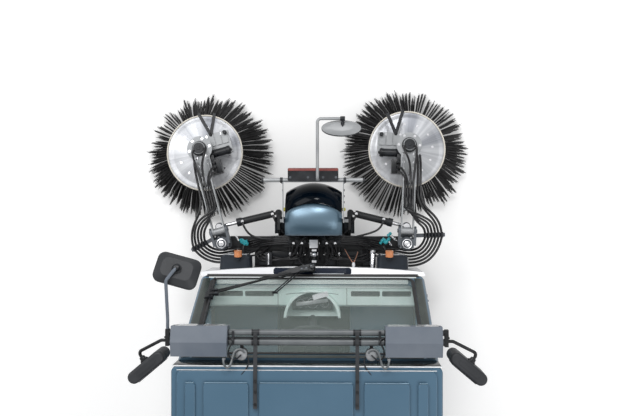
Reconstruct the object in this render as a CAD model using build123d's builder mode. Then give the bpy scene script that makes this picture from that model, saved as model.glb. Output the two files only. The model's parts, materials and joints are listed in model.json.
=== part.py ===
from build123d import *
import math
import os

# Compact street sweeper: a forward cab over the front axle, two gutter brushes
# on swinging arms ahead of it, a suction mouth between the axles and a tipping
# hopper behind. Millimetres. The nose points to -Y, the vehicle's left to +X,
# and the origin is on the ground below the middle of the front axle.

# ---------------------------------------------------------------- dimensions
wheelbase = 1750
track = 1030
tyre_radius = 300
tyre_width = 195
rim_radius = 178
rim_width = 150
running_fit = 0.05
seat_gap = 0.3
moving_gap = 6

rail_x = 185
rail_width = 50
rail_bottom = 400
rail_height = 70
rail_wall = 6
rail_front = -470
rail_rear = 2320
bumper_width = 1180
bumper_height = 120
outrigger_height = 30

axle_depth = 80
kingpin_x = 385
kingpin_radius = 14
kingpin_boss = 30
stub_radius = 22
steer_arm_length = 120
spring_width = 44
spring_leaf = 8
spring_half_length = 290

cab_width = 1300
cab_wall = 40
cab_bottom = 480
floor_thickness = 20
cab_back = 790
screen_base_y = -371
screen_base_z = 1010
screen_top_y = -22
cab_top = 1800
roof_height = 1985
roof_wall = 30
pillar_width = 75
pillar_depth = 90
pillar_round = 38
glass_thickness = 6
arch_radius = 385
arch_liner = 12
arch_inner_x = 235

door_front = -235
door_rear = 600
door_bottom = 510
door_head = 1765
door_border = 62
door_hinge_outset = 8
door_hinge_heights = (740, 1010)
hinge_height = 60
hinge_radius = 7

nose_lip = 53
nose_skin = 18
nose_lip_drop = 24
nose_bow = 30
pod_x = 481
pod_width = 190
pod_front = -478
pod_bottom = 560
pod_top = 740
indicator_z = 762
nose_cover_width = 452

arm_pivot_x = 573
arm_pivot_y = -545
arm_housing_bottom = 420
arm_housing_top = 520
arm_housing_radius = 45
arm_reach = 605
arm_angle_left = 15.2
arm_angle_right = 2.4
arm_width = 80
arm_plate = 8
post_pin_radius = 25
post_plate = 25
post_column_radius = 42
lift_axis_offset = 78
lift_axis_z = 625
lift_pin_radius = 12
arm_eye_radius = 26

brush_plate_radius = 250
brush_tip_radius = 445
brush_plate_z = 275
brush_plate_thickness = 18
brush_drop = 226
brush_tilt = 4
motor_radius = 58
motor_shaft_radius = 20
motor_bottom = 60
motor_top = 205
head_cover_z = 110
tuft_count = 30
tuft_width = 17
tuft_tip_width = 40

cylinder_pin_x = 225
cylinder_pin_y = -736
cylinder_z = 560
cylinder_eye_offset = 105
cylinder_eye_radius = 18
cylinder_eye_height = 24
cylinder_radius = 22
cylinder_rod_radius = 11
cylinder_pin_radius = 8
barrel_start = 30
barrel_length = 240
rod_length = 300

carrier_beam = 80
carrier_plate = 30

cowl_width = 346
cowl_front = -921
cowl_back = -597
cowl_bottom = 500
cowl_top = 850
cowl_skin = 6
cowl_split = -742

board_width = 301
board_front = -1003
board_back = -925
board_z = 850
guard_bar_half = 308
guard_bar_radius = 13

hopper_front = 860
hopper_rear = 2400
hopper_width = 1260
hopper_bottom = 815
hopper_top = 1900
hopper_wall = 25
hopper_tilt_y = 2330
hopper_tilt_z = 775
hopper_tilt_x = 330
hopper_tilt_pin = 14
hopper_lug = 28
hopper_door_thickness = 30
ram_x = 270
ram_foot_y = 1650
ram_foot_z = 435
ram_head_y = 1980
ram_head_z = 785
ram_radius = 30
ram_rod_radius = 16
ram_pin_radius = 12
ram_eye_radius = 24
ram_eye_width = 30
ram_barrel_length = 390

duct_radius = 95
duct_wall = 5
duct_y = 1000
mouth_width = 760
mouth_length = 330
mouth_bottom = 20
mouth_top = 180
mouth_wall = 8

engine_front = 1250
engine_rear = 1950
engine_width = 300
engine_bottom = 404
engine_top = 780

tank_inner_x = 270
tank_outer_x = 640
tank_front = 830
tank_rear = 1380
tank_top = 795

# Values worked out from the driving ones
half_cab = cab_width / 2
cab_inner = half_cab - cab_wall
axle_z = tyre_radius
rear_axle_y = wheelbase
wheel_x = track / 2
rail_top = rail_bottom + rail_height
rail_inner = rail_x - rail_width / 2
rail_outer = rail_x + rail_width / 2
axle_top = axle_z + axle_depth / 2
floor_top = cab_bottom + floor_thickness
screen_slope = (screen_top_y - screen_base_y) / (cab_top - screen_base_z)
screen_lean = math.radians(90) - math.atan2(cab_top - screen_base_z, screen_top_y - screen_base_y)
screen_length = math.hypot(screen_top_y - screen_base_y, cab_top - screen_base_z)
pillar_run = pillar_depth / math.cos(screen_lean)
door_knee_z = screen_base_z + (door_front - screen_base_y - pillar_run) / screen_slope
door_hinge_x = half_cab + door_hinge_outset
nose_face_y = screen_base_y - nose_skin
door_front_sill = axle_z + arch_radius + arch_liner + 12
ram_length = math.hypot(ram_head_y - ram_foot_y, ram_head_z - ram_foot_z)
screen_plane = Plane(
    origin=(0, screen_base_y, screen_base_z),
    x_dir=(1, 0, 0),
    z_dir=(0, -math.cos(screen_lean), math.sin(screen_lean)),
)

pieces = {}


def box_between(low, high, mode=Mode.ADD):
    """A box from its lowest to its highest corner."""
    size = [b - a for a, b in zip(low, high)]
    with Locations([tuple((a + b) / 2 for a, b in zip(low, high))]):
        return Box(*size, mode=mode)


def side_plane(x=0):
    """The vehicle's side view at a distance x from its middle: local X is Y, local Y is Z."""
    return Plane.YZ.offset(x)


def tube_path(*points):
    """Straight runs joined by arcs, with the radius given after each inner point."""
    corners = [point[:3] for point in points]
    radii = [point[3] for point in points[1:-1]]
    return FilletPolyline(*corners, radius=radii)


def both_sides(size):
    return [side * size for side in (1, -1)]


# ------------------------------------------------------------------- chassis
cross_members = [-330, 330, 760, 1180, 2240]
with BuildPart() as chassis_frame:
    for side in (1, -1):
        with BuildSketch(Plane.XZ.offset(-rail_front)):
            with Locations((side * rail_x, rail_bottom + rail_height / 2)):
                Rectangle(rail_width, rail_height)
            with Locations((side * (rail_x - rail_wall), rail_bottom + rail_height / 2)):
                Rectangle(rail_width, rail_height - 2 * rail_wall, mode=Mode.SUBTRACT)
        extrude(amount=rail_front - rail_rear)
    for member_y in cross_members:
        with Locations((0, member_y, rail_bottom + rail_height / 2)):
            Box(2 * (rail_outer - rail_wall), 50, rail_height - 2 * rail_wall)
    # Cab mounts, and pedestals that the hopper rests on
    for mount_y in (-300, 700):
        with Locations((0, mount_y, (rail_top + cab_bottom) / 2)):
            Box(2 * rail_outer, 60, cab_bottom - rail_top)
    for rest_y in (hopper_front + 60, hopper_tilt_y - 90):
        with BuildSketch(Plane.XY.offset(rail_top)):
            with Locations([(x, rest_y) for x in both_sides(rail_x)]):
                Rectangle(rail_width, 70)
        extrude(amount=hopper_bottom - rail_top - seat_gap)
    # Outriggers below the side tanks, and the rear bumper beam
    for outrigger_y in (tank_front + 130, tank_rear - 80):
        outrigger_length = tank_outer_x - 60 - rail_inner
        for x in both_sides(rail_inner + outrigger_length / 2):
            with Locations((x, outrigger_y, rail_bottom - outrigger_height / 2)):
                Box(outrigger_length, 50, outrigger_height)
    with Locations((0, rail_rear + 15, rail_bottom + 40)):
        Box(bumper_width, 30, bumper_height)
    bumper_top = rail_bottom + 40 + bumper_height / 2
    # Ears on the bumper beam that the hopper tips on
    for x in both_sides(hopper_tilt_x):
        with BuildSketch(side_plane(x - 10)):
            Polygon(
                (rail_rear, bumper_top),
                (rail_rear + 30, bumper_top),
                (hopper_tilt_y + 32, hopper_tilt_z - 10),
                (hopper_tilt_y - 32, hopper_tilt_z - 10),
            )
            with Locations((hopper_tilt_y, hopper_tilt_z)):
                Circle(34)
                Circle(hopper_tilt_pin + running_fit, mode=Mode.SUBTRACT)
        extrude(amount=20)
    # Ram feet: a pin out of each rail
    for side in (1, -1):
        with BuildSketch(side_plane(side * (rail_outer - rail_wall))):
            with Locations((ram_foot_y, ram_foot_z)):
                Circle(ram_pin_radius)
        extrude(amount=side * (ram_x + ram_eye_width / 2 + 12 - rail_outer + rail_wall))
        with BuildSketch(side_plane(side * rail_outer)):
            with Locations((ram_foot_y, ram_foot_z)):
                Circle(30)
        extrude(amount=side * (ram_x - ram_eye_width / 2 - 2 - rail_outer))
    # Spring hangers below the rails
    for axle_y in (0, rear_axle_y):
        for end in (1, -1):
            for x in both_sides(rail_x):
                for cheek in (-spring_width / 2 - 6, spring_width / 2 + 0.5):
                    with BuildSketch(side_plane(x + cheek)):
                        with Locations((axle_y + end * spring_half_length, rail_bottom - 18)):
                            Circle(15)
                        with Locations((axle_y + end * spring_half_length, rail_bottom - 7)):
                            Rectangle(30, 22)
                        with Locations((axle_y + end * spring_half_length, rail_bottom - 18)):
                            Circle(7 + running_fit, mode=Mode.SUBTRACT)
                    extrude(amount=5.5)
    # The towing jaw, a casting of its own that is bolted to the bumper
    with BuildSketch(Plane.XZ.offset(-(rail_rear + 30 + seat_gap))):
        with Locations((0, rail_bottom + 20)):
            Rectangle(110, 70)
    extrude(amount=-12)
    for lug_z in (rail_bottom - 2, rail_bottom + 34):
        with BuildSketch(Plane.XY.offset(lug_z)):
            with Locations((0, rail_rear + 62)):
                Circle(28)
            with Locations((0, rail_rear + 47)):
                Rectangle(56, 30)
            with Locations((0, rail_rear + 62)):
                Circle(13, mode=Mode.SUBTRACT)
        extrude(amount=12)
pieces["chassis_frame"] = chassis_frame

# A pack of three leaves on each side of each axle, its main eyes on pins
with BuildPart() as leaf_springs:
    sag = rail_bottom - 18 - 10 - axle_top - 3 * spring_leaf
    bend = (spring_half_length**2 + sag**2) / (2 * sag)
    for axle_y in (0, rear_axle_y):
        for x in both_sides(rail_x):
            for leaf, reach in enumerate((0.45, 0.72, 1.0)):
                leaf_bottom = axle_top + leaf * spring_leaf
                with BuildSketch(side_plane(x - spring_width / 2)):
                    with Locations((axle_y, leaf_bottom + bend)):
                        Circle(bend)
                        Circle(bend - spring_leaf, mode=Mode.SUBTRACT)
                    with Locations((axle_y, leaf_bottom)):
                        Rectangle(2 * reach * spring_half_length, 4 * sag + 60, mode=Mode.INTERSECT)
                extrude(amount=spring_width)
            for end in (1, -1):
                eye = (axle_y + end * spring_half_length, rail_bottom - 18)
                with BuildSketch(side_plane(x - spring_width / 2)):
                    with Locations(eye):
                        Circle(13)
                extrude(amount=spring_width)
                with BuildSketch(side_plane(x - spring_width / 2 - 6)):
                    with Locations(eye):
                        Circle(7)
                extrude(amount=spring_width + 12)
pieces["leaf_springs"] = leaf_springs

# --------------------------------------------------------------- front axle
with BuildPart() as front_axle:
    with BuildSketch(Plane.YZ.offset(-kingpin_x)):
        with Locations((0, axle_z)):
            Rectangle(70, axle_depth)
            Rectangle(50, axle_depth - 24, mode=Mode.SUBTRACT)
            Rectangle(22, axle_depth)
    extrude(amount=2 * kingpin_x)
    with BuildSketch(Plane.XY.offset(axle_z - axle_depth / 2)):
        with Locations([(x, 0) for x in both_sides(kingpin_x)]):
            Circle(kingpin_boss)
    extrude(amount=axle_depth)
    with BuildSketch(Plane.XY.offset(axle_z - axle_depth / 2)):
        with Locations([(x, 0) for x in both_sides(kingpin_x)]):
            Circle(kingpin_radius + running_fit)
    extrude(amount=axle_depth, mode=Mode.SUBTRACT)
pieces["front_axle"] = front_axle

knuckle_lug = 16
knuckle_half = axle_depth / 2 + seat_gap


def make_knuckle(side):
    """The fork round the axle's boss, with its kingpin, stub axle and steering arm."""
    with BuildPart() as knuckle:
        for low in (axle_z + knuckle_half, axle_z - knuckle_half - knuckle_lug):
            with BuildSketch(Plane.XY.offset(low)):
                with Locations((side * kingpin_x, 0)):
                    Circle(kingpin_boss)
                with Locations((side * (kingpin_x + 33), 0)):
                    Rectangle(66, 56)
            extrude(amount=knuckle_lug)
        box_between(
            (min(side * (kingpin_x + 36), side * (kingpin_x + 66)), -28, axle_z - knuckle_half),
            (max(side * (kingpin_x + 36), side * (kingpin_x + 66)), 28, axle_z + knuckle_half),
        )
        with BuildSketch(Plane.XY.offset(axle_z - knuckle_half - knuckle_lug - 6)):
            with Locations((side * kingpin_x, 0)):
                Circle(kingpin_radius)
        extrude(amount=2 * (knuckle_half + knuckle_lug + 6))
        with BuildSketch(Plane.YZ.offset(side * (kingpin_x + 60))):
            with Locations((0, axle_z)):
                Circle(stub_radius)
        extrude(amount=side * (wheel_x + 40 - kingpin_x - 60))
        # The steering arm runs back from the lower lug
        with BuildSketch(Plane.XY.offset(axle_z - knuckle_half - knuckle_lug)):
            with Locations((side * kingpin_x, 0)):
                Circle(26)
            with Locations((side * kingpin_x, steer_arm_length)):
                Circle(22)
            make_hull()
        extrude(amount=knuckle_lug)
    return knuckle


with BuildPart() as tie_rod:
    rod_top = axle_z - knuckle_half - knuckle_lug - seat_gap
    with BuildSketch(Plane.XY.offset(rod_top)):
        with Locations([(x, steer_arm_length) for x in both_sides(kingpin_x)]):
            Circle(20)
    extrude(amount=-34)
    with BuildSketch(Plane.YZ.offset(-kingpin_x)):
        with Locations((steer_arm_length, rod_top - 20)):
            Circle(13)
    extrude(amount=2 * kingpin_x)
for side, name in ((1, "left"), (-1, "right")):
    pieces["knuckle_" + name] = make_knuckle(side)
pieces["tie_rod"] = tie_rod

# ---------------------------------------------------------------- rear axle
with BuildPart() as rear_axle:
    hub_reach = wheel_x + 40
    with BuildSketch(Plane.YZ.offset(-hub_reach)):
        with Locations((rear_axle_y, axle_z)):
            Circle(stub_radius)
    extrude(amount=2 * hub_reach)
    with BuildSketch(Plane.YZ.offset(-(wheel_x - 90))):
        with Locations((rear_axle_y, axle_z)):
            Circle(axle_depth / 2)
    extrude(amount=2 * (wheel_x - 90))
    with Locations((0, rear_axle_y, axle_z)):
        Sphere(85)
        Cylinder(100, 60, rotation=(90, 0, 0))
    # Pads that the springs are clamped on
    for x in both_sides(rail_x):
        box_between(
            (x - spring_width / 2 - 6, rear_axle_y - 50, axle_z),
            (x + spring_width / 2 + 6, rear_axle_y + 50, axle_top),
        )
pieces["rear_axle"] = rear_axle


# ------------------------------------------------------------------- wheels
def make_tyre(x, y):
    """A tyre with a rounded crown, sidewalls and beads on the rim's seats."""
    half = tyre_width / 2
    bead = rim_radius + seat_gap
    with BuildPart() as tyre:
        with BuildSketch(Plane.XY):
            with BuildLine():
                lower = [
                    (bead, -rim_width / 2 + 8),
                    (bead + 22, -rim_width / 2 + 2),
                    (rim_radius + 58, -half),
                    (tyre_radius - 40, -half + 1),
                ]
                shoulder = (tyre_radius - 3, -half + 40)
                Polyline(*lower)
                ThreePointArc(lower[-1], (tyre_radius - 13, -half + 13), shoulder)
                Polyline(shoulder, (tyre_radius, -30), (tyre_radius, 30), (shoulder[0], -shoulder[1]))
                ThreePointArc(
                    (shoulder[0], -shoulder[1]),
                    (tyre_radius - 13, half - 13),
                    (lower[-1][0], -lower[-1][1]),
                )
                Polyline(*[(r, -w) for r, w in reversed(lower)], lower[0])
            make_face()
        revolve(axis=Axis.Y)
    tyre.part = Location((x, y, axle_z), (0, 0, 90)) * tyre.part
    return tyre


def make_rim(x, y):
    """A dished disc wheel with hand holes, on its hub."""
    side = math.copysign(1, x)
    half = rim_width / 2
    with BuildPart() as rim:
        with BuildSketch(Plane.XY):
            Polygon(
                (rim_radius, -half + 8),
                (rim_radius + 12, -half),
                (rim_radius + 12, -half - 4),
                (rim_radius - 6, -half - 4),
                (rim_radius - 20, -20),
                (rim_radius - 20, 20),
                (rim_radius - 6, half + 4),
                (rim_radius + 12, half + 4),
                (rim_radius + 12, half),
                (rim_radius, half - 8),
            )
            Polygon(
                (stub_radius + running_fit, -45),
                (60, -45),
                (66, 14),
                (100, 20),
                (rim_radius - 18, -8),
                (rim_radius - 18, 2),
                (104, 31),
                (58, 26),
                (52, 55),
                (30, 62),
                (0, 62),
                (0, 50),
                (stub_radius + running_fit, 50),
            )
        revolve(axis=Axis.Y)
        with BuildSketch(Plane.XZ):
            with PolarLocations(125, 8):
                Circle(17)
        extrude(amount=60, both=True, mode=Mode.SUBTRACT)
    rim.part = Location((x, y, axle_z), (0, 0, -90 * side)) * rim.part
    return rim


wheel_places = {
    "front_left": (wheel_x, 0),
    "front_right": (-wheel_x, 0),
    "rear_left": (wheel_x, rear_axle_y),
    "rear_right": (-wheel_x, rear_axle_y),
}
for name, place in wheel_places.items():
    pieces["tyre_" + name] = make_tyre(*place)
    pieces["rim_" + name] = make_rim(*place)

# -------------------------------------------------------- engine and suction
with BuildPart() as engine_block:
    box_between(
        (-engine_width / 2, engine_front, engine_bottom),
        (engine_width / 2, engine_rear, engine_top),
    )
    fillet(engine_block.edges().filter_by(Axis.Z), 25)
    for engine_y in (engine_front + 120, engine_rear - 120):
        with Locations((0, engine_y, rail_bottom + rail_height / 2)):
            Box(2 * (rail_outer - rail_wall), 60, rail_height - 2 * rail_wall)
pieces["engine_block"] = engine_block

mouth_front = duct_y - mouth_length / 2
mouth_back = duct_y + mouth_length / 2
with BuildPart() as suction_mouth:
    with BuildSketch(side_plane(-mouth_width / 2)):
        Polygon(
            (mouth_front, mouth_bottom),
            (mouth_front, 90),
            (mouth_front + 60, mouth_top),
            (mouth_back - 40, mouth_top),
            (mouth_back, 120),
            (mouth_back, mouth_bottom),
        )
    extrude(amount=mouth_width)
    with BuildSketch(side_plane(-mouth_width / 2 + mouth_wall)):
        Polygon(
            (mouth_front + mouth_wall, mouth_bottom),
            (mouth_front + mouth_wall, 88),
            (mouth_front + 64, mouth_top - mouth_wall),
            (mouth_back - 43, mouth_top - mouth_wall),
            (mouth_back - mouth_wall, 118),
            (mouth_back - mouth_wall, mouth_bottom),
        )
    extrude(amount=mouth_width - 2 * mouth_wall, mode=Mode.SUBTRACT)
    with Locations((0, duct_y, mouth_top)):
        Cylinder(duct_radius - duct_wall, 4 * mouth_wall, mode=Mode.SUBTRACT)
    # Hangers up to the frame's cross member
    for x in both_sides(rail_x):
        with BuildSketch(side_plane(x - 6)):
            Polygon(
                (mouth_front + 62, mouth_top - 4),
                (mouth_front + 140, mouth_top - 4),
                (cross_members[2] + 70, rail_bottom),
                (cross_members[2] + 20, rail_bottom),
            )
        extrude(amount=12)
pieces["suction_mouth"] = suction_mouth

with BuildPart() as suction_duct:
    with BuildSketch(side_plane()):
        duct_top = hopper_bottom - seat_gap
        with Locations((duct_y + duct_radius - duct_wall / 2, (mouth_top + duct_top) / 2)):
            Rectangle(duct_wall, duct_top - mouth_top)
        for flange_z in (mouth_top + 5, duct_top - 6):
            with Locations((duct_y + duct_radius + 8, flange_z)):
                Rectangle(30, 10)
        for ring in range(8):
            with Locations((duct_y + duct_radius, duct_top - 50 - ring * 26)):
                Rectangle(13, 13, rotation=45)
    revolve(axis=Axis((0, duct_y, 0), (0, 0, 1)))
pieces["suction_duct"] = suction_duct

# ----------------------------------------------------------------------- cab
def door_outline(grow=0):
    """The door's side view, grown on every side but its slanted and arched ones."""
    slant_shift = grow / math.cos(screen_lean)
    head = door_head + grow
    slant_y = screen_base_y + pillar_run - slant_shift
    return (
        (door_front - grow, door_front_sill - grow),
        (door_front - grow, screen_base_z + (door_front - grow - slant_y) / screen_slope),
        (slant_y + screen_slope * (head - screen_base_z), head),
        (door_rear + grow, head),
        (door_rear + grow, door_bottom - grow),
        (-grow, door_bottom - grow),
        (-grow, door_front_sill - grow),
    )


with BuildPart() as cab_frame:
    with BuildSketch(side_plane(-half_cab)):
        Polygon(
            (screen_base_y, cab_bottom),
            (screen_base_y, screen_base_z),
            (screen_top_y, cab_top),
            (cab_back, cab_top),
            (cab_back, cab_bottom),
        )
    extrude(amount=cab_width)
    corners = cab_frame.edges().filter_by(lambda edge: abs(edge.center().X) > half_cab - 1)
    fillet(corners.filter_by(lambda edge: edge.center().Y < screen_top_y - 50), pillar_round)
    corners = cab_frame.edges().filter_by(Axis.Z).filter_by(lambda edge: edge.center().Y > 700)
    fillet(corners, pillar_round)
    # The inside, open at the top below the roof cap
    wall_run = cab_wall / math.cos(screen_lean)
    inner_front = screen_base_y + cab_wall
    inner_slant = screen_base_y + wall_run
    with BuildSketch(side_plane(-cab_inner)):
        Polygon(
            (inner_front, floor_top),
            (inner_front, screen_base_z + (inner_front - inner_slant) / screen_slope),
            (inner_slant + screen_slope * (cab_top - screen_base_z), cab_top),
            (inner_slant + screen_slope * (cab_top - screen_base_z), cab_top + 10),
            (cab_back - cab_wall, cab_top + 10),
            (cab_back - cab_wall, floor_top),
        )
    extrude(amount=2 * cab_inner, mode=Mode.SUBTRACT)
    # Wheelhouses
    for side in (1, -1):
        with BuildSketch(side_plane(side * (arch_inner_x - arch_liner))):
            with Locations((0, axle_z)):
                Circle(arch_radius + arch_liner)
            with Locations((0, cab_bottom + 500)):
                Rectangle(2 * (cab_wall - screen_base_y) - 160, 1000, mode=Mode.INTERSECT)
        extrude(amount=side * (half_cab - arch_inner_x + arch_liner))
        with BuildSketch(side_plane(side * arch_inner_x)):
            with Locations((0, axle_z)):
                Circle(arch_radius)
        extrude(amount=side * half_cab, mode=Mode.SUBTRACT)
    # Door openings, windscreen and rear window
    with BuildSketch(side_plane(-half_cab - 10)):
        Polygon(*door_outline())
        with Locations((0, axle_z)):
            Circle(arch_radius + arch_liner - 2, mode=Mode.SUBTRACT)
    door_cut = cab_wall + 20
    extrude(amount=door_cut, mode=Mode.SUBTRACT)
    with BuildSketch(side_plane(half_cab + 10)):
        Polygon(*door_outline())
        with Locations((0, axle_z)):
            Circle(arch_radius + arch_liner - 2, mode=Mode.SUBTRACT)
    extrude(amount=-door_cut, mode=Mode.SUBTRACT)
    with BuildSketch(screen_plane):
        with Locations((0, (35 + screen_length - 40) / 2)):
            RectangleRounded(cab_width - 2 * pillar_width, screen_length - 75, 40)
    extrude(amount=-cab_wall - 20, mode=Mode.SUBTRACT)
    with BuildSketch(Plane.XZ.offset(-cab_back - 5)):
        with Locations((0, 1480)):
            RectangleRounded(880, 420, 50)
    extrude(amount=cab_wall + 15, mode=Mode.SUBTRACT)
    # The frame's half of each door hinge, above and below the door's
    for side in (1, -1):
        for hinge_z in door_hinge_heights:
            for low in (hinge_z - seat_gap - 18, hinge_z + hinge_height + seat_gap):
                with BuildSketch(Plane.XY.offset(low)):
                    with Locations((side * door_hinge_x, door_front - 2)):
                        Circle(hinge_radius)
                    with Locations((side * (door_hinge_x - 5), door_front - 20)):
                        Rectangle(10, 36)
                extrude(amount=18)
pieces["cab_frame"] = cab_frame

with BuildPart() as cab_glass:
    with BuildSketch(screen_plane):
        with Locations((0, (35 + screen_length - 40) / 2)):
            RectangleRounded(
                cab_width - 2 * pillar_width - 2 * seat_gap,
                screen_length - 75 - 2 * seat_gap,
                40 - seat_gap,
            )
    extrude(amount=-glass_thickness)
    with BuildSketch(Plane.XZ.offset(-cab_back + 2)):
        with Locations((0, 1480)):
            RectangleRounded(880 - 2 * seat_gap, 420 - 2 * seat_gap, 50 - seat_gap)
    extrude(amount=glass_thickness)
pieces["cab_glass"] = cab_glass

roof_step = 13
roof_fields = ((0, 450), (383.5, 217), (555, 50), (-383.5, 217), (-555, 50))
with BuildPart() as cab_roof:
    roof_front = screen_top_y + 14
    roof_length = cab_back - roof_front
    roof_middle = roof_front + roof_length / 2
    with BuildSketch(Plane.XY.offset(cab_top)):
        with Locations((0, roof_middle)):
            RectangleRounded(cab_width, roof_length, 30)
    extrude(amount=roof_height - 2 * roof_step - cab_top)
    fillet(cab_roof.faces().sort_by(Axis.Z)[-1].edges(), 8)
    with BuildSketch(Plane.XY.offset(roof_height - 2 * roof_step - 1)):
        with Locations((0, roof_middle + 4)):
            RectangleRounded(cab_width - 52, roof_length - 26, 34)
    extrude(amount=roof_step + 1)
    fillet(cab_roof.faces().sort_by(Axis.Z)[-1].edges(), 8)
    with BuildSketch(Plane.XY.offset(roof_height - roof_step - 1)):
        for field_x, field_width in roof_fields:
            with Locations((field_x, roof_middle + 24)):
                RectangleRounded(field_width, roof_length - 100, 18)
    extrude(amount=roof_step + 1)
    fields_top = cab_roof.faces().filter_by(Axis.Z).group_by(Axis.Z)[-1]
    fillet(fields_top.edges(), 5)
    with BuildSketch(Plane.XY.offset(cab_top)):
        with Locations((0, roof_middle)):
            RectangleRounded(cab_width - 2 * cab_wall, roof_length - 2 * cab_wall, 20)
    extrude(amount=roof_height - 2 * roof_step - roof_wall - cab_top, mode=Mode.SUBTRACT)
pieces["cab_roof"] = cab_roof

# The front panel below the windscreen, with a lip that forms the ledge
lip_front = screen_base_y - nose_lip
lip_z = screen_base_z - nose_lip_drop
with BuildPart() as nose_panel:
    with BuildSketch(side_plane(-half_cab)):
        Polygon(
            (screen_base_y, screen_base_z),
            (lip_front, lip_z),
            (lip_front, lip_z - 28),
            (nose_face_y, lip_z - 48),
            (nose_face_y, cab_bottom + 34),
            (nose_face_y + 10, cab_bottom + 4),
            (screen_base_y, cab_bottom + 4),
        )
    extrude(amount=cab_width)
    # Bowed in plan, with rounded corners
    with BuildSketch(Plane.XY.offset(cab_bottom)):
        with BuildLine():
            ThreePointArc(
                (-half_cab, lip_front + nose_bow),
                (0, lip_front),
                (half_cab, lip_front + nose_bow),
            )
            Polyline(
                (half_cab, lip_front + nose_bow),
                (half_cab, screen_base_y),
                (-half_cab, screen_base_y),
                (-half_cab, lip_front + nose_bow),
            )
        bowed = make_face()
        fillet(bowed.vertices().group_by(Axis.Y)[0], 14)
    extrude(amount=screen_base_z - cab_bottom + 5, mode=Mode.INTERSECT)
    # Slots of the air intake in the middle of the face
    with BuildSketch(Plane.XZ.offset(-nose_face_y)):
        with Locations((0, 700)):
            with GridLocations(10, 30, 1, 7):
                SlotOverall(420, 14)
    extrude(amount=-8, mode=Mode.SUBTRACT)
pieces["nose_panel"] = nose_panel

# The long cover on the ledge below the windscreen, over the wiper's shaft
ledge_drop = nose_lip_drop / nose_lip
ledge_plane = Plane(
    origin=(0, screen_base_y - nose_lip / 2, screen_base_z - nose_lip_drop / 2),
    x_dir=(1, 0, 0),
    z_dir=(0, -math.sin(math.atan(ledge_drop)), math.cos(math.atan(ledge_drop))),
)
with BuildPart() as nose_cover:
    with BuildSketch(ledge_plane.offset(seat_gap)):
        RectangleRounded(nose_cover_width, 46, 16)
    with BuildSketch(ledge_plane.offset(seat_gap + 13)):
        RectangleRounded(nose_cover_width - 60, 30, 12)
    loft()
    with Locations(ledge_plane.offset(seat_gap + 6)):
        Cylinder(17, 34, align=(Align.CENTER, Align.CENTER, Align.MIN))
pieces["nose_cover"] = nose_cover

# ------------------------------------------------------------------ interior
wheel_tilt = 42
wheel_plane = Plane(
    origin=(0, 30, 1085),
    x_dir=(1, 0, 0),
    z_dir=(0, math.sin(math.radians(wheel_tilt)), math.cos(math.radians(wheel_tilt))),
)
column_radius = 24
column_length = 355
dash_front = inner_front + 1
dash_rear = -202
vent_y = -267
with BuildPart() as dashboard:
    with BuildSketch(side_plane(-cab_inner + 1)):
        Polygon(
            (dash_front, 760),
            (dash_front, 985),
            (dash_front + 30, 1000),
            (dash_rear, 986),
            (dash_rear + 12, 950),
            (dash_rear + 20, 790),
        )
    extrude(amount=2 * cab_inner - 2)
    with BuildSketch(Plane.XY.offset(floor_top)):
        with Locations((0, (dash_front + dash_rear + 10) / 2)):
            Rectangle(240, dash_rear + 10 - dash_front)
    extrude(amount=300)
    # Hooded binnacle in the middle
    with BuildSketch(Plane.XY.offset(900)):
        with Locations((0, dash_front + 200)):
            Circle(165)
        with Locations((0, dash_front + 200 - 165 / 2)):
            Rectangle(330, 165, mode=Mode.INTERSECT)
    extrude(amount=150)
    fillet(dashboard.faces().sort_by(Axis.Z)[-1].edges(), 12)
    # Its well, open at the top and towards the driver
    with BuildSketch(Plane.XY.offset(935)):
        with Locations((0, dash_front + 200)):
            Circle(148)
        with Locations((0, dash_front + 200 - 73)):
            Rectangle(296, 150, mode=Mode.INTERSECT)
    extrude(amount=130, mode=Mode.SUBTRACT)
    # The steering column's socket, and two pairs of vent slots in the top
    with BuildSketch(wheel_plane.offset(-column_length - seat_gap)):
        Circle(column_radius + seat_gap)
    extrude(amount=155, mode=Mode.SUBTRACT)
    vent_plane = Plane(origin=(0, vent_y, 992), z_dir=(0, 15, 98), x_dir=(1, 0, 0))
    for x in (308, 488, -308, -488):
        with BuildSketch(vent_plane):
            with Locations((x, 0)):
                RectangleRounded(166, 30, 6)
        extrude(amount=30, both=True, mode=Mode.SUBTRACT)
pieces["dashboard"] = dashboard

with BuildPart() as steering_wheel:
    with Locations(wheel_plane):
        Torus(175, 14)
        Cylinder(45, 30)
    for spoke in (90, 210, 330):
        with BuildSketch(wheel_plane.offset(-8)):
            with PolarLocations(0, 1, start_angle=spoke):
                with Locations((105, 0)):
                    Rectangle(140, 26)
        extrude(amount=12)
    with BuildSketch(wheel_plane.offset(-column_length)):
        Circle(column_radius)
    extrude(amount=column_length - 5)
pieces["steering_wheel"] = steering_wheel

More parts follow.
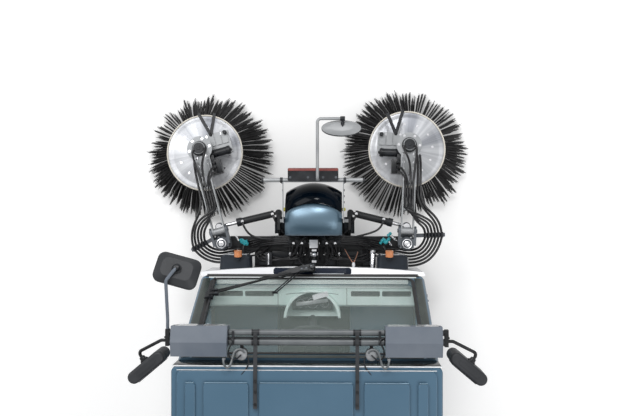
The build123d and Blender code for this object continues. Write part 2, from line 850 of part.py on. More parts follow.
seat_front_y = 200
seat_top_z = 930
with BuildPart() as driver_seat:
    with BuildSketch(side_plane(-215)):
        Polygon(
            (seat_front_y, seat_top_z - 110),
            (seat_front_y - 20, seat_top_z - 10),
            (seat_front_y + 60, seat_top_z + 10),
            (seat_front_y + 400, seat_top_z - 20),
            (seat_front_y + 420, seat_top_z - 110),
        )
    extrude(amount=430)
    fillet(driver_seat.edges().filter_by(Axis.X), 22)
    with BuildSketch(side_plane(-205)):
        Polygon(
            (seat_front_y + 380, seat_top_z - 90),
            (seat_front_y + 360, seat_top_z + 60),
            (seat_front_y + 450, seat_top_z + 560),
            (seat_front_y + 520, seat_top_z + 560),
            (seat_front_y + 480, seat_top_z - 90),
        )
    extrude(amount=410)
    with BuildSketch(side_plane(-120)):
        Polygon(
            (seat_front_y + 455, seat_top_z + 580),
            (seat_front_y + 475, seat_top_z + 760),
            (seat_front_y + 530, seat_top_z + 760),
            (seat_front_y + 520, seat_top_z + 580),
        )
    extrude(amount=240)
    for x in both_sides(60):
        box_between((x - 7, seat_front_y + 480, seat_top_z + 540), (x + 7, seat_front_y + 505, seat_top_z + 600))
    box_between(
        (-170, seat_front_y + 40, floor_top),
        (170, seat_front_y + 400, seat_top_z - 100),
    )
pieces["driver_seat"] = driver_seat


# --------------------------------------------------------------------- doors
def window_outline(shrink=0):
    """The door's window, inside its border."""
    border = door_border + shrink
    slant_y = screen_base_y + pillar_run + (moving_gap + border) / math.cos(screen_lean)
    front = door_front + moving_gap + border
    head = door_head - moving_gap - border
    sill = 850 + shrink
    return (
        (front, sill),
        (front, screen_base_z + (front - slant_y) / screen_slope),
        (slant_y + screen_slope * (head - screen_base_z), head),
        (door_rear - moving_gap - border, head),
        (door_rear - moving_gap - border, sill),
    )


def make_door(side):
    with BuildPart() as door:
        with BuildSketch(side_plane(side * half_cab)):
            Polygon(*door_outline(-moving_gap))
            with Locations((0, axle_z)):
                Circle(arch_radius + arch_liner + moving_gap, mode=Mode.SUBTRACT)
        extrude(amount=-side * cab_wall)
        with BuildSketch(side_plane(side * half_cab)):
            Polygon(*window_outline())
        extrude(amount=-side * cab_wall, mode=Mode.SUBTRACT)
        # A recess with its pull handle at the rear edge
        with BuildSketch(side_plane(side * half_cab)):
            with Locations((door_rear - 85, 790)):
                RectangleRounded(130, 60, 18)
        extrude(amount=-side * 18, mode=Mode.SUBTRACT)
        with BuildSketch(side_plane(side * (half_cab - 18))):
            with Locations((door_rear - 85, 798)):
                RectangleRounded(110, 22, 8)
        extrude(amount=side * 14)
        # Hinge leaves that reach out to the hinge axis
        for hinge_z in door_hinge_heights:
            with BuildSketch(Plane.XY.offset(hinge_z)):
                with Locations((side * door_hinge_x, door_front - 2)):
                    Circle(hinge_radius)
                with Locations((side * (door_hinge_x - 3), door_front + 20)):
                    Rectangle(6, 44)
                with Locations((side * (half_cab + 1), door_front + moving_gap + 22)):
                    Rectangle(6, 40)
            extrude(amount=hinge_height)
    return door


def make_door_glass(side):
    with BuildPart() as door_glass:
        with BuildSketch(side_plane(side * (half_cab - 12))):
            Polygon(*window_outline(seat_gap))
        extrude(amount=-side * glass_thickness)
    return door_glass


for side, name in ((1, "left"), (-1, "right")):
    pieces["door_" + name] = make_door(side)
    pieces["door_glass_" + name] = make_door_glass(side)

# ------------------------------------------------------------ front carrier
with BuildPart() as front_carrier:
    beam_half = arm_pivot_x - arm_housing_radius + 8
    beam_low = arm_housing_bottom + 10
    beam_top = beam_low + carrier_beam
    with BuildSketch(Plane.YZ.offset(-beam_half)):
        with Locations((arm_pivot_y, beam_low + carrier_beam / 2)):
            Rectangle(carrier_beam, carrier_beam)
            Rectangle(carrier_beam - 16, carrier_beam - 16, mode=Mode.SUBTRACT)
    extrude(amount=2 * beam_half)
    with BuildSketch(Plane.XY.offset(arm_housing_bottom)):
        with Locations([(x, arm_pivot_y) for x in both_sides(arm_pivot_x)]):
            Circle(arm_housing_radius)
    extrude(amount=arm_housing_top - arm_housing_bottom)
    with BuildSketch(Plane.XY.offset(arm_housing_bottom)):
        with Locations([(x, arm_pivot_y) for x in both_sides(arm_pivot_x)]):
            Circle(post_pin_radius + running_fit)
    extrude(amount=arm_housing_top - arm_housing_bottom, mode=Mode.SUBTRACT)
    # Brackets back to the rails' ends
    for x in both_sides(rail_x):
        box_between(
            (x - rail_width / 2, arm_pivot_y + carrier_beam / 2, rail_bottom),
            (x + rail_width / 2, rail_front, rail_top),
        )
        box_between(
            (x - rail_width / 2, arm_pivot_y + carrier_beam / 2, rail_top),
            (x + rail_width / 2, arm_pivot_y + carrier_beam / 2 + 12, beam_top),
        )
    # Cheek plates ahead of the beam, with a clevis for each swing cylinder
    clevis_gap = cylinder_eye_height / 2 + seat_gap
    for side in (1, -1):
        plate_x = side * (cylinder_pin_x - 5)
        with BuildSketch(side_plane(plate_x - 8)):
            Polygon(
                (arm_pivot_y - carrier_beam / 2, beam_low),
                (arm_pivot_y - carrier_beam / 2, beam_top),
                (arm_pivot_y - carrier_beam / 2 - 45, cylinder_z + 70),
                (cylinder_pin_y + 40, cylinder_z + 70),
                (cylinder_pin_y + 24, cylinder_z + 50),
                (cylinder_pin_y + 24, cylinder_z - 50),
                (cylinder_pin_y + 60, beam_low),
            )
            with Locations((arm_pivot_y - carrier_beam / 2 - 55, beam_low + 70)):
                SlotOverall(60, 32, rotation=90, mode=Mode.SUBTRACT)
        extrude(amount=16)
        for low in (cylinder_z + clevis_gap, cylinder_z - clevis_gap - 12):
            with BuildSketch(Plane.XY.offset(low)):
                with Locations((side * cylinder_pin_x, cylinder_pin_y)):
                    Circle(20)
                with Locations((side * (cylinder_pin_x - 3), cylinder_pin_y + 14)):
                    Rectangle(34, 28)
            extrude(amount=12)
        with BuildSketch(Plane.XY.offset(cylinder_z - clevis_gap - 18)):
            with Locations((side * cylinder_pin_x, cylinder_pin_y)):
                Circle(cylinder_pin_radius)
        extrude(amount=2 * clevis_gap + 36)
    # The floor that ties the cheek plates together and carries the cowl
    cheek_inner = cylinder_pin_x - 5 - 8
    box_between(
        (-cheek_inner, cylinder_pin_y + 40, beam_low),
        (cheek_inner, arm_pivot_y - carrier_beam / 2, beam_low + 8),
    )
    # Hydraulic block on the beam, with a row of couplers, and the top link
    box_between((-190, arm_pivot_y - 30, beam_top), (190, arm_pivot_y + 25, beam_top + 56))
    with BuildSketch(Plane.XZ.offset(-(arm_pivot_y + 25))):
        with Locations((0, beam_top + 28)):
            with GridLocations(44, 20, 8, 1):
                Circle(10)
    extrude(amount=-34)
    with BuildSketch(Plane.XY.offset(beam_top + 56)):
        with Locations((0, arm_pivot_y)):
            with GridLocations(52, 20, 6, 1):
                Circle(8)
    extrude(amount=26)
    box_between((-30, arm_pivot_y - 28, beam_top + 56), (30, arm_pivot_y + 32, beam_top + 140))
    with BuildSketch(Plane.XZ.offset(-(arm_pivot_y + 32))):
        with Locations((0, beam_top + 112)):
            Circle(9)
    extrude(amount=-(nose_face_y - seat_gap - arm_pivot_y - 32))
pieces["front_carrier"] = front_carrier


# ------------------------------------------------------------- brush arms
def arm_direction(side, angle):
    """The level direction of a brush arm turned outward by an angle."""
    return Vector(side * math.sin(math.radians(angle)), -math.cos(math.radians(angle)), 0)


def arm_planes(side, angle):
    """Planes at the swing pivot with X along the arm: one level, one upright."""
    ahead = arm_direction(side, angle)
    pivot = (side * arm_pivot_x, arm_pivot_y, 0)
    level = Plane(origin=pivot, x_dir=ahead, z_dir=(0, 0, 1))
    upright = Plane(origin=pivot, x_dir=ahead, z_dir=ahead.cross(Vector(0, 0, 1)))
    return level, upright


def brush_plane(side, angle):
    """The middle of a brush's disc, leaning forward a little."""
    ahead = arm_direction(side, angle)
    lean = math.radians(brush_tilt)
    middle = Vector(side * arm_pivot_x, arm_pivot_y, brush_plate_z) + ahead * arm_reach
    up = Vector(0, 0, 1)
    return Plane(
        origin=middle,
        x_dir=ahead * math.cos(lean) - up * math.sin(lean),
        z_dir=ahead * math.sin(lean) + up * math.cos(lean),
    )


post_base = arm_housing_top + seat_gap
cheek_half = arm_width / 2 + 1


def make_swing_post(side, angle):
    """The pin in the carrier's housing, the rod's horn and the arm's clevis."""
    level, upright = arm_planes(side, angle)
    with BuildPart() as swing_post:
        with BuildSketch(level.offset(arm_housing_bottom - seat_gap - 10)):
            Circle(post_pin_radius + 13)
        extrude(amount=10)
        with BuildSketch(level.offset(arm_housing_bottom - seat_gap)):
            Circle(post_pin_radius)
        extrude(amount=post_base - arm_housing_bottom + seat_gap)
        with BuildSketch(level.offset(post_base)):
            Circle(52)
            with Locations((cylinder_eye_offset, 0)):
                Circle(26)
            make_hull()
        extrude(amount=post_plate)
        with BuildSketch(level.offset(post_base + post_plate)):
            Circle(post_column_radius)
        extrude(amount=lift_axis_z + 40 - post_base - post_plate)
        chamfer(swing_post.faces().sort_by(Axis.Z)[-1].edges(), 10)
        for low in (cheek_half, -cheek_half - 14):
            with BuildSketch(upright.offset(low)):
                with Locations((lift_axis_offset, lift_axis_z)):
                    Circle(arm_eye_radius + 4)
                Polygon(
                    (-10, lift_axis_z - 28),
                    (-10, lift_axis_z + 34),
                    (lift_axis_offset, lift_axis_z + arm_eye_radius + 4),
                    (lift_axis_offset, lift_axis_z - arm_eye_radius - 4),
                )
            extrude(amount=14)
        with BuildSketch(upright.offset(-cheek_half - 1)):
            Polygon(
                (-26, lift_axis_z - 28),
                (-26, lift_axis_z + 34),
                (30, lift_axis_z + 34),
                (30, lift_axis_z - 28),
            )
        extrude(amount=2 * cheek_half + 2)
        with BuildSketch(upright.offset(-cheek_half - 20)):
            with Locations((lift_axis_offset, lift_axis_z)):
                Circle(lift_pin_radius)
        extrude(amount=2 * cheek_half + 40)
    return swing_post


def make_brush_arm(side, angle):
    """Two side plates with cross tubes, and the motor on its mounting plate."""
    level, upright = arm_planes(side, angle)
    head = brush_plane(side, angle)
    mount_z = brush_plate_z + motor_top
    plate_low = arm_width / 2 - arm_plate
    with BuildPart() as brush_arm:
        with BuildSketch(head.offset(motor_top)):
            Circle(motor_radius + 22)
            with Locations((-motor_radius - 50, 0)):
                Rectangle(140, arm_width + 20)
        extrude(amount=12)
        with BuildSketch(head.offset(motor_top + 12)):
            Circle(40)
        extrude(amount=36)
        fillet(brush_arm.faces().sort_by(Axis(head.origin, head.z_dir))[-1].edges(), 8)
        with BuildSketch(head.offset(motor_bottom)):
            Circle(motor_radius)
        extrude(amount=motor_top - motor_bottom)
        with BuildSketch(head.offset(motor_bottom)):
            Circle(motor_shaft_radius + running_fit)
        extrude(amount=85, mode=Mode.SUBTRACT)
        for low in (plate_low, -arm_width / 2):
            with BuildSketch(upright.offset(low)):
                with Locations((lift_axis_offset, lift_axis_z)):
                    Circle(arm_eye_radius)
                Polygon(
                    (lift_axis_offset, lift_axis_z + arm_eye_radius),
                    (arm_reach - 205, lift_axis_z - 3),
                    (arm_reach - 75, mount_z + 34),
                    (arm_reach - 60, mount_z + 6),
                    (arm_reach - 165, mount_z + 6),
                    (arm_reach - 235, lift_axis_z - 53),
                    (lift_axis_offset, lift_axis_z - arm_eye_radius),
                )
                for hole_x, hole_z in ((170, lift_axis_z - 8), (255, lift_axis_z - 16)):
                    with Locations((hole_x, hole_z)):
                        SlotOverall(52, 22, rotation=-4, mode=Mode.SUBTRACT)
            extrude(amount=arm_plate)
        for tube_x, tube_z in ((205 + 8, lift_axis_z - 12), (arm_reach - 225, lift_axis_z - 28)):
            with BuildSketch(upright.offset(-arm_width / 2)):
                with Locations((tube_x, tube_z)):
                    Circle(13)
            extrude(amount=arm_width)
        with BuildSketch(upright.offset(-arm_width / 2)):
            with Locations((lift_axis_offset, lift_axis_z)):
                Circle(arm_eye_radius - 4)
        extrude(amount=arm_width)
        with BuildSketch(upright.offset(-arm_width / 2)):
            with Locations((lift_axis_offset, lift_axis_z)):
                Circle(lift_pin_radius + running_fit)
        extrude(amount=arm_width, mode=Mode.SUBTRACT)
        # On the head's inner side: a light cover, a dark cylinder across it, a valve
        # block by the arm and a forked guard that reaches the disc's edge
        inner = -side
        with BuildSketch(head.offset(head_cover_z)):
            with Locations((12, inner * (motor_radius + 62))):
                RectangleRounded(150, 156, 10)
        extrude(amount=26)
        with BuildSketch(head.offset(head_cover_z + 26)):
            for seam in (-1, 0, 1):
                with Locations((44, inner * (motor_radius + 66 + seam * 44))):
                    RectangleRounded(80, 38, 5)
        extrude(amount=8)
        across = Plane(origin=head.origin, x_dir=head.x_dir, z_dir=head.y_dir)
        with BuildSketch(across.offset(min(inner * 20, inner * 182))):
            with Locations((-46, -(head_cover_z + 40))):
                Circle(24)
        extrude(amount=162)
        with BuildSketch(across.offset(min(inner * 26, inner * 44))):
            with Locations((-46, -(head_cover_z + 40))):
                Circle(30)
        extrude(amount=18)
        with BuildSketch(head.offset(head_cover_z + 10)):
            with Locations((-136, inner * 66)):
                RectangleRounded(88, 76, 6)
            with Locations((-90, inner * 52)):
                Rectangle(60, 40)
        extrude(amount=72)
        for fork_end in ((203, inner * 140), (228, inner * 44)):
            with BuildSketch(head.offset(head_cover_z + 26)):
                with Locations((78, inner * 84), fork_end):
                    Circle(9)
                make_hull()
            extrude(amount=9)
        # Two ports on the motor's cap, towards the pivot
        with BuildSketch(upright.offset(-30)):
            with Locations((arm_reach + 6, mount_z + 40)):
                Circle(9)
        extrude(amount=60)
    return brush_arm


def make_brush(side, angle):
    """A dished disc on its hub, with two rings of flaring tufts below its rim."""
    head = brush_plane(side, angle)
    half_plate = brush_plate_thickness / 2
    tufts = []
    for root_radius, tip_radius in (
        (brush_plate_radius - 24, brush_tip_radius),
        (brush_plate_radius - 60, brush_tip_radius - 56),
    ):
        slope = math.atan2(brush_drop, tip_radius - root_radius)
        along = (math.cos(slope), 0, -math.sin(slope))
        with BuildPart() as tuft:
            with BuildSketch(Plane((root_radius, 0, 4 - half_plate), x_dir=(0, 1, 0), z_dir=along)):
                Rectangle(tuft_width, tuft_width)
            with BuildSketch(Plane((tip_radius - 6, 0, -brush_drop), x_dir=(0, 1, 0), z_dir=along)):
                Rectangle(tuft_tip_width, tuft_width - 3)
            loft()
        tufts.append(tuft.part)
    with BuildPart(head) as tuft_ring:
        for row, tuft in enumerate(tufts):
            with PolarLocations(0, tuft_count, start_angle=row * 180 / tuft_count):
                add(tuft)
    with BuildPart() as brush:
        with BuildSketch(head.offset(-half_plate)):
            Circle(brush_plate_radius)
        extrude(amount=brush_plate_thickness)
        with BuildSketch(head.offset(half_plate)):
            Circle(brush_plate_radius)
            Circle(brush_plate_radius - 12, mode=Mode.SUBTRACT)
        extrude(amount=9)
        with BuildSketch(head.offset(half_plate)):
            Circle(70)
        extrude(amount=16)
        with BuildSketch(head.offset(half_plate + 16)):
            Circle(45)
        extrude(amount=motor_bottom - half_plate - 26)
        with BuildSketch(head.offset(half_plate)):
            Circle(motor_shaft_radius)
        extrude(amount=motor_bottom + 80 - half_plate)
        add(tuft_ring.part)
    return brush


def make_swing_barrel(side, angle):
    """The cylinder's barrel, from its pin in the carrier's clevis."""
    along = cylinder_plane(side, angle)
    with BuildPart() as swing_barrel:
        with BuildSketch(Plane.XY.offset(cylinder_z - cylinder_eye_height / 2)):
            with Locations((side * cylinder_pin_x, cylinder_pin_y)):
                Circle(cylinder_eye_radius)
        extrude(amount=cylinder_eye_height)
        with BuildSketch(along):
            Circle(10)
        extrude(amount=barrel_start + 4)
        with BuildSketch(along.offset(barrel_start)):
            Circle(cylinder_radius)
        extrude(amount=barrel_length)
        with BuildSketch(along.offset(barrel_start + barrel_length - 30)):
            Circle(cylinder_radius + 3)
        extrude(amount=30)
        with BuildSketch(along.offset(barrel_start + 14)):
            Circle(cylinder_rod_radius + running_fit)
        extrude(amount=barrel_length, mode=Mode.SUBTRACT)
        with BuildSketch(Plane.XY.offset(cylinder_z - cylinder_eye_height / 2)):
            with Locations((side * cylinder_pin_x, cylinder_pin_y)):
                Circle(cylinder_pin_radius + running_fit)
        extrude(amount=cylinder_eye_height, mode=Mode.SUBTRACT)
    return swing_barrel


def rod_eye_place(side, angle):
    ahead = arm_direction(side, angle)
    return Vector(side * arm_pivot_x, arm_pivot_y, cylinder_z) + ahead * cylinder_eye_offset


def cylinder_plane(side, angle):
    """At the cylinder's fixed pin, with Z along the cylinder."""
    pin = Vector(side * cylinder_pin_x, cylinder_pin_y, cylinder_z)
    return Plane(origin=pin, x_dir=(0, 0, 1), z_dir=rod_eye_place(side, angle) - pin)


def make_swing_rod(side, angle):
    """The bright rod, its eye and the pin that rests on the post's horn."""
    eye = rod_eye_place(side, angle)
    along = cylinder_plane(side, angle)
    pin_to_pin = (eye - along.origin).length
    with BuildPart() as swing_rod:
        with BuildSketch(along.offset(pin_to_pin - rod_length)):
            Circle(cylinder_rod_radius)
        extrude(amount=rod_length)
        with BuildSketch(Plane.XY.offset(cylinder_z - cylinder_eye_height / 2)):
            with Locations((eye.X, eye.Y)):
                Circle(cylinder_eye_radius + 2)
        extrude(amount=cylinder_eye_height)
        with BuildSketch(Plane.XY.offset(post_base + post_plate + seat_gap)):
            with Locations((eye.X, eye.Y)):
                Circle(cylinder_pin_radius + 3)
        extrude(amount=cylinder_z + cylinder_eye_height / 2 + 6 - post_base - post_plate - seat_gap)
    return swing_rod


for side, name, angle in ((1, "left", arm_angle_left), (-1, "right", arm_angle_right)):
    pieces["swing_post_" + name] = make_swing_post(side, angle)
    pieces["brush_arm_" + name] = make_brush_arm(side, angle)
    pieces["brush_" + name] = make_brush(side, angle)
    pieces["swing_barrel_" + name] = make_swing_barrel(side, angle)
    pieces["swing_rod_" + name] = make_swing_rod(side, angle)

# ------------------------------------------------- cowl, board and front bar
with BuildPart() as cowl_form:
    # D-shaped in plan, with a domed crown
    with BuildSketch(Plane.XY.offset(cowl_bottom)):
        with BuildLine():
            Polyline(
                (cowl_width / 2, cowl_front + cowl_width * 0.46),
                (cowl_width / 2, cowl_back),
                (-cowl_width / 2, cowl_back),
                (-cowl_width / 2, cowl_front + cowl_width * 0.46),
            )
            ThreePointArc(
                (-cowl_width / 2, cowl_front + cowl_width * 0.46),
                (0, cowl_front),
                (cowl_width / 2, cowl_front + cowl_width * 0.46),
            )
        make_face()
        offset(amount=-seat_gap)
    extrude(amount=cowl_top - cowl_bottom)
    with BuildSketch(side_plane(-cowl_width / 2)):
        with BuildLine():
            Polyline(
                (cowl_front, cowl_bottom + 120),
                (cowl_front, cowl_bottom),
                (cowl_back, cowl_bottom),
                (cowl_back, cowl_top - 130),
            )
            Spline(
                (cowl_back, cowl_top - 130),
                (cowl_split, cowl_top - 8),
                (cowl_front + 60, cowl_top - 60),
                (cowl_front, cowl_bottom + 120),
                tangents=((0, 1), (0, -1)),
            )
        make_face()
    extrude(amount=cowl_width, mode=Mode.INTERSECT)

with BuildPart() as cowl_hollow:
    with BuildSketch(Plane.XY.offset(cowl_bottom)):
        with BuildLine():
            Polyline(
                (cowl_width / 2, cowl_front + cowl_width * 0.46),
                (cowl_width / 2, cowl_back),
                (-cowl_width / 2, cowl_back),
                (-cowl_width / 2, cowl_front + cowl_width * 0.46),
            )
            ThreePointArc(
                (-cowl_width / 2, cowl_front + cowl_width * 0.46),
                (0, cowl_front),
                (cowl_width / 2, cowl_front + cowl_width * 0.46),
            )
        make_face()
        offset(amount=-cowl_skin)
    extrude(amount=cowl_top - cowl_bottom)
    with BuildSketch(side_plane(-cowl_width / 2)):
        with BuildLine():
            Polyline(
                (cowl_front + cowl_skin, cowl_bottom + 120),
                (cowl_front + cowl_skin, cowl_bottom),
                (cowl_back - cowl_skin, cowl_bottom),
                (cowl_back - cowl_skin, cowl_top - 130 - cowl_skin),
            )
            Spline(
                (cowl_back - cowl_skin, cowl_top - 130 - cowl_skin),
                (cowl_split, cowl_top - 8 - cowl_skin),
                (cowl_front + 60 + cowl_skin, cowl_top - 60 - cowl_skin),
                (cowl_front + cowl_skin, cowl_bottom + 120),
                tangents=((0, 1), (0, -1)),
            )
        make_face()
    extrude(amount=cowl_width, mode=Mode.INTERSECT)

with BuildPart() as cowl:
    add(cowl_form.part)
    add(cowl_hollow.part, mode=Mode.SUBTRACT)
    with BuildSketch(Plane.XY.offset(cowl_bottom - 1)):
        with Locations((0, cowl_split - 200)):
            Rectangle(cowl_width + 10, 400)
    extrude(amount=cowl_top - cowl_bottom + 10, mode=Mode.SUBTRACT)
    # Feet on the carrier's floor
    for x in both_sides(cowl_width / 2 - 30):
        box_between((x - 20, cowl_back - 60, beam_low + 8), (x + 20, cowl_back - 54, cowl_bottom + 30))
        box_between((x - 20, cowl_back - 60, cowl_bottom + 24), (x + 20, cowl_back, cowl_bottom + 30))
pieces["cowl"] = cowl

with BuildPart() as cowl_visor:
    add(cowl_form.part)
    add(cowl_hollow.part, mode=Mode.SUBTRACT)
    with BuildSketch(Plane.XY.offset(cowl_bottom - 1)):
        with Locations((0, cowl_split - seat_gap + 200)):
            Rectangle(cowl_width + 10, 400)
    extrude(amount=cowl_top - cowl_bottom + 10, mode=Mode.SUBTRACT)
pieces["cowl_visor"] = cowl_visor

# The grey bar ahead of the cowl, its two straps and the mirror's rod
bar_y = -932
bar_z = board_z - 8
mirror_rod_x = -28
mirror_rod_front = -1289
rod_route = tube_path(
    (mirror_rod_x, bar_y, bar_z + 6),
    (mirror_rod_x, bar_y, board_z + 95, 22),
    (mirror_rod_x, mirror_rod_front, board_z + 95, 22),
    (-180, mirror_rod_front, board_z + 95),
)
with BuildPart() as guard_bar:
    with BuildSketch(Plane.YZ.offset(-guard_bar_half)):
        with Locations((bar_y, bar_z)):
            Circle(guard_bar_radius)
    extrude(amount=2 * guard_bar_half)
    fillet(guard_bar.edges(), 5)
    for side in (1, -1):
        with BuildSketch(side_plane(side * (cowl_width / 2 + 8) - 3)):
            Polygon(
                (cylinder_pin_y + 40, cylinder_z + 72),
                (cylinder_pin_y + 60, cylinder_z + 72),
                (cylinder_pin_y + 60, bar_z - 4),
                (bar_y, bar_z + 9),
                (bar_y, bar_z - 9),
                (cylinder_pin_y + 30, bar_z - 24),
            )
        extrude(amount=6)
        box_between(
            (min(side * (cowl_width / 2 + 5), side * cheek_inner), cylinder_pin_y + 40, cylinder_z + 40),
            (max(side * (cowl_width / 2 + 5), side * cheek_inner), cylinder_pin_y + 60, cylinder_z + 72),
        )
    with BuildSketch(Plane(origin=rod_route @ 0, z_dir=rod_route % 0)):
        Circle(9)
    sweep(path=rod_route)
pieces["guard_bar"] = guard_bar

with BuildPart() as lamp_board:
    with BuildSketch(Plane.XY.offset(board_z + guard_bar_radius - 8 + seat_gap)):
        with Locations((0, (board_front + board_back) / 2)):
            RectangleRounded(board_width, board_back - board_front, 8)
        with Locations((mirror_rod_x, bar_y)):
            Circle(12, mode=Mode.SUBTRACT)
    extrude(amount=16)
    with BuildSketch(Plane.XY.offset(board_z + guard_bar_radius - 8 + seat_gap)):
        with Locations((0, board_front + 9)):
            Rectangle(board_width - 16, 18)
        with Locations((0, board_front + 34)):
            with GridLocations(46, 10, 6, 1):
                Circle(15)
    extrude(amount=-46)
pieces["lamp_board"] = lamp_board

# -------------------------------------------- mirrors, high lamps and wiper
def round_bar(radius, start, end):
    """A straight round bar between two points."""
    run = Vector(end) - Vector(start)
    with Locations(Plane(origin=Vector(start) + run / 2, z_dir=run)):
        Cylinder(radius, run.length)


bar_front_y = -169
bar_rear_y = -124
high_bar_z = 1950
lamp_box_inner = 376
lamp_box_outer = 645
stay_x = 243
groove_z = roof_height - roof_step
with BuildPart() as light_bar:
    for tube_y, tube_size in ((bar_front_y, 28), (bar_rear_y, 33)):
        with BuildSketch(Plane.YZ.offset(-half_cab - 8)):
            with Locations((tube_y, high_bar_z)):
                Circle(tube_size / 2)
        extrude(amount=2 * half_cab + 16)
    # Two flat stays back to the roof, and cheeks that tie the tubes together
    for x in both_sides(stay_x):
        box_between((x - 9, bar_front_y, high_bar_z + 8), (x + 9, bar_rear_y + 20, high_bar_z + 24))
        with BuildSketch(side_plane(x - 9)):
            Polygon(
                (bar_rear_y, high_bar_z + 8),
                (bar_rear_y, high_bar_z + 24),
                (20, groove_z + 16),
                (190, groove_z + 16),
                (190, groove_z + seat_gap),
                (0, groove_z + seat_gap),
            )
        extrude(amount=18)
    for x in both_sides(311):
        with BuildSketch(Plane.XY.offset(high_bar_z - 34)):
            with Locations((x, -65)):
                Circle(28)
        extrude(amount=46)
        chamfer(light_bar.faces().filter_by(Axis.Z).sort_by(Axis((x, -65, 0), (0, 0, 1)))[-1].edges(), 1)
        box_between((x - 8, bar_rear_y, high_bar_z - 20), (x + 8, -65, high_bar_z - 10))
pieces["light_bar"] = light_bar

with BuildPart() as work_lamps:
    for side in (1, -1):
        with BuildSketch(side_plane(side * lamp_box_inner)):
            Polygon(
                (-198, 1892),
                (-204, 1990),
                (-128, 2016),
                (-60, 2004),
                (-60, 1978),
                (bar_rear_y + 22, 1976),
                (bar_rear_y + 22, 1892),
            )
            with Locations((bar_front_y, high_bar_z)):
                Circle(14 + seat_gap, mode=Mode.SUBTRACT)
            with Locations((bar_rear_y, high_bar_z)):
                Circle(16.5 + seat_gap, mode=Mode.SUBTRACT)
        extrude(amount=side * (lamp_box_outer - lamp_box_inner))
    # Recessed lens faces
    for x in (-578, -443, 443, 578):
        with BuildSketch(Plane.XZ.offset(210)):
            with Locations((x, 1941)):
                RectangleRounded(112, 76, 14)
        extrude(amount=-16, mode=Mode.SUBTRACT)
pieces["work_lamps"] = work_lamps

mirror_x = half_cab + 126
mirror_y = 5
mirror_turn = math.radians(40)
mirror_length = 212
mirror_depth = 62
mirror_low = 1772
mirror_high = 1948
clamp_x = half_cab + 8 + seat_gap


def mirror_point(side, sideways, ahead, height):
    """A point given from a side mirror's middle, along its glass and ahead of it."""
    x = mirror_x + sideways * math.cos(mirror_turn) + ahead * math.sin(mirror_turn)
    y = mirror_y + sideways * math.sin(mirror_turn) - ahead * math.cos(mirror_turn)
    return (side * x, y, height)


arm_routes = [
    tube_path(
        (side * (clamp_x + 9), bar_rear_y - 6, high_bar_z),
        (side * (half_cab + 48), bar_rear_y - 6, high_bar_z, 20),
        (*mirror_point(side, -6, 82, high_bar_z - 60), 20),
        mirror_point(side, -6, mirror_depth / 2 + seat_gap, high_bar_z - 60),
    )
    for side in (1, -1)
]
with BuildPart() as mirror_arms:
    for side, arm_route in zip((1, -1), arm_routes):
        box_between(
            (min(side * clamp_x, side * (clamp_x + 18)), bar_front_y - 16, high_bar_z - 18),
            (max(side * clamp_x, side * (clamp_x + 18)), bar_rear_y + 20, high_bar_z + 18),
        )
        with BuildSketch(Plane(origin=arm_route @ 0, z_dir=arm_route % 0)):
            Circle(8)
        sweep(path=arm_route)
pieces["mirror_arms"] = mirror_arms

# The kerb mirror's rod runs ahead from the left clamp and over its shell
kerb_rod_x = clamp_x + 9
kerb_plane = Plane(
    origin=(kerb_rod_x - 44, -461, high_bar_z - 14),
    x_dir=(0.96, -0.26, 0),
    z_dir=(-0.1, -0.35, 1),
)
kerb_shell = 42
kerb_start = bar_front_y - 16 - seat_gap
kerb_route = tube_path(
    (kerb_rod_x, kerb_start, high_bar_z),
    (kerb_rod_x, kerb_start - 50, high_bar_z, 90),
    (kerb_rod_x, -420, high_bar_z + 50, 30),
    (*kerb_plane.from_local_coords((0, 0, kerb_shell + 25)), 14),
    tuple(kerb_plane.from_local_coords((0, 0, kerb_shell + seat_gap))),
)
with BuildPart() as kerb_rod:
    with BuildSketch(Plane(origin=kerb_route @ 0, z_dir=kerb_route % 0)):
        Circle(8)
    sweep(path=kerb_route)
pieces["kerb_rod"] = kerb_rod

# Rounded mirror shells: two side mirrors, the kerb mirror and the front one
with BuildPart() as mirror_heads:
    for side in (1, -1):
        shell_plane = Plane(
            origin=(side * mirror_x, mirror_y, mirror_low),
            x_dir=(side * math.cos(mirror_turn), math.sin(mirror_turn), 0),
            z_dir=(0, 0, 1),
        )
        with BuildSketch(shell_plane):
            SlotOverall(mirror_length, mirror_depth)
        extrude(amount=mirror_high - mirror_low)
    fillet(mirror_heads.faces().filter_by(Axis.Z).group_by(Axis.Z)[-1].edges(), 14)
    with BuildSketch(kerb_plane):
        RectangleRounded(212, 148, 34)
    extrude(amount=14)
    with BuildSketch(kerb_plane.offset(14)):
        RectangleRounded(212, 148, 34)
    with BuildSketch(kerb_plane.offset(kerb_shell)):
        RectangleRounded(150, 92, 30)
    loft()
    front_mirror_plane = Plane(origin=(-169, -1231, board_z + 70), x_dir=(1, 0, 0), z_dir=(0, -0.34, 1))
    with BuildSketch(front_mirror_plane):
        Ellipse(115, 48)
    extrude(amount=12)
    with BuildSketch(front_mirror_plane.offset(12)):
        Ellipse(115, 48)
    with BuildSketch(front_mirror_plane.offset(30)):
        Ellipse(70, 26)
    loft()
    round_bar(7, (-176, -1236, board_z + 92), (-176, mirror_rod_front + 9 + seat_gap, board_z + 95))
pieces["mirror_heads"] = mirror_heads

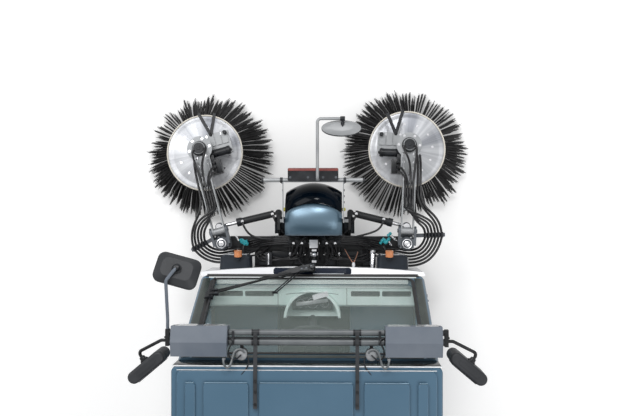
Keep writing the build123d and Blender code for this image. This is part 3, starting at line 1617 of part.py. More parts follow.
wiper_elbow = (560, 240)
spindle_top = 40 + seat_gap
with BuildPart() as wiper:
    for shift in (0, 44):
        start = ledge_plane.from_local_coords((shift, 0, spindle_top + 12))
        end = screen_plane.from_local_coords((wiper_elbow[0], wiper_elbow[1] + shift * 0.6, 26))
        round_bar(6, start, end)
    blade_low = screen_plane.from_local_coords((wiper_elbow[0] - 4, 60, 12))
    blade_high = screen_plane.from_local_coords((wiper_elbow[0] - 4, 640, 12))
    round_bar(7, blade_low, blade_high)
    with BuildSketch(screen_plane.offset(6)):
        with Locations((wiper_elbow[0] - 4, wiper_elbow[1] + 14)):
            Rectangle(22, 70)
    extrude(amount=26)
    with BuildSketch(ledge_plane.offset(spindle_top)):
        with Locations((22, 0)):
            RectangleRounded(84, 34, 12)
    extrude(amount=22)
pieces["wiper"] = wiper

pod_z = (pod_bottom + pod_top) / 2
pod_height = pod_top - pod_bottom
indicator_turn = math.radians(80)
indicator_axis = (0, math.sin(indicator_turn), -math.cos(indicator_turn))
indicator_y = pod_front - 10
indicator_back = (
    indicator_y + (18 + seat_gap) * math.sin(indicator_turn),
    indicator_z - (18 + seat_gap) * math.cos(indicator_turn),
)
with BuildPart() as headlamp_pods:
    for x in both_sides(pod_x):
        with BuildSketch(Plane.XZ.offset(-(nose_face_y - seat_gap))):
            with Locations((x, pod_z)):
                RectangleRounded(pod_width, pod_height, 26)
        with BuildSketch(Plane.XZ.offset(-(pod_front + 16))):
            with Locations((x, pod_z)):
                RectangleRounded(pod_width - 6, pod_height - 6, 26)
        loft()
        with BuildSketch(Plane.XZ.offset(-(pod_front + 16))):
            with Locations((x, pod_z)):
                RectangleRounded(pod_width - 6, pod_height - 6, 26)
        with BuildSketch(Plane.XZ.offset(-pod_front)):
            with Locations((x, pod_z - 4)):
                RectangleRounded(pod_width - 34, pod_height - 34, 26)
        loft()
        with BuildSketch(Plane.XZ.offset(-pod_front)):
            with Locations((x, pod_z - 4)):
                Circle(66)
        extrude(amount=-22, mode=Mode.SUBTRACT)
    # The stalks behind the round indicators, up from the pods' tops
    for x in both_sides(pod_x - 22):
        box_between((x - 9, pod_front + 16, pod_top - 20), (x + 9, pod_front + 28, indicator_z + 4))
        with BuildSketch(Plane(origin=(x, *indicator_back), z_dir=indicator_axis)):
            Circle(9)
        extrude(amount=12)
pieces["headlamp_pods"] = headlamp_pods

with BuildPart() as front_lenses:
    for x in both_sides(pod_x):
        with BuildSketch(Plane.XZ.offset(-(pod_front + 22 - seat_gap))):
            with Locations((x, pod_z - 4)):
                Circle(65)
        extrude(amount=16)
        with BuildSketch(Plane.XZ.offset(-(pod_front + 6))):
            with Locations((x, pod_z - 4)):
                Circle(58)
        extrude(amount=10)
pieces["front_lenses"] = front_lenses

# ------------------------------------------------------------ hopper behind
with BuildPart() as hopper:
    with BuildSketch(side_plane(-hopper_width / 2)):
        Polygon(
            (hopper_front, hopper_bottom),
            (hopper_front, hopper_top - 60),
            (hopper_front + 60, hopper_top),
            (hopper_rear - 120, hopper_top),
            (hopper_rear, hopper_top - 160),
            (hopper_rear, hopper_bottom),
        )
    extrude(amount=hopper_width)
    long_edges = hopper.edges().filter_by(lambda edge: abs(edge.center().X) > hopper_width / 2 - 1)
    long_edges = long_edges.filter_by(lambda edge: edge.center().Z > hopper_bottom + 50)
    fillet(long_edges.filter_by(lambda edge: edge.center().Y < hopper_rear - 100), 60)
    with BuildSketch(side_plane(-hopper_width / 2 + hopper_wall)):
        Polygon(
            (hopper_front + hopper_wall, hopper_bottom + hopper_wall),
            (hopper_front + hopper_wall, hopper_top - 60 - hopper_wall / 2),
            (hopper_front + 60 + hopper_wall / 2, hopper_top - hopper_wall),
            (hopper_rear - 120 - hopper_wall / 2, hopper_top - hopper_wall),
            (hopper_rear + 10, hopper_top - 160 - hopper_wall - 30),
            (hopper_rear + 10, hopper_bottom + hopper_wall),
        )
    extrude(amount=hopper_width - 2 * hopper_wall, mode=Mode.SUBTRACT)
    with Locations((0, duct_y, hopper_bottom)):
        Cylinder(duct_radius - duct_wall, 4 * hopper_wall, mode=Mode.SUBTRACT)
    # Raised ribs pressed into each side
    for side in (1, -1):
        for rib_y in (1250, 1560, 1870, 2180):
            with BuildSketch(side_plane(side * (hopper_width / 2 - 2))):
                with Locations((rib_y, (hopper_bottom + hopper_top) / 2 - 20)):
                    SlotOverall(760, 70, rotation=90)
            extrude(amount=side * 12)
    # Exhaust louvres in the front of each side
    for side in (1, -1):
        with BuildSketch(side_plane(side * (hopper_width / 2 - hopper_wall - 4))):
            with Locations((hopper_front + 180, hopper_top - 210)):
                with GridLocations(10, 34, 1, 7):
                    SlotOverall(190, 15)
        extrude(amount=side * (hopper_wall + 20), mode=Mode.SUBTRACT)
    # Lugs with the tipping pins, on both faces of each chassis ear
    for side in (1, -1):
        for low in (-28, 11):
            with BuildSketch(side_plane(side * hopper_tilt_x + low)):
                with Locations((hopper_tilt_y, hopper_tilt_z)):
                    Circle(hopper_lug)
                Polygon(
                    (hopper_tilt_y - hopper_lug, hopper_tilt_z),
                    (hopper_tilt_y - hopper_lug - 16, hopper_bottom + 4),
                    (hopper_tilt_y + hopper_lug + 16, hopper_bottom + 4),
                    (hopper_tilt_y + hopper_lug, hopper_tilt_z),
                )
            extrude(amount=17)
        with BuildSketch(side_plane(side * hopper_tilt_x - 30)):
            with Locations((hopper_tilt_y, hopper_tilt_z)):
                Circle(hopper_tilt_pin)
        extrude(amount=60)
    # Cheeks for the rams' heads
    for x in both_sides(ram_x):
        for low in (-ram_eye_width / 2 - 13, ram_eye_width / 2 + 1):
            with BuildSketch(side_plane(x + low)):
                with Locations((ram_head_y, ram_head_z)):
                    Circle(24)
                Polygon(
                    (ram_head_y - 24, ram_head_z),
                    (ram_head_y - 40, hopper_bottom + 4),
                    (ram_head_y + 40, hopper_bottom + 4),
                    (ram_head_y + 24, ram_head_z),
                )
            extrude(amount=12)
    # Hinge cheeks of the rear door
    door_axis_y = hopper_rear + 14
    door_axis_z = hopper_top - 150
    for x in (-420, 0, 420):
        for low in (-36, 24):
            with BuildSketch(side_plane(x + low)):
                with Locations((door_axis_y, door_axis_z)):
                    Circle(16)
                Polygon(
                    (door_axis_y - 16, door_axis_z),
                    (hopper_rear - 30, door_axis_z - 6),
                    (hopper_rear - 60, door_axis_z + 66),
                    (door_axis_y + 10, door_axis_z + 12),
                )
                with Locations((door_axis_y, door_axis_z)):
                    Circle(8 + running_fit, mode=Mode.SUBTRACT)
            extrude(amount=12)
pieces["hopper"] = hopper

with BuildPart() as hopper_door:
    door_top_z = door_axis_z - 24
    with BuildSketch(side_plane(-hopper_width / 2 + 6)):
        Polygon(
            (hopper_rear + moving_gap, hopper_bottom + 8),
            (hopper_rear + moving_gap, door_top_z),
            (hopper_rear + moving_gap + hopper_door_thickness - 8, door_top_z),
            (hopper_rear + moving_gap + hopper_door_thickness + 30, door_top_z - 380),
            (hopper_rear + moving_gap + hopper_door_thickness + 30, hopper_bottom + 90),
            (hopper_rear + moving_gap + hopper_door_thickness - 8, hopper_bottom + 8),
        )
    extrude(amount=hopper_width - 12)
    # Dished inside, so the wall is as thick as the hopper's
    with BuildSketch(side_plane(-hopper_width / 2 + 6 + hopper_wall)):
        Polygon(
            (hopper_rear + moving_gap, hopper_bottom + 60),
            (hopper_rear + moving_gap, door_top_z - 60),
            (hopper_rear + moving_gap + 30, door_top_z - 380),
            (hopper_rear + moving_gap + 30, hopper_bottom + 90),
        )
    extrude(amount=hopper_width - 12 - 2 * hopper_wall, mode=Mode.SUBTRACT)
    for x in (-420, 0, 420):
        with BuildSketch(side_plane(x - 20)):
            with Locations((door_axis_y, door_axis_z)):
                Circle(16)
            Polygon(
                (door_axis_y - 6, door_axis_z),
                (hopper_rear + moving_gap + 2, door_top_z - 40),
                (hopper_rear + moving_gap + hopper_door_thickness - 6, door_top_z - 40),
                (door_axis_y + 16, door_axis_z),
            )
        extrude(amount=40)
        with BuildSketch(side_plane(x - 38)):
            with Locations((door_axis_y, door_axis_z)):
                Circle(8)
        extrude(amount=76)
pieces["hopper_door"] = hopper_door


def ram_plane(side):
    """At a ram's foot pin, with Z along the ram."""
    return Plane(
        origin=(side * ram_x, ram_foot_y, ram_foot_z),
        x_dir=(1, 0, 0),
        z_dir=(0, ram_head_y - ram_foot_y, ram_head_z - ram_foot_z),
    )


with BuildPart() as ram_barrels:
    for side in (1, -1):
        along = ram_plane(side)
        with BuildSketch(side_plane(side * ram_x - ram_eye_width / 2)):
            with Locations((ram_foot_y, ram_foot_z)):
                Circle(ram_eye_radius)
        extrude(amount=ram_eye_width)
        with BuildSketch(along.offset(10)):
            Circle(14)
        extrude(amount=30)
        with BuildSketch(along.offset(32)):
            Circle(ram_radius)
        extrude(amount=ram_barrel_length)
        with BuildSketch(along.offset(60)):
            Circle(ram_rod_radius + running_fit)
        extrude(amount=ram_barrel_length, mode=Mode.SUBTRACT)
        with BuildSketch(side_plane(side * ram_x - ram_eye_width / 2)):
            with Locations((ram_foot_y, ram_foot_z)):
                Circle(ram_pin_radius + running_fit)
        extrude(amount=ram_eye_width, mode=Mode.SUBTRACT)
pieces["ram_barrels"] = ram_barrels

with BuildPart() as ram_rods:
    for side in (1, -1):
        along = ram_plane(side)
        with BuildSketch(along.offset(70)):
            Circle(ram_rod_radius)
        extrude(amount=ram_length - 70)
        with BuildSketch(side_plane(side * ram_x - ram_eye_width / 2)):
            with Locations((ram_head_y, ram_head_z)):
                Circle(ram_eye_radius - 4)
        extrude(amount=ram_eye_width)
pieces["ram_rods"] = ram_rods

with BuildPart() as side_tanks:
    for side in (1, -1):
        box_between(
            (min(side * tank_inner_x, side * tank_outer_x), tank_front, rail_bottom + seat_gap),
            (max(side * tank_inner_x, side * tank_outer_x), tank_rear, tank_top),
        )
    outer = side_tanks.edges().filter_by(Axis.Y)
    outer = outer.filter_by(lambda edge: abs(edge.center().X) > tank_outer_x - 1)
    fillet(outer, 45)
    upright = side_tanks.edges().filter_by(Axis.Z)
    fillet(upright, 20)
pieces["side_tanks"] = side_tanks

fender_radius = tyre_radius + 50
with BuildPart() as rear_fenders:
    for side in (1, -1):
        with BuildSketch(side_plane(side * 396)):
            with Locations((rear_axle_y, axle_z)):
                Circle(fender_radius)
                Circle(fender_radius - 8, mode=Mode.SUBTRACT)
            with Locations((rear_axle_y, axle_z + 20 + fender_radius / 2)):
                Rectangle(2 * fender_radius + 10, fender_radius, mode=Mode.INTERSECT)
        extrude(amount=side * (tank_outer_x - 396))
        with BuildSketch(side_plane(side * 396)):
            with Locations((rear_axle_y, axle_z)):
                Circle(fender_radius)
            with Locations((rear_axle_y, axle_z + 100 + fender_radius / 2)):
                Rectangle(2 * fender_radius + 10, fender_radius, mode=Mode.INTERSECT)
        extrude(amount=side * 5)
        for bracket_y in (rear_axle_y - 230, rear_axle_y + 230):
            with BuildSketch(side_plane(side * rail_outer)):
                with Locations((bracket_y, rail_bottom + 36)):
                    Rectangle(34, 34)
            extrude(amount=side * (398 - rail_outer))
pieces["rear_fenders"] = rear_fenders

# Front indicators, rear lamps on the bumper and beacons on the roof
beacon_x = 383
with BuildPart() as signal_lamps:
    for x in both_sides(beacon_x):
        with BuildSketch(Plane.XY.offset(roof_height + seat_gap)):
            with Locations((x, cab_back - 95)):
                Circle(52)
        extrude(amount=24)
        with BuildSketch(Plane.XY.offset(roof_height + seat_gap + 24)):
            with Locations((x, cab_back - 95)):
                Circle(45)
        extrude(amount=90)
    fillet(signal_lamps.faces().filter_by(Axis.Z).group_by(Axis.Z)[-1].edges(), 20)
    for x in both_sides(500):
        with BuildSketch(Plane.XZ.offset(-(rail_rear + 30 + seat_gap))):
            with Locations((x, bumper_top - 60)):
                RectangleRounded(150, 84, 12)
        extrude(amount=-34)
    for x in both_sides(pod_x - 22):
        with Locations((x, indicator_y, indicator_z)):
            Cylinder(24, 36, rotation=(80, 0, 0))
pieces["signal_lamps"] = signal_lamps

os.makedirs("parts", exist_ok=True)
for name, piece in pieces.items():
    piece.part.label = name
    export_step(piece.part, "parts/" + name + ".step")
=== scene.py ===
import json
import math

import bmesh
import bpy
from mathutils import Matrix, Vector


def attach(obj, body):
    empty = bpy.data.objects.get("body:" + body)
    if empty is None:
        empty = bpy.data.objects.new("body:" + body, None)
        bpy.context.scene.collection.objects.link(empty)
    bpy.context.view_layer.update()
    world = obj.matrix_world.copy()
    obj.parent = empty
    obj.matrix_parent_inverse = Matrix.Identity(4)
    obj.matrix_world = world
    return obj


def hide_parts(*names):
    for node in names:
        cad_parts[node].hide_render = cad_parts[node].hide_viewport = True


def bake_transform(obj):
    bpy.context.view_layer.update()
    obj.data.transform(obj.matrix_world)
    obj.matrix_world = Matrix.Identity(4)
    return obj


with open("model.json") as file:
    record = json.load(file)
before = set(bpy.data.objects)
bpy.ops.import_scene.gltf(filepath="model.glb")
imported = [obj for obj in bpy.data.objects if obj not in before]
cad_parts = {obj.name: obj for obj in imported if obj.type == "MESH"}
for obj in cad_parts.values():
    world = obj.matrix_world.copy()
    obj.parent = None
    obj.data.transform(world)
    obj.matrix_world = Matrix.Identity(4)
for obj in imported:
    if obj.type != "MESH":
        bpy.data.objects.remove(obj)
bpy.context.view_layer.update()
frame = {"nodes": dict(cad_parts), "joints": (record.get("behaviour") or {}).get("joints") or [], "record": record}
nodes = frame["nodes"]
print("frame loaded:", len(nodes), "nodes")

# The camera hangs over the front of the machine and looks down on its nose and brushes
cameraSetup = {
    "eye": (-0.162, -0.765, 6.4),
    "lean": 1.74,
    "lens": 53.7,
}


def addCamera():
    lean = math.radians(cameraSetup["lean"])
    forward = Vector((math.sin(lean), 0, -math.cos(lean)))
    up = Vector((0, -1, 0))
    right = forward.cross(up)
    turn = Matrix((right, up, -forward)).transposed().to_4x4()
    data = bpy.data.cameras.new("overheadCamera")
    data.lens = cameraSetup["lens"]
    data.sensor_width = 36
    data.clip_end = 60
    camera = bpy.data.objects.new("overheadCamera", data)
    camera.matrix_world = Matrix.Translation(cameraSetup["eye"]) @ turn
    bpy.context.scene.collection.objects.link(camera)
    bpy.context.scene.camera = camera


# Soft studio light: a white surround, two large panels and a small one for the highlights
lightSetup = {
    "surround": 0.5,
    "panels": (
        # place, aim, width, power
        ((2.6, -3.6, 6.0), (0, -0.4, 0.8), 3.2, 185),
        ((-0.55, -4.2, 5.6), (0, -0.7, 0.8), 0.7, 90),
        ((-3.2, 2.4, 5.5), (0, 0.6, 0.9), 3.0, 90),
    ),
    "floorReach": 60,
    "floorShade": 0.8,
    # The oval and the near range shape a painted shadow: the floor's glow stays low close to the machine
    "oval": ((0, -0.24, 0), (1.25, 0.55, 1)),
    # distance from, distance to, glow from, glow to
    "paintedShadowNear": (0.55, 1.45, 0.02, 0.36),
    "floorFar": (2.5, 9.0, 0.0, 1.0),
}


def putNode(tree, kind, inputs=None, **settings):
    # A node with its settings; each input takes a value or another node's output
    node = tree.nodes.new(kind)
    for name, value in settings.items():
        setattr(node, name, value)
    for socket, value in (inputs or {}).items():
        if isinstance(value, bpy.types.NodeSocket):
            tree.links.new(value, node.inputs[socket])
        else:
            node.inputs[socket].default_value = value
    return node


def addLights():
    world = bpy.data.worlds.new("paleSurround")
    world.use_nodes = True
    tree = world.node_tree
    tree.nodes.clear()
    rays = putNode(tree, "ShaderNodeLightPath").outputs
    direct = putNode(tree, "ShaderNodeMath", {0: rays["Is Camera Ray"], 1: rays["Is Glossy Ray"]},
                     operation="MAXIMUM")
    seen = putNode(tree, "ShaderNodeMath", {0: direct.outputs[0], 1: rays["Is Transmission Ray"]},
                   operation="MAXIMUM")
    white = (1, 1, 1, 1)
    lit = putNode(tree, "ShaderNodeBackground", {"Color": white, "Strength": lightSetup["surround"]})
    plain = putNode(tree, "ShaderNodeBackground", {"Color": white})
    mix = putNode(tree, "ShaderNodeMixShader", {0: seen.outputs[0], 1: lit.outputs[0], 2: plain.outputs[0]})
    putNode(tree, "ShaderNodeOutputWorld", {"Surface": mix.outputs[0]})
    bpy.context.scene.world = world
    for place, aim, width, power in lightSetup["panels"]:
        data = bpy.data.lights.new("softPanel", "AREA")
        data.size = width
        data.energy = power
        panel = bpy.data.objects.new("softPanel", data)
        panel.location = place
        panel.rotation_euler = (Vector(aim) - Vector(place)).to_track_quat("-Z", "Y").to_euler()
        panel.visible_camera = False
        bpy.context.scene.collection.objects.link(panel)


def addFloor():
    mesh = bpy.data.meshes.new("studioFloor")
    reach = lightSetup["floorReach"]
    corners = [(-reach, -reach, 0), (reach, -reach, 0), (reach, reach, 0), (-reach, reach, 0)]
    mesh.from_pydata(corners, [], [(0, 1, 2, 3)])
    floor = bpy.data.objects.new("studioFloor", mesh)
    bpy.context.scene.collection.objects.link(floor)
    material = bpy.data.materials.new("paleFloor")
    material.use_nodes = True
    tree = material.node_tree
    tree.nodes.clear()
    # The floor's glow is painted low round the machine, a painted shadow that fades out away from it, and far off the
    # floor is plain white
    place = putNode(tree, "ShaderNodeTexCoord").outputs["Object"]
    shift, scale = lightSetup["oval"]
    oval = putNode(tree, "ShaderNodeMapping", {0: place, "Location": shift, "Scale": scale})
    away = putNode(tree, "ShaderNodeVectorMath", {0: oval.outputs[0]}, operation="LENGTH").outputs["Value"]
    glows = []
    for limits, blend in ((lightSetup["paintedShadowNear"], "SMOOTHSTEP"), (lightSetup["floorFar"], "LINEAR")):
        inputs = dict(zip(("From Min", "From Max", "To Min", "To Max"), limits))
        glows.append(putNode(tree, "ShaderNodeMapRange", {0: away, **inputs}, interpolation_type=blend).outputs[0])
    whole = putNode(tree, "ShaderNodeMath", dict(enumerate(glows)))
    camera = putNode(tree, "ShaderNodeLightPath").outputs["Is Camera Ray"]
    lift = putNode(tree, "ShaderNodeMath", {0: camera, 1: whole.outputs[0]}, operation="MULTIPLY")
    shade = lightSetup["floorShade"]
    diffuse = putNode(tree, "ShaderNodeBsdfDiffuse", {"Color": (shade, shade, shade, 1)})
    glow = putNode(tree, "ShaderNodeEmission", {"Strength": lift.outputs[0]})
    both = putNode(tree, "ShaderNodeAddShader", {0: diffuse.outputs[0], 1: glow.outputs[0]})
    putNode(tree, "ShaderNodeOutputMaterial", {"Surface": both.outputs[0]})
    floor.data.materials.append(material)


addCamera()
addLights()
addFloor()
bpy.context.scene.view_settings.view_transform = "Standard"
print("camera, light and floor stand")


# Finishes. Each has two tones that wander over it, a rough patchiness and a bump
def setTones(node, starts, tones):
    for element, start, tone in zip(node.color_ramp.elements, starts, tones):
        element.position = start
        element.color = (*tone, 1)
    return node.outputs[0]


def newMaterial(name):
    material = bpy.data.materials.new(name)
    material.use_nodes = True
    tree = material.node_tree
    return material, tree, tree.nodes["Principled BSDF"], putNode(tree, "ShaderNodeTexCoord").outputs["Object"]


def joinShader(tree, shader, colour, roughness, height, bump):
    relief = putNode(tree, "ShaderNodeBump", {"Strength": bump, "Distance": 0.001, "Height": height})
    for socket, value in (("Base Color", colour), ("Roughness", roughness), ("Normal", relief.outputs[0])):
        tree.links.new(value, shader.inputs[socket])


finishes = {}


def addFinish(key, tones, rough, patch, grain, bump, name=None, **sockets):
    words = key.split("_")
    name = name or words[0] + "".join(word.capitalize() for word in words[1:])
    material, tree, shader, place = newMaterial(name)
    clouds = putNode(tree, "ShaderNodeTexNoise", {"Vector": place, "Scale": patch, "Detail": 5}).outputs[0]
    specks = putNode(tree, "ShaderNodeTexNoise", {"Vector": place, "Scale": grain, "Detail": 3}).outputs[0]
    colour = setTones(putNode(tree, "ShaderNodeValToRGB", {0: clouds}), (0.32, 0.7), tones)
    spread = putNode(tree, "ShaderNodeMapRange", {0: clouds, "To Min": rough[0], "To Max": rough[1]})
    joinShader(tree, shader, colour, spread.outputs[0], specks, bump)
    for socket, value in sockets.items():
        shader.inputs[socket.replace("_", " ")].default_value = value
    finishes[key] = material


addFinish("blue_grey_paint", ((0.054, 0.116, 0.176), (0.064, 0.13, 0.194)), (0.26, 0.38), 3, 900, 0.03,
          Specular_IOR_Level=0.3, Coat_Weight=0.15, Coat_Roughness=0.08)
addFinish("white_paint", ((0.78, 0.79, 0.82), (0.85, 0.86, 0.88)), (0.25, 0.35), 4, 900, 0.03, Coat_Weight=0.5)
addFinish("navy_gloss", ((0.006, 0.01, 0.022), (0.01, 0.016, 0.032)), (0.06, 0.12), 5, 700, 0.01,
          Specular_IOR_Level=0.16)
addFinish("black_gloss", ((0.003, 0.004, 0.006), (0.005, 0.006, 0.008)), (0.07, 0.14), 5, 700, 0.01,
          Specular_IOR_Level=0.12)
addFinish("black_steel", ((0.009, 0.01, 0.011), (0.024, 0.025, 0.027)), (0.34, 0.55), 9, 420, 0.16,
          Specular_IOR_Level=0.25)
addFinish("engine_iron", ((0.05, 0.05, 0.054), (0.1, 0.1, 0.105)), (0.6, 0.85), 12, 260, 0.5, name="castIron",
          Metallic=0.4)
addFinish("duct_rubber", ((0.01, 0.01, 0.01), (0.022, 0.021, 0.02)), (0.6, 0.8), 10, 320, 0.25,
          Specular_IOR_Level=0.3)
addFinish("tinted_glass", ((0.4, 0.49, 0.46), (0.44, 0.53, 0.5)), (0.02, 0.05), 3, 40, 0.002, Alpha=0.13,
          Specular_IOR_Level=0.8)
addFinish("dash_plastic", ((0.66, 0.82, 0.78), (0.78, 0.91, 0.88)), (0.5, 0.65), 6, 700, 0.2)
addFinish("dark_plastic", ((0.02, 0.022, 0.025), (0.036, 0.038, 0.042)), (0.4, 0.58), 7, 800, 0.22,
          Specular_IOR_Level=0.28)
addFinish("lamp_plastic", ((0.1, 0.12, 0.15), (0.135, 0.155, 0.185)), (0.4, 0.55), 6, 800, 0.15,
          Specular_IOR_Level=0.3)
addFinish("seat_fabric", ((0.018, 0.019, 0.022), (0.035, 0.036, 0.041)), (0.8, 0.95), 30, 500, 0.5, Sheen_Weight=0.4)
addFinish("clear_lens", ((0.9, 0.92, 0.94), (0.95, 0.96, 0.97)), (0.03, 0.08), 8, 60, 0.3, Transmission_Weight=0.8)
addFinish("amber_lens", ((0.6, 0.19, 0.06), (0.8, 0.33, 0.14)), (0.12, 0.2), 12, 90, 0.3, Transmission_Weight=0.2)
addFinish("grey_steel", ((0.24, 0.25, 0.26), (0.34, 0.35, 0.36)), (0.35, 0.55), 8, 500, 0.12, Metallic=0.3)
addFinish("hopper_steel", ((0.62, 0.64, 0.66), (0.72, 0.73, 0.75)), (0.3, 0.42), 3, 900, 0.04, Coat_Weight=0.4)
addFinish("bright_rod", ((0.62, 0.63, 0.65), (0.78, 0.78, 0.8)), (0.12, 0.25), 14, 500, 0.04, Metallic=1.0)
addFinish("tank_plastic", ((0.075, 0.135, 0.19), (0.095, 0.165, 0.225)), (0.45, 0.6), 6, 700, 0.2)
addFinish("brush_bristle", ((0.006, 0.006, 0.007), (0.04, 0.039, 0.04)), (0.42, 0.65), 38, 400, 0.3,
          Specular_IOR_Level=0.35)
addFinish("tyre", ((0.012, 0.012, 0.012), (0.026, 0.025, 0.024)), (0.7, 0.9), 12, 400, 0.3, name="tyreRubber",
          Specular_IOR_Level=0.3)
addFinish("rim_paint", ((0.48, 0.49, 0.5), (0.6, 0.61, 0.62)), (0.3, 0.45), 7, 600, 0.08, Metallic=0.5)
for part in frame["record"]["subparts"]:
    node = nodes[part["node"]]
    node.data.materials.clear()
    node.data.materials.append(finishes[part["material_slot"]])
nodes["kerb_rod"].data.materials[0] = finishes["lamp_plastic"]
print("frame nodes painted")


# Small tools for meshes. A place is a matrix whose Z is the piece's own axis
def facing(place, normal, ahead=(0, 0, 1)):
    z = Vector(normal).normalized()
    x = Vector(ahead) - z * z.dot(Vector(ahead))
    if x.length < 1e-4:
        x = z.orthogonal()
    x.normalize()
    y = z.cross(x)
    return Matrix.Translation(place) @ Matrix((x, y, z)).transposed().to_4x4()


def level(x, y, z):
    # An upright place: its Z is up and its X is the vehicle's
    return Matrix(((1, 0, 0, x), (0, 1, 0, y), (0, 0, 1, z), (0, 0, 0, 1)))


def shifted(at, x, y, z):
    # The same place moved along its own axes
    return at @ Matrix.Translation((x, y, z))


def mirrored(sign, *points):
    # Points given for the left side, or for the right side when the sign is minus one
    return [(sign * x, y, z) for x, y, z in points]


def polar(radius, turn):
    return radius * math.cos(turn), radius * math.sin(turn)


def addLoops(bm, loops, ring=False):
    # Skin from one closed loop of vertices to the next; the ends are capped unless it closes on itself
    size = len(loops[0])
    for low, high in zip(loops, loops[1:] + loops[:1] if ring else loops[1:]):
        for step in range(size):
            following = (step + 1) % size
            bm.faces.new((low[step], low[following], high[following], high[step]))
    if not ring:
        bm.faces.new(list(reversed(loops[0])))
        bm.faces.new(loops[-1])


def addTurned(bm, profile, at, sides=32, ring=False):
    turns = [2 * math.pi * step / sides for step in range(sides)]
    addLoops(bm, [[bm.verts.new(at @ Vector((*polar(radius, turn), height))) for turn in turns]
                  for radius, height in profile], ring)


def addBlock(bm, size, at, edge=0.002):
    made = bmesh.ops.create_cube(bm, size=1, matrix=at @ Matrix.Diagonal((*size, 1)))
    edges = {e for v in made["verts"] for e in v.link_edges}
    if edge:
        bmesh.ops.bevel(bm, geom=list(edges), offset=edge, segments=2, affect="EDGES", profile=0.6)


def addBlocks(bm, edge, *rows, at=level(0, 0, 0)):
    # Blocks that lie alike: each row has a size and a middle
    for size, middle in rows:
        addBlock(bm, size, shifted(at, *middle), edge)


def addPlate(bm, outline, thick, at, edge=0.0015):
    loops = [[bm.verts.new(at @ Vector((x, y, height))) for x, y in outline] for height in (0, thick)]
    addLoops(bm, loops)
    if edge:
        rim = {e for v in loops[0] + loops[1] for e in v.link_edges}
        bmesh.ops.bevel(bm, geom=list(rim), offset=edge, segments=1, affect="EDGES")


def addBar(bm, start, end, radius, sides=12):
    run = Vector(end) - Vector(start)
    round_ = min(radius * 0.3, run.length * 0.2)
    profile = ((radius - round_, 0), (radius, round_), (radius, run.length - round_), (radius - round_, run.length))
    addTurned(bm, profile, facing(start, run), sides)


def addHose(bm, points, radius, sides=10):
    data = bpy.data.curves.new("run", "CURVE")
    data.dimensions = "3D"
    data.bevel_depth = radius
    data.bevel_resolution = max(0, sides // 4 - 1)
    data.resolution_u = 8
    data.use_fill_caps = True
    spline = data.splines.new("NURBS")
    spline.points.add(len(points) - 1)
    for point, place in zip(spline.points, points):
        point.co = (*place, 1)
    spline.order_u = 4
    spline.use_endpoint_u = True
    holder = bpy.data.objects.new("run", data)
    bpy.context.scene.collection.objects.link(holder)
    bpy.context.view_layer.update()
    mesh = bpy.data.meshes.new_from_object(holder.evaluated_get(bpy.context.evaluated_depsgraph_get()))
    bm.from_mesh(mesh)
    bpy.data.objects.remove(holder)
    bpy.data.meshes.remove(mesh)


# The record's slot that each of the scene's own finishes stands in for
usualSlots = {
    "black_gloss": ("screen_edge", "screen_seal"),
    "black_steel": ("head_black", "hose_rubber"),
    "blue_grey_paint": ("cowl_paint",),
    "bright_rod": ("bead_white", "brass", "cast_silver", "copper_wire", "mirror_glass", "pale_plate"),
    "dark_plastic": ("deep_red", "pod_plastic", "vent_grey"),
    "grey_steel": ("rim_plastic", "tube_grey"),
    "lamp_plastic": ("lamp_grey", "mirror_pale", "teal_fitting"),
    "white_paint": ("sill_white",),
}
slotOf = {finish: slot for slot, names in usualSlots.items() for finish in names}


def finishPiece(source, name, finish, angle=30, body="chassis", slot=None):
    if isinstance(source, bmesh.types.BMesh):
        mesh = bpy.data.meshes.new(name)
        bmesh.ops.recalc_face_normals(source, faces=source.faces)
        source.to_mesh(mesh)
        source.free()
    else:
        mesh = source
    mesh.materials.clear()
    mesh.materials.append(finishes[finish])
    mesh.polygons.foreach_set("use_smooth", [True] * len(mesh.polygons))
    mesh.set_sharp_from_angle(angle=math.radians(angle))
    piece = bpy.data.objects.new(name, mesh)
    bpy.context.scene.collection.objects.link(piece)
    if body:
        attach(piece, body)
    slot = slot or slotOf.get(finish, finish)
    return piece


jointNamed = {j["name"]: j for j in frame["joints"]}
# The vehicle's left is toward positive X
signOf = {"left": 1, "right": -1}


# Geometry Nodes: a small kit for trees with named inputs
class NodeTree:
    def __init__(self, name, inputs):
        self.tree = bpy.data.node_groups.new(name, "GeometryNodeTree")
        self.tree.interface.new_socket(name="Geometry", in_out="OUTPUT", socket_type="NodeSocketGeometry")
        self.tree.interface.new_socket(name="Geometry", in_out="INPUT", socket_type="NodeSocketGeometry")
        for label, (kind, value) in inputs.items():
            socket = self.tree.interface.new_socket(name=label, in_out="INPUT", socket_type="NodeSocket" + kind)
            if value is not None:
                socket.default_value = value
        self.given = self.tree.nodes.new("NodeGroupInput")
        self.result = self.tree.nodes.new("NodeGroupOutput")

    def put(self, kind, inputs=None, **settings):
        return putNode(self.tree, kind, inputs, **settings)

    def math(self, operation, first, second=0.0):
        return self.put("ShaderNodeMath", {0: first, 1: second}, operation=operation).outputs[0]

    def close(self, geometry, finish):
        whole = self.put("GeometryNodeRealizeInstances", {"Geometry": geometry})
        painted = self.put("GeometryNodeSetMaterial", {"Geometry": whole.outputs[0], "Material": finish})
        self.tree.links.new(painted.outputs[0], self.result.inputs[0])
        return self.tree


def growMesh(tree, values, base=None):
    mesh = base or bpy.data.meshes.new("seedMesh")
    holder = bpy.data.objects.new("seed", mesh)
    bpy.context.scene.collection.objects.link(holder)
    modifier = holder.modifiers.new("grow", "NODES")
    modifier.node_group = tree
    for item in tree.interface.items_tree:
        if item.in_out == "INPUT" and item.name in values:
            modifier[item.identifier] = values[item.name]
    bpy.context.view_layer.update()
    grown = bpy.data.meshes.new_from_object(holder.evaluated_get(bpy.context.evaluated_depsgraph_get()))
    holder.modifiers.clear()
    bpy.data.objects.remove(holder)
    return grown


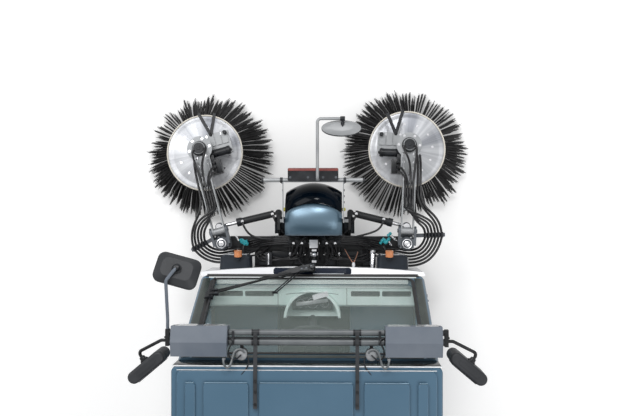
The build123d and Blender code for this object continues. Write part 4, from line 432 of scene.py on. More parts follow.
# Fasteners: one hexagon head with its washer on every marked spot
def buildFastenerTree():
    kit = NodeTree("fasteners", {
        "Head Radius": ("Float", 0.008),
        "Head Height": ("Float", 0.006),
        "Finish": ("Material", None),
    })
    radius, height = kit.given.outputs["Head Radius"], kit.given.outputs["Head Height"]
    head = kit.put("GeometryNodeMeshCylinder", {"Vertices": 6, "Radius": radius, "Depth": height})
    washer = kit.put("GeometryNodeMeshCylinder", {
        "Vertices": 14, "Radius": kit.math("MULTIPLY", radius, 1.35), "Depth": kit.math("MULTIPLY", height, 0.35)})
    raised = kit.put("GeometryNodeTransform", {
        "Geometry": head.outputs["Mesh"],
        "Translation": kit.put("ShaderNodeCombineXYZ", {"Z": kit.math("MULTIPLY", height, 0.6)}).outputs[0]})
    both = kit.put("GeometryNodeJoinGeometry")
    kit.tree.links.new(washer.outputs["Mesh"], both.inputs[0])
    kit.tree.links.new(raised.outputs[0], both.inputs[0])
    way = kit.put("GeometryNodeInputNamedAttribute", {"Name": "way"}, data_type="FLOAT_VECTOR")
    turn = kit.put("FunctionNodeAlignRotationToVector", {"Vector": way.outputs[0]}, axis="Z")
    spread = kit.put("GeometryNodeInstanceOnPoints", {
        "Points": kit.given.outputs["Geometry"], "Instance": both.outputs[0], "Rotation": turn.outputs[0]})
    return kit.close(spread.outputs[0], kit.given.outputs["Finish"])


fastenerTree = buildFastenerTree()


def addFasteners(name, spots, body, radius=0.008, height=0.006, finish="bright_rod"):
    mesh = bpy.data.meshes.new(name)
    mesh.from_pydata([spot for spot, way in spots], [], [])
    ways = mesh.attributes.new("way", "FLOAT_VECTOR", "POINT")
    for item, (spot, way) in zip(ways.data, spots):
        item.vector = Vector(way).normalized()
    grown = growMesh(fastenerTree, {"Head Radius": radius, "Head Height": height, "Finish": finishes[finish]}, mesh)
    return finishPiece(grown, name, finish, body=body)


def boltRing(place, count, radius, height, phase=0.5):
    # Evenly spaced spots on a circle that all face along the place's own axis
    way = place.to_3x3() @ Vector((0, 0, 1))
    turns = [2 * math.pi * (step + phase) / count for step in range(count)]
    return [(place @ Vector((*polar(radius, turn), height)), way) for turn in turns]


# Slats: one bevelled bar repeated in a straight row
def buildSlatTree():
    kit = NodeTree("slats", {
        "Count": ("Int", 5),
        "Start": ("Vector", (0, 0, 0)),
        "Step": ("Vector", (0.01, 0, 0)),
        "Size": ("Vector", (0.1, 0.01, 0.002)),
        "Turn": ("Vector", (0, 0, 0)),
        "Finish": ("Material", None),
    })
    given = kit.given.outputs
    points = kit.put("GeometryNodePoints", {"Count": given["Count"]})
    index = kit.put("GeometryNodeInputIndex").outputs[0]
    moved = kit.put("ShaderNodeVectorMath", {0: given["Step"], "Scale": index}, operation="SCALE")
    place = kit.put("ShaderNodeVectorMath", {0: given["Start"], 1: moved.outputs[0]}, operation="ADD")
    laid = kit.put("GeometryNodeSetPosition", {"Geometry": points.outputs[0], "Position": place.outputs[0]})
    slat = kit.put("GeometryNodeMeshCube", {"Size": given["Size"]})
    turn = kit.put("FunctionNodeEulerToRotation", {"Euler": given["Turn"]})
    spread = kit.put("GeometryNodeInstanceOnPoints", {
        "Points": laid.outputs[0], "Instance": slat.outputs["Mesh"], "Rotation": turn.outputs[0]})
    return kit.close(spread.outputs[0], given["Finish"])


slatTree = buildSlatTree()


def growSlats(count, start, step, size, turn, finish, bm=None):
    mesh = growMesh(slatTree, {"Count": count, "Start": start, "Step": step, "Size": size, "Turn": turn,
                               "Finish": finishes[finish]})
    if bm is None:
        return mesh
    bm.from_mesh(mesh)
    bpy.data.meshes.remove(mesh)


def roundedOutline(width, height, radius, steps=6, centre=(0, 0)):
    outline = []
    for quarter, (x, y) in enumerate(((1, 1), (-1, 1), (-1, -1), (1, -1))):
        for step in range(steps + 1):
            turn = math.pi / 2 * (quarter + step / steps)
            across, up = polar(radius, turn)
            outline.append((centre[0] + x * (width / 2 - radius) + across,
                            centre[1] + y * (height / 2 - radius) + up))
    return outline


def grownOutline(outline, distance):
    # Each side of a convex outline moved outward, and its corners found again
    grown = []
    count = len(outline)
    area = sum(a[0] * b[1] - b[0] * a[1] for a, b in zip(outline, outline[1:] + outline[:1]))
    side = 1 if area > 0 else -1
    for i in range(count):
        before, here, after = (Vector(outline[j % count]) for j in (i - 1, i, i + 1))
        first, second = (here - before).normalized(), (after - here).normalized()
        normal = Vector((first.y, -first.x)) * side + Vector((second.y, -second.x)) * side
        normal.normalize()
        reach = distance / max(0.2, normal.dot(Vector((first.y, -first.x)) * side))
        grown.append(tuple(here + normal * reach))
    return grown


def addBand(bm, inner, outer, low, high, at):
    # A flat ring between two outlines, with a crowned top
    crown = [((a[0] + b[0]) / 2, (a[1] + b[1]) / 2) for a, b in zip(inner, outer)]
    rows = ((inner, low), (inner, high - 0.001), (crown, high), (outer, high - 0.001), (outer, low))
    addLoops(bm, [[bm.verts.new(at @ Vector((x, y, height))) for x, y in outline] for outline, height in rows], True)


# Gutter brushes: a pale dished disc, and bristles in clumps that flare to the ground
brushShape = {
    "disc": 0.25,
    "bristles": {"Clumps": 118, "Per Clump": 44, "Root Outer": 0.236, "Root Inner": 0.176, "Tip": 0.442,
                 "Drop": 0.238,
                 "Strand": 0.0013},
    "seed": 7,
    "tones": ((0.2, 0.21, 0.235), (0.6, 0.61, 0.63)),
}


def buildBristleTree():
    kit = NodeTree("bristles", {
        **{name: ("Int" if isinstance(value, int) else "Float", value)
           for name, value in brushShape["bristles"].items()},
        "Seed": ("Int", brushShape["seed"]),
        "Finish": ("Material", None),
    })
    given = kit.given.outputs
    count = kit.math("MULTIPLY", given["Clumps"], given["Per Clump"])
    points = kit.put("GeometryNodePoints", {"Count": count})
    index = kit.put("GeometryNodeInputIndex").outputs[0]
    clump = kit.math("FLOOR", kit.math("DIVIDE", index, given["Per Clump"]))

    def chance(low, high, identity, shift):
        node = kit.put("FunctionNodeRandomValue", {
            "ID": identity, "Seed": kit.math("ADD", given["Seed"], shift)}, data_type="FLOAT")
        node.inputs[2].default_value = low
        node.inputs[3].default_value = high
        return node.outputs[1]

    step = kit.math("DIVIDE", 2 * math.pi, given["Clumps"])
    base = kit.math("MULTIPLY", clump, step)
    base = kit.math("ADD", base, chance(-0.006, 0.006, clump, 1))
    rootTurn = kit.math("ADD", base, chance(-0.016, 0.016, index, 2))
    tipTurn = kit.math("ADD", base, chance(-0.014, 0.014, index, 3))
    tipTurn = kit.math("ADD", tipTurn, chance(-0.02, 0.02, clump, 4))
    share = chance(0.0, 1.0, index, 5)
    rootRadius = kit.math("ADD", given["Root Inner"], kit.math(
        "MULTIPLY", share, kit.math("SUBTRACT", given["Root Outer"], given["Root Inner"])))
    reach = kit.math("MULTIPLY", chance(0.9, 1.01, clump, 6), chance(0.955, 1.012, index, 7))
    inward = kit.math("MULTIPLY", kit.math("SUBTRACT", 1.0, share), 0.16)
    tipRadius = kit.math("MULTIPLY", given["Tip"], kit.math("SUBTRACT", reach, inward))
    drop = kit.math("MULTIPLY", given["Drop"], chance(0.93, 1.0, index, 8))

    def ringPoint(radius, turn, height):
        return kit.put("ShaderNodeCombineXYZ", {
            "X": kit.math("MULTIPLY", radius, kit.math("COSINE", turn)),
            "Y": kit.math("MULTIPLY", radius, kit.math("SINE", turn)),
            "Z": height,
        }).outputs[0]

    root = ringPoint(rootRadius, rootTurn, -0.006)
    tip = ringPoint(tipRadius, tipTurn, kit.math("MULTIPLY", drop, -1.0))
    middle = ringPoint(
        kit.math("ADD", kit.math("MULTIPLY", rootRadius, 0.42), kit.math("MULTIPLY", tipRadius, 0.58)),
        tipTurn, kit.math("MULTIPLY", drop, chance(-0.36, -0.44, index, 9)))
    stored = points.outputs[0]
    for label, value in (("root", root), ("middle", middle), ("tip", tip)):
        stored = kit.put("GeometryNodeStoreNamedAttribute", {
            "Geometry": stored, "Name": label, "Value": value}, data_type="FLOAT_VECTOR", domain="POINT").outputs[0]
    line = kit.put("GeometryNodeCurvePrimitiveLine", {"Start": (0, 0, 0), "End": (0, 0, 1)})
    cut = kit.put("GeometryNodeResampleCurve", {"Curve": line.outputs[0], "Count": 5})
    spread = kit.put("GeometryNodeInstanceOnPoints", {"Points": stored, "Instance": cut.outputs[0]})
    loose = kit.put("GeometryNodeRealizeInstances", {"Geometry": spread.outputs[0]})
    along = kit.put("GeometryNodeSplineParameter").outputs["Factor"]
    back = kit.math("SUBTRACT", 1.0, along)

    def named(label):
        return kit.put("GeometryNodeInputNamedAttribute", {"Name": label}, data_type="FLOAT_VECTOR").outputs[0]

    def weighed(vector, weight):
        return kit.put("ShaderNodeVectorMath", {0: vector, "Scale": weight}, operation="SCALE").outputs[0]

    def added(first, second):
        return kit.put("ShaderNodeVectorMath", {0: first, 1: second}, operation="ADD").outputs[0]

    place = added(
        added(weighed(named("root"), kit.math("MULTIPLY", back, back)),
              weighed(named("middle"), kit.math("MULTIPLY", kit.math("MULTIPLY", back, along), 2.0))),
        weighed(named("tip"), kit.math("MULTIPLY", along, along)))
    laid = kit.put("GeometryNodeSetPosition", {"Geometry": loose.outputs[0], "Position": place})
    round_ = kit.put("GeometryNodeCurvePrimitiveCircle", {"Resolution": 3, "Radius": given["Strand"]})
    strands = kit.put("GeometryNodeCurveToMesh", {
        "Curve": laid.outputs[0], "Profile Curve": round_.outputs[0], "Fill Caps": True})
    return kit.close(strands.outputs[0], given["Finish"])


bristleTree = buildBristleTree()


def headPlace(side):
    spin = jointNamed["brush_spin_" + side]
    pivot = Vector(jointNamed["swing_" + side]["pos_m"])
    middle = Vector(spin["pos_m"])
    ahead = middle - pivot
    ahead.z = 0
    return facing(middle, spin["axis"], ahead)


def addGrainAndSheenFinish(name, centre, tones, rough, streaks=9.0, bump=0.15):
    # Fine streaks that run out from a centre: partly the grain that turned or swept sheet metal has, partly a painted
    # radial sheen
    material, tree, shader, place = newMaterial(name)
    moved = putNode(tree, "ShaderNodeMapping", {0: place, "Location": [-c for c in centre]}).outputs[0]
    flat = putNode(tree, "ShaderNodeVectorMath", {0: moved, 1: (1, 1, 0)}, operation="MULTIPLY").outputs[0]
    way = putNode(tree, "ShaderNodeVectorMath", {0: flat}, operation="NORMALIZE").outputs[0]
    fine = putNode(tree, "ShaderNodeTexNoise", {"Vector": way, "Scale": streaks, "Detail": 6, "Roughness": 0.7})
    wide = putNode(tree, "ShaderNodeTexNoise", {"Vector": way, "Scale": 1.3, "Detail": 1})
    fine = fine.outputs[0]
    mix = putNode(tree, "ShaderNodeMath", {0: fine, 1: 0.45, 2: wide.outputs[0]}, operation="MULTIPLY_ADD")
    colour = setTones(putNode(tree, "ShaderNodeValToRGB", {0: mix.outputs[0]}), (0.55, 0.92), tones)
    spread = putNode(tree, "ShaderNodeMapRange", {0: fine, "To Min": rough[0], "To Max": rough[1]})
    joinShader(tree, shader, colour, spread.outputs[0], fine, bump)
    shader.inputs["Metallic"].default_value = 0.4
    return material


# Dark covers on each brush head's motor, cross cylinder, valve block and forked guard
headCovers = {
    "skin": 0.0014,
    "motor": 0.058,
    "cap": 0.04,
    "cylinderReach": (0.046, 0.181),
    "block": (0.088, 0.076, 0.072),
}


def addHeadCovers(side, place):
    body = "arm_" + side
    inner = -signOf[side]
    skin = headCovers["skin"]
    dark = bmesh.new()
    motor, cap = headCovers["motor"] + skin, headCovers["cap"] + skin
    ribs = [(motor + (0.003 if step % 2 else 0), 0.064 + 0.0115 * step) for step in range(12)]
    addTurned(dark, [(motor - 0.01, 0.0615)] + ribs + [(motor - 0.01, 0.2035)], place, 40)
    addTurned(dark, ((cap + 0.006, 0.2175), (cap + 0.006, 0.224), (cap, 0.226), (cap, 0.246), (cap - 0.009, 0.2545),
                     (0.012, 0.2545), (0.01, 0.2585)), place, 40)
    near, far = headCovers["cylinderReach"]
    across = shifted(place, -0.046, 0, 0.15) @ Matrix.Rotation(-math.pi / 2 * inner, 4, "X")
    addTurned(dark, ((0.02, near), (0.0254, near + 0.002), (0.0254, near + 0.03), (0.0275, near + 0.032),
                     (0.0275, near + 0.04), (0.0254, near + 0.042), (0.0254, far - 0.022), (0.0285, far - 0.02),
                     (0.0285, far - 0.002), (0.022, far + 0.0035), (0.008, far + 0.0035), (0.008, far + 0.012)),
              across, 32)
    width, depth, height = (size + 2 * skin for size in headCovers["block"])
    addBlock(dark, (width, depth, height), shifted(place, -0.136, inner * 0.066, 0.156), 0.004)
    addBlock(dark, (0.06, 0.04 + 2 * skin, height), shifted(place, -0.09, inner * 0.052, 0.156), 0.003)
    for step in range(3):
        at = shifted(place, -0.164 + 0.027 * step, inner * 0.066, 0.192)
        addTurned(dark, ((0.0115, 0), (0.0115, 0.024), (0.0095, 0.027), (0.004, 0.027), (0.004, 0.033)), at, 16)
    start = Vector((0.078, inner * 0.084))
    for end in ((0.203, inner * 0.14), (0.228, inner * 0.044)):
        run = Vector(end) - start
        turn = math.atan2(run.y, run.x)
        at = shifted(place, *start, 0.1355) @ Matrix.Rotation(turn, 4, "Z")
        ring = 0.009 + skin
        outline = []
        for centre, first in ((run.length, -90), (0, 90)):
            for step in range(7):
                along, aside = polar(ring, math.radians(first + 30 * step))
                outline.append((centre + along, aside))
        addPlate(dark, outline, 0.0115, at)
    addTurned(dark, ((0.012, 0), (0.012, 0.01), (0.009, 0.012), (0.009, 0.02), (0.013, 0.023), (0.013, 0.032),
                     (0.009, 0.035)),
              shifted(place, 0.07, inner * 0.176, 0.135), 20)
    finishPiece(dark, "headCover_" + side, "head_black", 35, body=body)
    way = place.to_3x3() @ Vector((0, 0, 1))
    spots = boltRing(place, 6, 0.066, 0.2175)
    spots += [(place @ Vector((x, y, 0.2175)), way) for x in (-0.15, -0.11) for y in (-0.034, 0.034)]
    spots += [(place @ Vector((x, inner * y, 0.1365)), way)
              for x, y in ((-0.05, 0.054), (0.074, 0.054), (-0.05, 0.186), (0.074, 0.15))]
    addFasteners("headBolts_" + side, spots, body, 0.0065, 0.006)


def addBrush(side, shift):
    place = headPlace(side)
    body = "gutter_brush_" + side
    radius = brushShape["disc"]
    disc = bmesh.new()
    profile = (
        (radius - 0.006, -0.01), (radius - 0.002, -0.008), (radius - 0.002, 0.004), (radius - 0.01, 0.0068),
        (0.226, 0.0062), (0.214, 0.0052), (0.206, 0.0052), (0.198, 0.0072), (0.12, 0.0095), (0.078, 0.012),
        (0.07, 0.0145), (0.07, 0.026), (0.046, 0.0275), (0.044, 0.05), (0.02, 0.052),
    )
    addTurned(disc, profile, place, 128)
    # The disc's streaks are partly grain and partly a painted radial sheen
    finishes["disc_" + side] = addGrainAndSheenFinish("grainAndSheenDisc" + side.capitalize(), place.translation,
                                               brushShape["tones"], (0.26, 0.5))
    piece = finishPiece(disc, "brushDisc_" + side, "disc_" + side, 35, body=body, slot="grey_steel")
    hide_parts("brush_" + side)
    rim = bmesh.new()
    addTurned(rim, ((radius - 0.0075, 0.0055), (radius - 0.0065, 0.0115), (radius - 0.002, 0.0145),
                    (radius + 0.0018, 0.0115), (radius + 0.0018, -0.004), (radius - 0.0045, -0.004)), place,
              128, ring=True)
    finishPiece(rim, "brushRim_" + side, "rim_plastic", 35, body=body)
    spots = boltRing(place, 6, 0.058, 0.0264, 0.25) + boltRing(place, 12, 0.168, 0.0078, 0.25)
    addFasteners("discBolts_" + side, spots, body, 0.0055, 0.004)
    values = {**brushShape["bristles"], "Seed": brushShape["seed"] + shift, "Finish": finishes["brush_bristle"]}
    grown = growMesh(bristleTree, values)
    grown.transform(place)
    finishPiece(grown, "bristles_" + side, "brush_bristle", 60, body=body)
    addHeadCovers(side, place)


addFinish("rim_plastic", ((0.74, 0.7, 0.62), (0.86, 0.82, 0.74)), (0.35, 0.5), 14, 500, 0.1)
addFinish("head_black", ((0.007, 0.008, 0.01), (0.022, 0.024, 0.028)), (0.22, 0.45), 18, 420, 0.15,
          Specular_IOR_Level=0.25)
addBrush("left", 0)
addBrush("right", 3)
print("gutter brushes grown")


# Hydraulic lines and fittings round the front carrier
addFinish("hose_rubber", ((0.01, 0.01, 0.011), (0.024, 0.024, 0.026)), (0.28, 0.45), 22, 600, 0.2,
          Specular_IOR_Level=0.3)
addFinish("teal_fitting", ((0.01, 0.22, 0.26), (0.02, 0.34, 0.38)), (0.25, 0.4), 30, 500, 0.1)
addFinish("pale_plate", ((0.8, 0.81, 0.84), (0.92, 0.93, 0.95)), (0.3, 0.5), 40, 500, 0.1)
addFinish("copper_wire", ((0.5, 0.24, 0.16), (0.72, 0.42, 0.32)), (0.25, 0.4), 40, 500, 0.1, Metallic=0.6)
addFinish("brass", ((0.46, 0.42, 0.08), (0.62, 0.58, 0.16)), (0.25, 0.4), 30, 500, 0.1, name="brassFitting",
          Metallic=0.5)
addFinish("deep_red", ((0.16, 0.03, 0.026), (0.24, 0.05, 0.04)), (0.3, 0.45), 20, 500, 0.1)
addFinish("pod_plastic", ((0.01, 0.014, 0.02), (0.018, 0.024, 0.033)), (0.3, 0.45), 7, 800, 0.15,
          Specular_IOR_Level=0.25)
addFinish("post_steel", ((0.06, 0.068, 0.078), (0.11, 0.12, 0.135)), (0.35, 0.55), 14, 420, 0.16, Metallic=0.4)
nodes["headlamp_pods"].data.materials[0] = finishes["pod_plastic"]
nodes["lamp_board"].data.materials[0] = finishes["head_black"]
for side in ("left", "right"):
    nodes["swing_post_" + side].data.materials[0] = finishes["post_steel"]

hoseSetup = {
    "line": 0.0075,
    "cylinderLine": 0.0065,
    "arcs": {"left": 5, "right": 6},
    "firstArc": 0.095,
    "arcStep": 0.0205,
    "clampTurn": {"left": 62, "right": 92},
}


def addFitting(bm, start, end, radius):
    # A crimped ferrule with its hexagon nut and a collar
    run = Vector(end) - Vector(start)
    at = facing(start, run)
    length = run.length
    addTurned(bm, ((radius * 0.7, 0), (radius, length * 0.06), (radius, length * 0.42), (radius * 0.8, length * 0.46),
                   (radius * 0.8, length)), at, 16)
    nut = shifted(at, 0, 0, length * 0.55)
    addTurned(bm, ((radius * 1.15, 0), (radius * 1.3, length * 0.04), (radius * 1.3, length * 0.2),
                   (radius * 1.15, length * 0.24)), nut, 6)


# Lines from each swing cylinder back to the valve block
cylinderLines = {
    "left": (
        ((0.4505, -0.682, 0.58), (0.4505, -0.676, 0.606), (0.436, -0.64, 0.607), (0.404, -0.594, 0.598),
         (0.335, -0.57, 0.592),
          (0.262, -0.568, 0.578), (0.195, -0.566, 0.556)),
        ((0.262, -0.727, 0.58), (0.262, -0.722, 0.602), (0.25, -0.7, 0.606), (0.238, -0.672, 0.6),
         (0.214, -0.64, 0.588),
          (0.186, -0.6, 0.57), (0.172, -0.576, 0.548)),
    ),
    "right": (
        ((-0.433, -0.695, 0.58), (-0.433, -0.69, 0.606), (-0.424, -0.664, 0.607), (-0.4, -0.628, 0.6),
         (-0.344, -0.606, 0.592),
          (-0.262, -0.586, 0.582), (-0.195, -0.566, 0.556)),
        ((-0.262, -0.729, 0.58), (-0.262, -0.722, 0.602), (-0.25, -0.7, 0.606), (-0.238, -0.672, 0.6),
         (-0.214, -0.64, 0.588),
          (-0.186, -0.6, 0.57), (-0.172, -0.576, 0.548)),
    ),
}


def addCylinderLines(side):
    body = "barrel_" + side
    fittings = bmesh.new()
    radius = hoseSetup["cylinderLine"]
    for number, route in enumerate(cylinderLines[side]):
        line = bmesh.new()
        addHose(line, route, radius)
        piece = finishPiece(line, "cylinderLine_%s_%d" % (side, number), "hose_rubber", 60, body=None)
        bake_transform(piece)
        foot = Vector(route[0])
        addFitting(fittings, foot - Vector((0, 0, 0.004)), foot + Vector((0, 0, 0.02)), radius * 1.25)
    finishPiece(fittings, "cylinderPorts_" + side, "bright_rod", body=body)
    # A gland ring and two bands make the barrel more than a plain tube
    pin = Vector(jointNamed["barrel_pivot_" + side]["pos_m"])
    along = facing(pin, jointNamed["rod_slide_" + side]["axis"])
    rings = bmesh.new()
    for reach, wide, radius in ((0.24, 0.031, 0.0262), (0.232, 0.006, 0.024), (0.036, 0.01, 0.0236),
                                (0.06, 0.004, 0.0228)):
        at = shifted(along, 0, 0, reach)
        addTurned(rings, ((radius - 0.003, 0), (radius, 0.0015), (radius, wide - 0.0015), (radius - 0.003, wide),
                          (0.0215, wide), (0.0215, 0)), at, 40, ring=True)
    finishPiece(rings, "barrelRings_" + side, "head_black", body=body)


for side in ("left", "right"):
    addCylinderLines(side)


def levelFrame(side):
    # At the swing pivot, X ahead along the arm and Y to the arm's outer side
    pivot = Vector(jointNamed["swing_" + side]["pos_m"])
    head = Vector(jointNamed["brush_spin_" + side]["pos_m"])
    ahead = head - pivot
    ahead.z = pivot.z = 0
    ahead.normalize()
    out = Vector((-ahead.y, ahead.x, 0)) * signOf[side]
    return pivot, ahead, out


# Where the first four lines end on the brush head: run along the arm, sideways, height
armEndings = (
    ((0.57, 0.046, 0.556), (0.613, 0.046, 0.54), (0.613, 0.03, 0.526)),
    ((0.54, 0.004, 0.56), (0.59, -0.044, 0.552), (0.613, -0.03, 0.526)),
    ((0.48, -0.05, 0.56), (0.476, -0.066, 0.53), (0.47, -0.066, 0.492)),
    ((0.45, -0.052, 0.57), (0.444, -0.066, 0.54), (0.443, -0.066, 0.492)),
)


def addPivotLines(side):
    pivot, ahead, out = levelFrame(side)
    sign = signOf[side]
    centre = Vector((sign * 0.595, -0.592, 0))
    count = hoseSetup["arcs"][side]
    radius = hoseSetup["line"]
    clamp = hoseSetup["clampTurn"][side]

    def arcPoint(reach, turn, height):
        ahead_, sideways = polar(reach, math.radians(turn))
        return centre + Vector((sign * sideways, ahead_, height))

    def armPoint(run, sideways, height):
        return pivot + ahead * run + out * sideways + Vector((0, 0, height))

    ferrules = bmesh.new()
    for number in range(count):
        reach = hoseSetup["firstArc"] + hoseSetup["arcStep"] * number
        lift = 0.004 * (number % 2)
        rear = mirrored(sign, (0.35 + 0.006 * number, -0.512 + 0.004 * number, 0.524 + lift),
                        (0.4 + 0.008 * number, -0.506 + 0.008 * number, 0.54 + lift))
        rearTurns = ((-34, 0.548 + lift), (-6, 0.556), (26, 0.575), (clamp - 14, 0.594), (clamp, 0.604))
        rear += [arcPoint(reach, *row) for row in rearTurns]
        if clamp > 80:
            rear.insert(5, arcPoint(reach, 52, 0.588))
        line = bmesh.new()
        addHose(line, rear, radius, 10)
        piece = finishPiece(line, "pivotLine_%s_%d" % (side, number), "hose_rubber", 60, body=None)
        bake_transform(piece)
        if number < 4:
            lane = (0.024, 0.008, -0.008, -0.024)[number]
            turns = ((clamp, 0.604), (clamp + 14, 0.612), (max(102, clamp + 24), 0.64), (132, 0.664))
            runs = ((0.15 + 0.02 * number, lane + 0.012, 0.672), (0.22, lane, 0.65), (0.31, lane, 0.638),
                    (0.4, lane, 0.624), *armEndings[number])
        else:
            lane = 0.056 + 0.017 * (number - 4)
            turns = ((clamp, 0.604), (clamp + 14, 0.606), (max(102, clamp + 24), 0.61), (132, 0.612))
            runs = ((0.23, lane + 0.03, 0.606), (0.3, lane, 0.596), (0.4, lane, 0.58), (0.49, lane, 0.545),
                    (0.54, lane, 0.5), (0.56, lane, 0.45))
        line = bmesh.new()
        route = [arcPoint(reach, *row) for row in turns] + [armPoint(*row) for row in runs]
        addHose(line, route, radius, 10)
        piece = finishPiece(line, "armLine_%s_%d" % (side, number), "hose_rubber", 60, body=None)
        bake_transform(piece)
        middle = arcPoint(reach, clamp, 0.604)
        along = (arcPoint(reach, clamp + 4, 0.6055) - arcPoint(reach, clamp - 4, 0.6025)).normalized()
        addTurned(ferrules, ((radius, -0.017), (radius + 0.0022, -0.015), (radius + 0.0022, 0.015), (radius, 0.017)),
                  facing(middle, along), 16)
    finishPiece(ferrules, "lineClips_" + side, "head_black", 35, body="post_" + side)
    # The bracket below the clips reaches out from the post
    near = arcPoint(0.03, clamp, 0.59)
    far = arcPoint(hoseSetup["firstArc"] + hoseSetup["arcStep"] * count, clamp, 0.59)
    bracket = bmesh.new()
    run = far - near
    at = facing(near + run / 2, (0, 0, 1), run)
    addBlock(bracket, (run.length, 0.024, 0.006), at, 0.001)
    foot = near + run.normalized() * 0.03 - Vector((0, 0, 0.014))
    addBlock(bracket, (0.06, 0.006, 0.03), facing(foot, (0, 0, 1), run), 0.001)
    finishPiece(bracket, "lineBracket_" + side, "post_steel", body="post_" + side, slot="black_steel")
    # The bright pin's head on top of the post
    top = bmesh.new()
    crown = facing((pivot.x, pivot.y, 0.6655), (0, 0, 1))
    addTurned(top, ((0.03, 0), (0.03, 0.002), (0.0255, 0.003), (0.0255, -0.001), (0.03, -0.001)), crown,
              36, ring=True)
    addTurned(top, ((0.019, 0), (0.019, 0.002), (0.0165, 0.0055), (0.012, 0.0075), (0.006, 0.008)), crown, 32)
    finishPiece(top, "pinHead_" + side, "bright_rod", body="post_" + side)
    addFasteners("postBolts_" + side, boltRing(level(pivot.x, pivot.y, 0), 4, 0.046, 0.5455), "post_" + side,
                 0.005, 0.005)


for side in ("left", "right"):
    addPivotLines(side)
print("lines run round the pivots and along the arms")


def addCarrierLines():
    lines = bmesh.new()
    for sign in (1, -1):
        # The bundle along the beam, and the loops below the cowl
        for number in range(5):
            shift, odd = 0.0115 * number, number % 2
            addHose(lines, mirrored(sign, (0.07, -0.566 + shift * 0.3, 0.574),
                                    (0.1, -0.588 + shift, 0.592 + 0.004 * odd),
                                    (0.19, -0.59 + shift, 0.592 + 0.004 * odd), (0.27, -0.584 + shift, 0.566),
                                    (0.34, -0.574 + shift, 0.53 + 0.006 * odd),
                                    (0.4 - 0.01 * number, -0.56 + shift, 0.52),
                                    (0.44 - 0.014 * number, -0.552 + shift, 0.517)), 0.0062, 8)
        for number in range(3):
            addHose(lines, mirrored(sign, (0.06 + 0.03 * number, -0.508, 0.538),
                                    (0.062 + 0.03 * number, -0.47, 0.545), (0.09 + 0.04 * number, -0.446, 0.552),
                                    (0.17 + 0.04 * number, -0.44, 0.548),
                                    (0.25 + 0.03 * number, -0.45 + 0.012 * number, 0.54),
                                    (0.32 + 0.02 * number, -0.47 + 0.012 * number, 0.52),
                                    (0.35 + 0.01 * number, -0.492, 0.508)), 0.0068, 8)
        addHose(lines, mirrored(sign, (0.052, -0.586, 0.56), (0.07, -0.62, 0.59), (0.11, -0.636, 0.588),
                                (0.165, -0.61, 0.578), (0.23, -0.56, 0.556), (0.3, -0.51, 0.53),
                                (0.33, -0.49, 0.505)), 0.0075, 8)
        addHose(lines, mirrored(sign, (0.02, -0.575, 0.566), (0.04, -0.6, 0.64), (0.09, -0.56, 0.64),
                                (0.12, -0.5, 0.612), (0.1, -0.44, 0.59), (0.06, -0.41, 0.585), (0.05, -0.391, 0.58)),
                0.006, 8)
    for number in range(6):
        x = -0.13 + 0.052 * number
        addHose(lines, (
            (x, -0.545, 0.592), (x, -0.545, 0.606), (x * 1.04, -0.52, 0.612), (x * 1.1, -0.48, 0.596),
            (x * 1.16, -0.45, 0.56), (x * 1.2, -0.44, 0.52), (x * 1.2, -0.436, 0.47)), 0.005, 8)
    addHose(lines, (
        (-0.43, -0.527, 0.6), (-0.452, -0.5, 0.612), (-0.44, -0.47, 0.606), (-0.4, -0.462, 0.59),
        (-0.36, -0.47, 0.566), (-0.33, -0.492, 0.52)), 0.0058, 8)
    addHose(lines, (
        (0.44, -0.53, 0.6), (0.452, -0.5, 0.61), (0.43, -0.47, 0.6), (0.385, -0.462, 0.585),
        (0.34, -0.48, 0.55), (0.31, -0.496, 0.512)), 0.0058, 8)
    finishPiece(lines, "carrierLines", "hose_rubber", 60)

    teal = bmesh.new()
    for start, end in (((0.463, -0.572, 0.6), (0.448, -0.545, 0.6)), ((0.428, -0.566, 0.6), (0.418, -0.532, 0.6)),
                       ((-0.409, -0.541, 0.6), (-0.43, -0.57, 0.602)), ((-0.444, -0.545, 0.6), (-0.47, -0.58, 0.604)),
                       ((-0.455, -0.59, 0.598), (-0.48, -0.612, 0.598))):
        addFitting(teal, start, end, 0.0095)
    for x, y in ((0.441, -0.552), (-0.437, -0.56)):
        addBlock(teal, (0.04, 0.026, 0.018), facing((x, y, 0.594), (0, 0, 1), (0.8, -0.6, 0)), 0.002)
    finishPiece(teal, "tealCouplers", "teal_fitting")

    bright = bmesh.new()
    addFitting(bright, (-0.478, -0.592, 0.6), (-0.515, -0.56, 0.6), 0.0075)
    addFitting(bright, (-0.462, -0.56, 0.586), (-0.482, -0.532, 0.586), 0.007)
    addFitting(bright, (0.47, -0.56, 0.6), (0.492, -0.59, 0.6), 0.007)
    for number in range(6):
        addFitting(bright, (-0.13 + 0.052 * number, -0.545, 0.588), (-0.13 + 0.052 * number, -0.545, 0.608), 0.0072)
    for number in range(8):
        addFitting(bright, (-0.154 + 0.044 * number, -0.486, 0.538), (-0.154 + 0.044 * number, -0.466, 0.538), 0.0088)
    # The filter beside the pod, with its ribbed can
    can = facing((-0.364, -0.505, 0.6), (0, 1, 0))
    profile = [(0.01, 0), (0.016, 0.002), (0.0195, 0.006), (0.0195, 0.022)]
    for rib in range(8):
        profile += [(0.0178, 0.026 + 0.008 * rib), (0.0192, 0.03 + 0.008 * rib)]
    addTurned(bright, profile + [(0.0178, 0.092), (0.0145, 0.098), (0.0145, 0.112)], can, 32)
    # The top link's ball and its nuts
    link = facing((0, -0.512, 0.622), (0, 1, 0))
    addTurned(bright, ((0.01, 0.02), (0.015, 0.026), (0.0172, 0.034), (0.015, 0.042), (0.01, 0.048)), link, 24)
    for low, high in ((0.07, 0.086), (0.002, 0.016)):
        addTurned(bright, ((0.015, low), (0.0165, low + 0.002), (0.0165, high - 0.002), (0.015, high)), link, 6)
    addBlock(bright, (0.008, 0.07, 0.016), level(0.288, -0.444, 0.566), 0.001)
    finishPiece(bright, "brightFittings", "bright_rod")

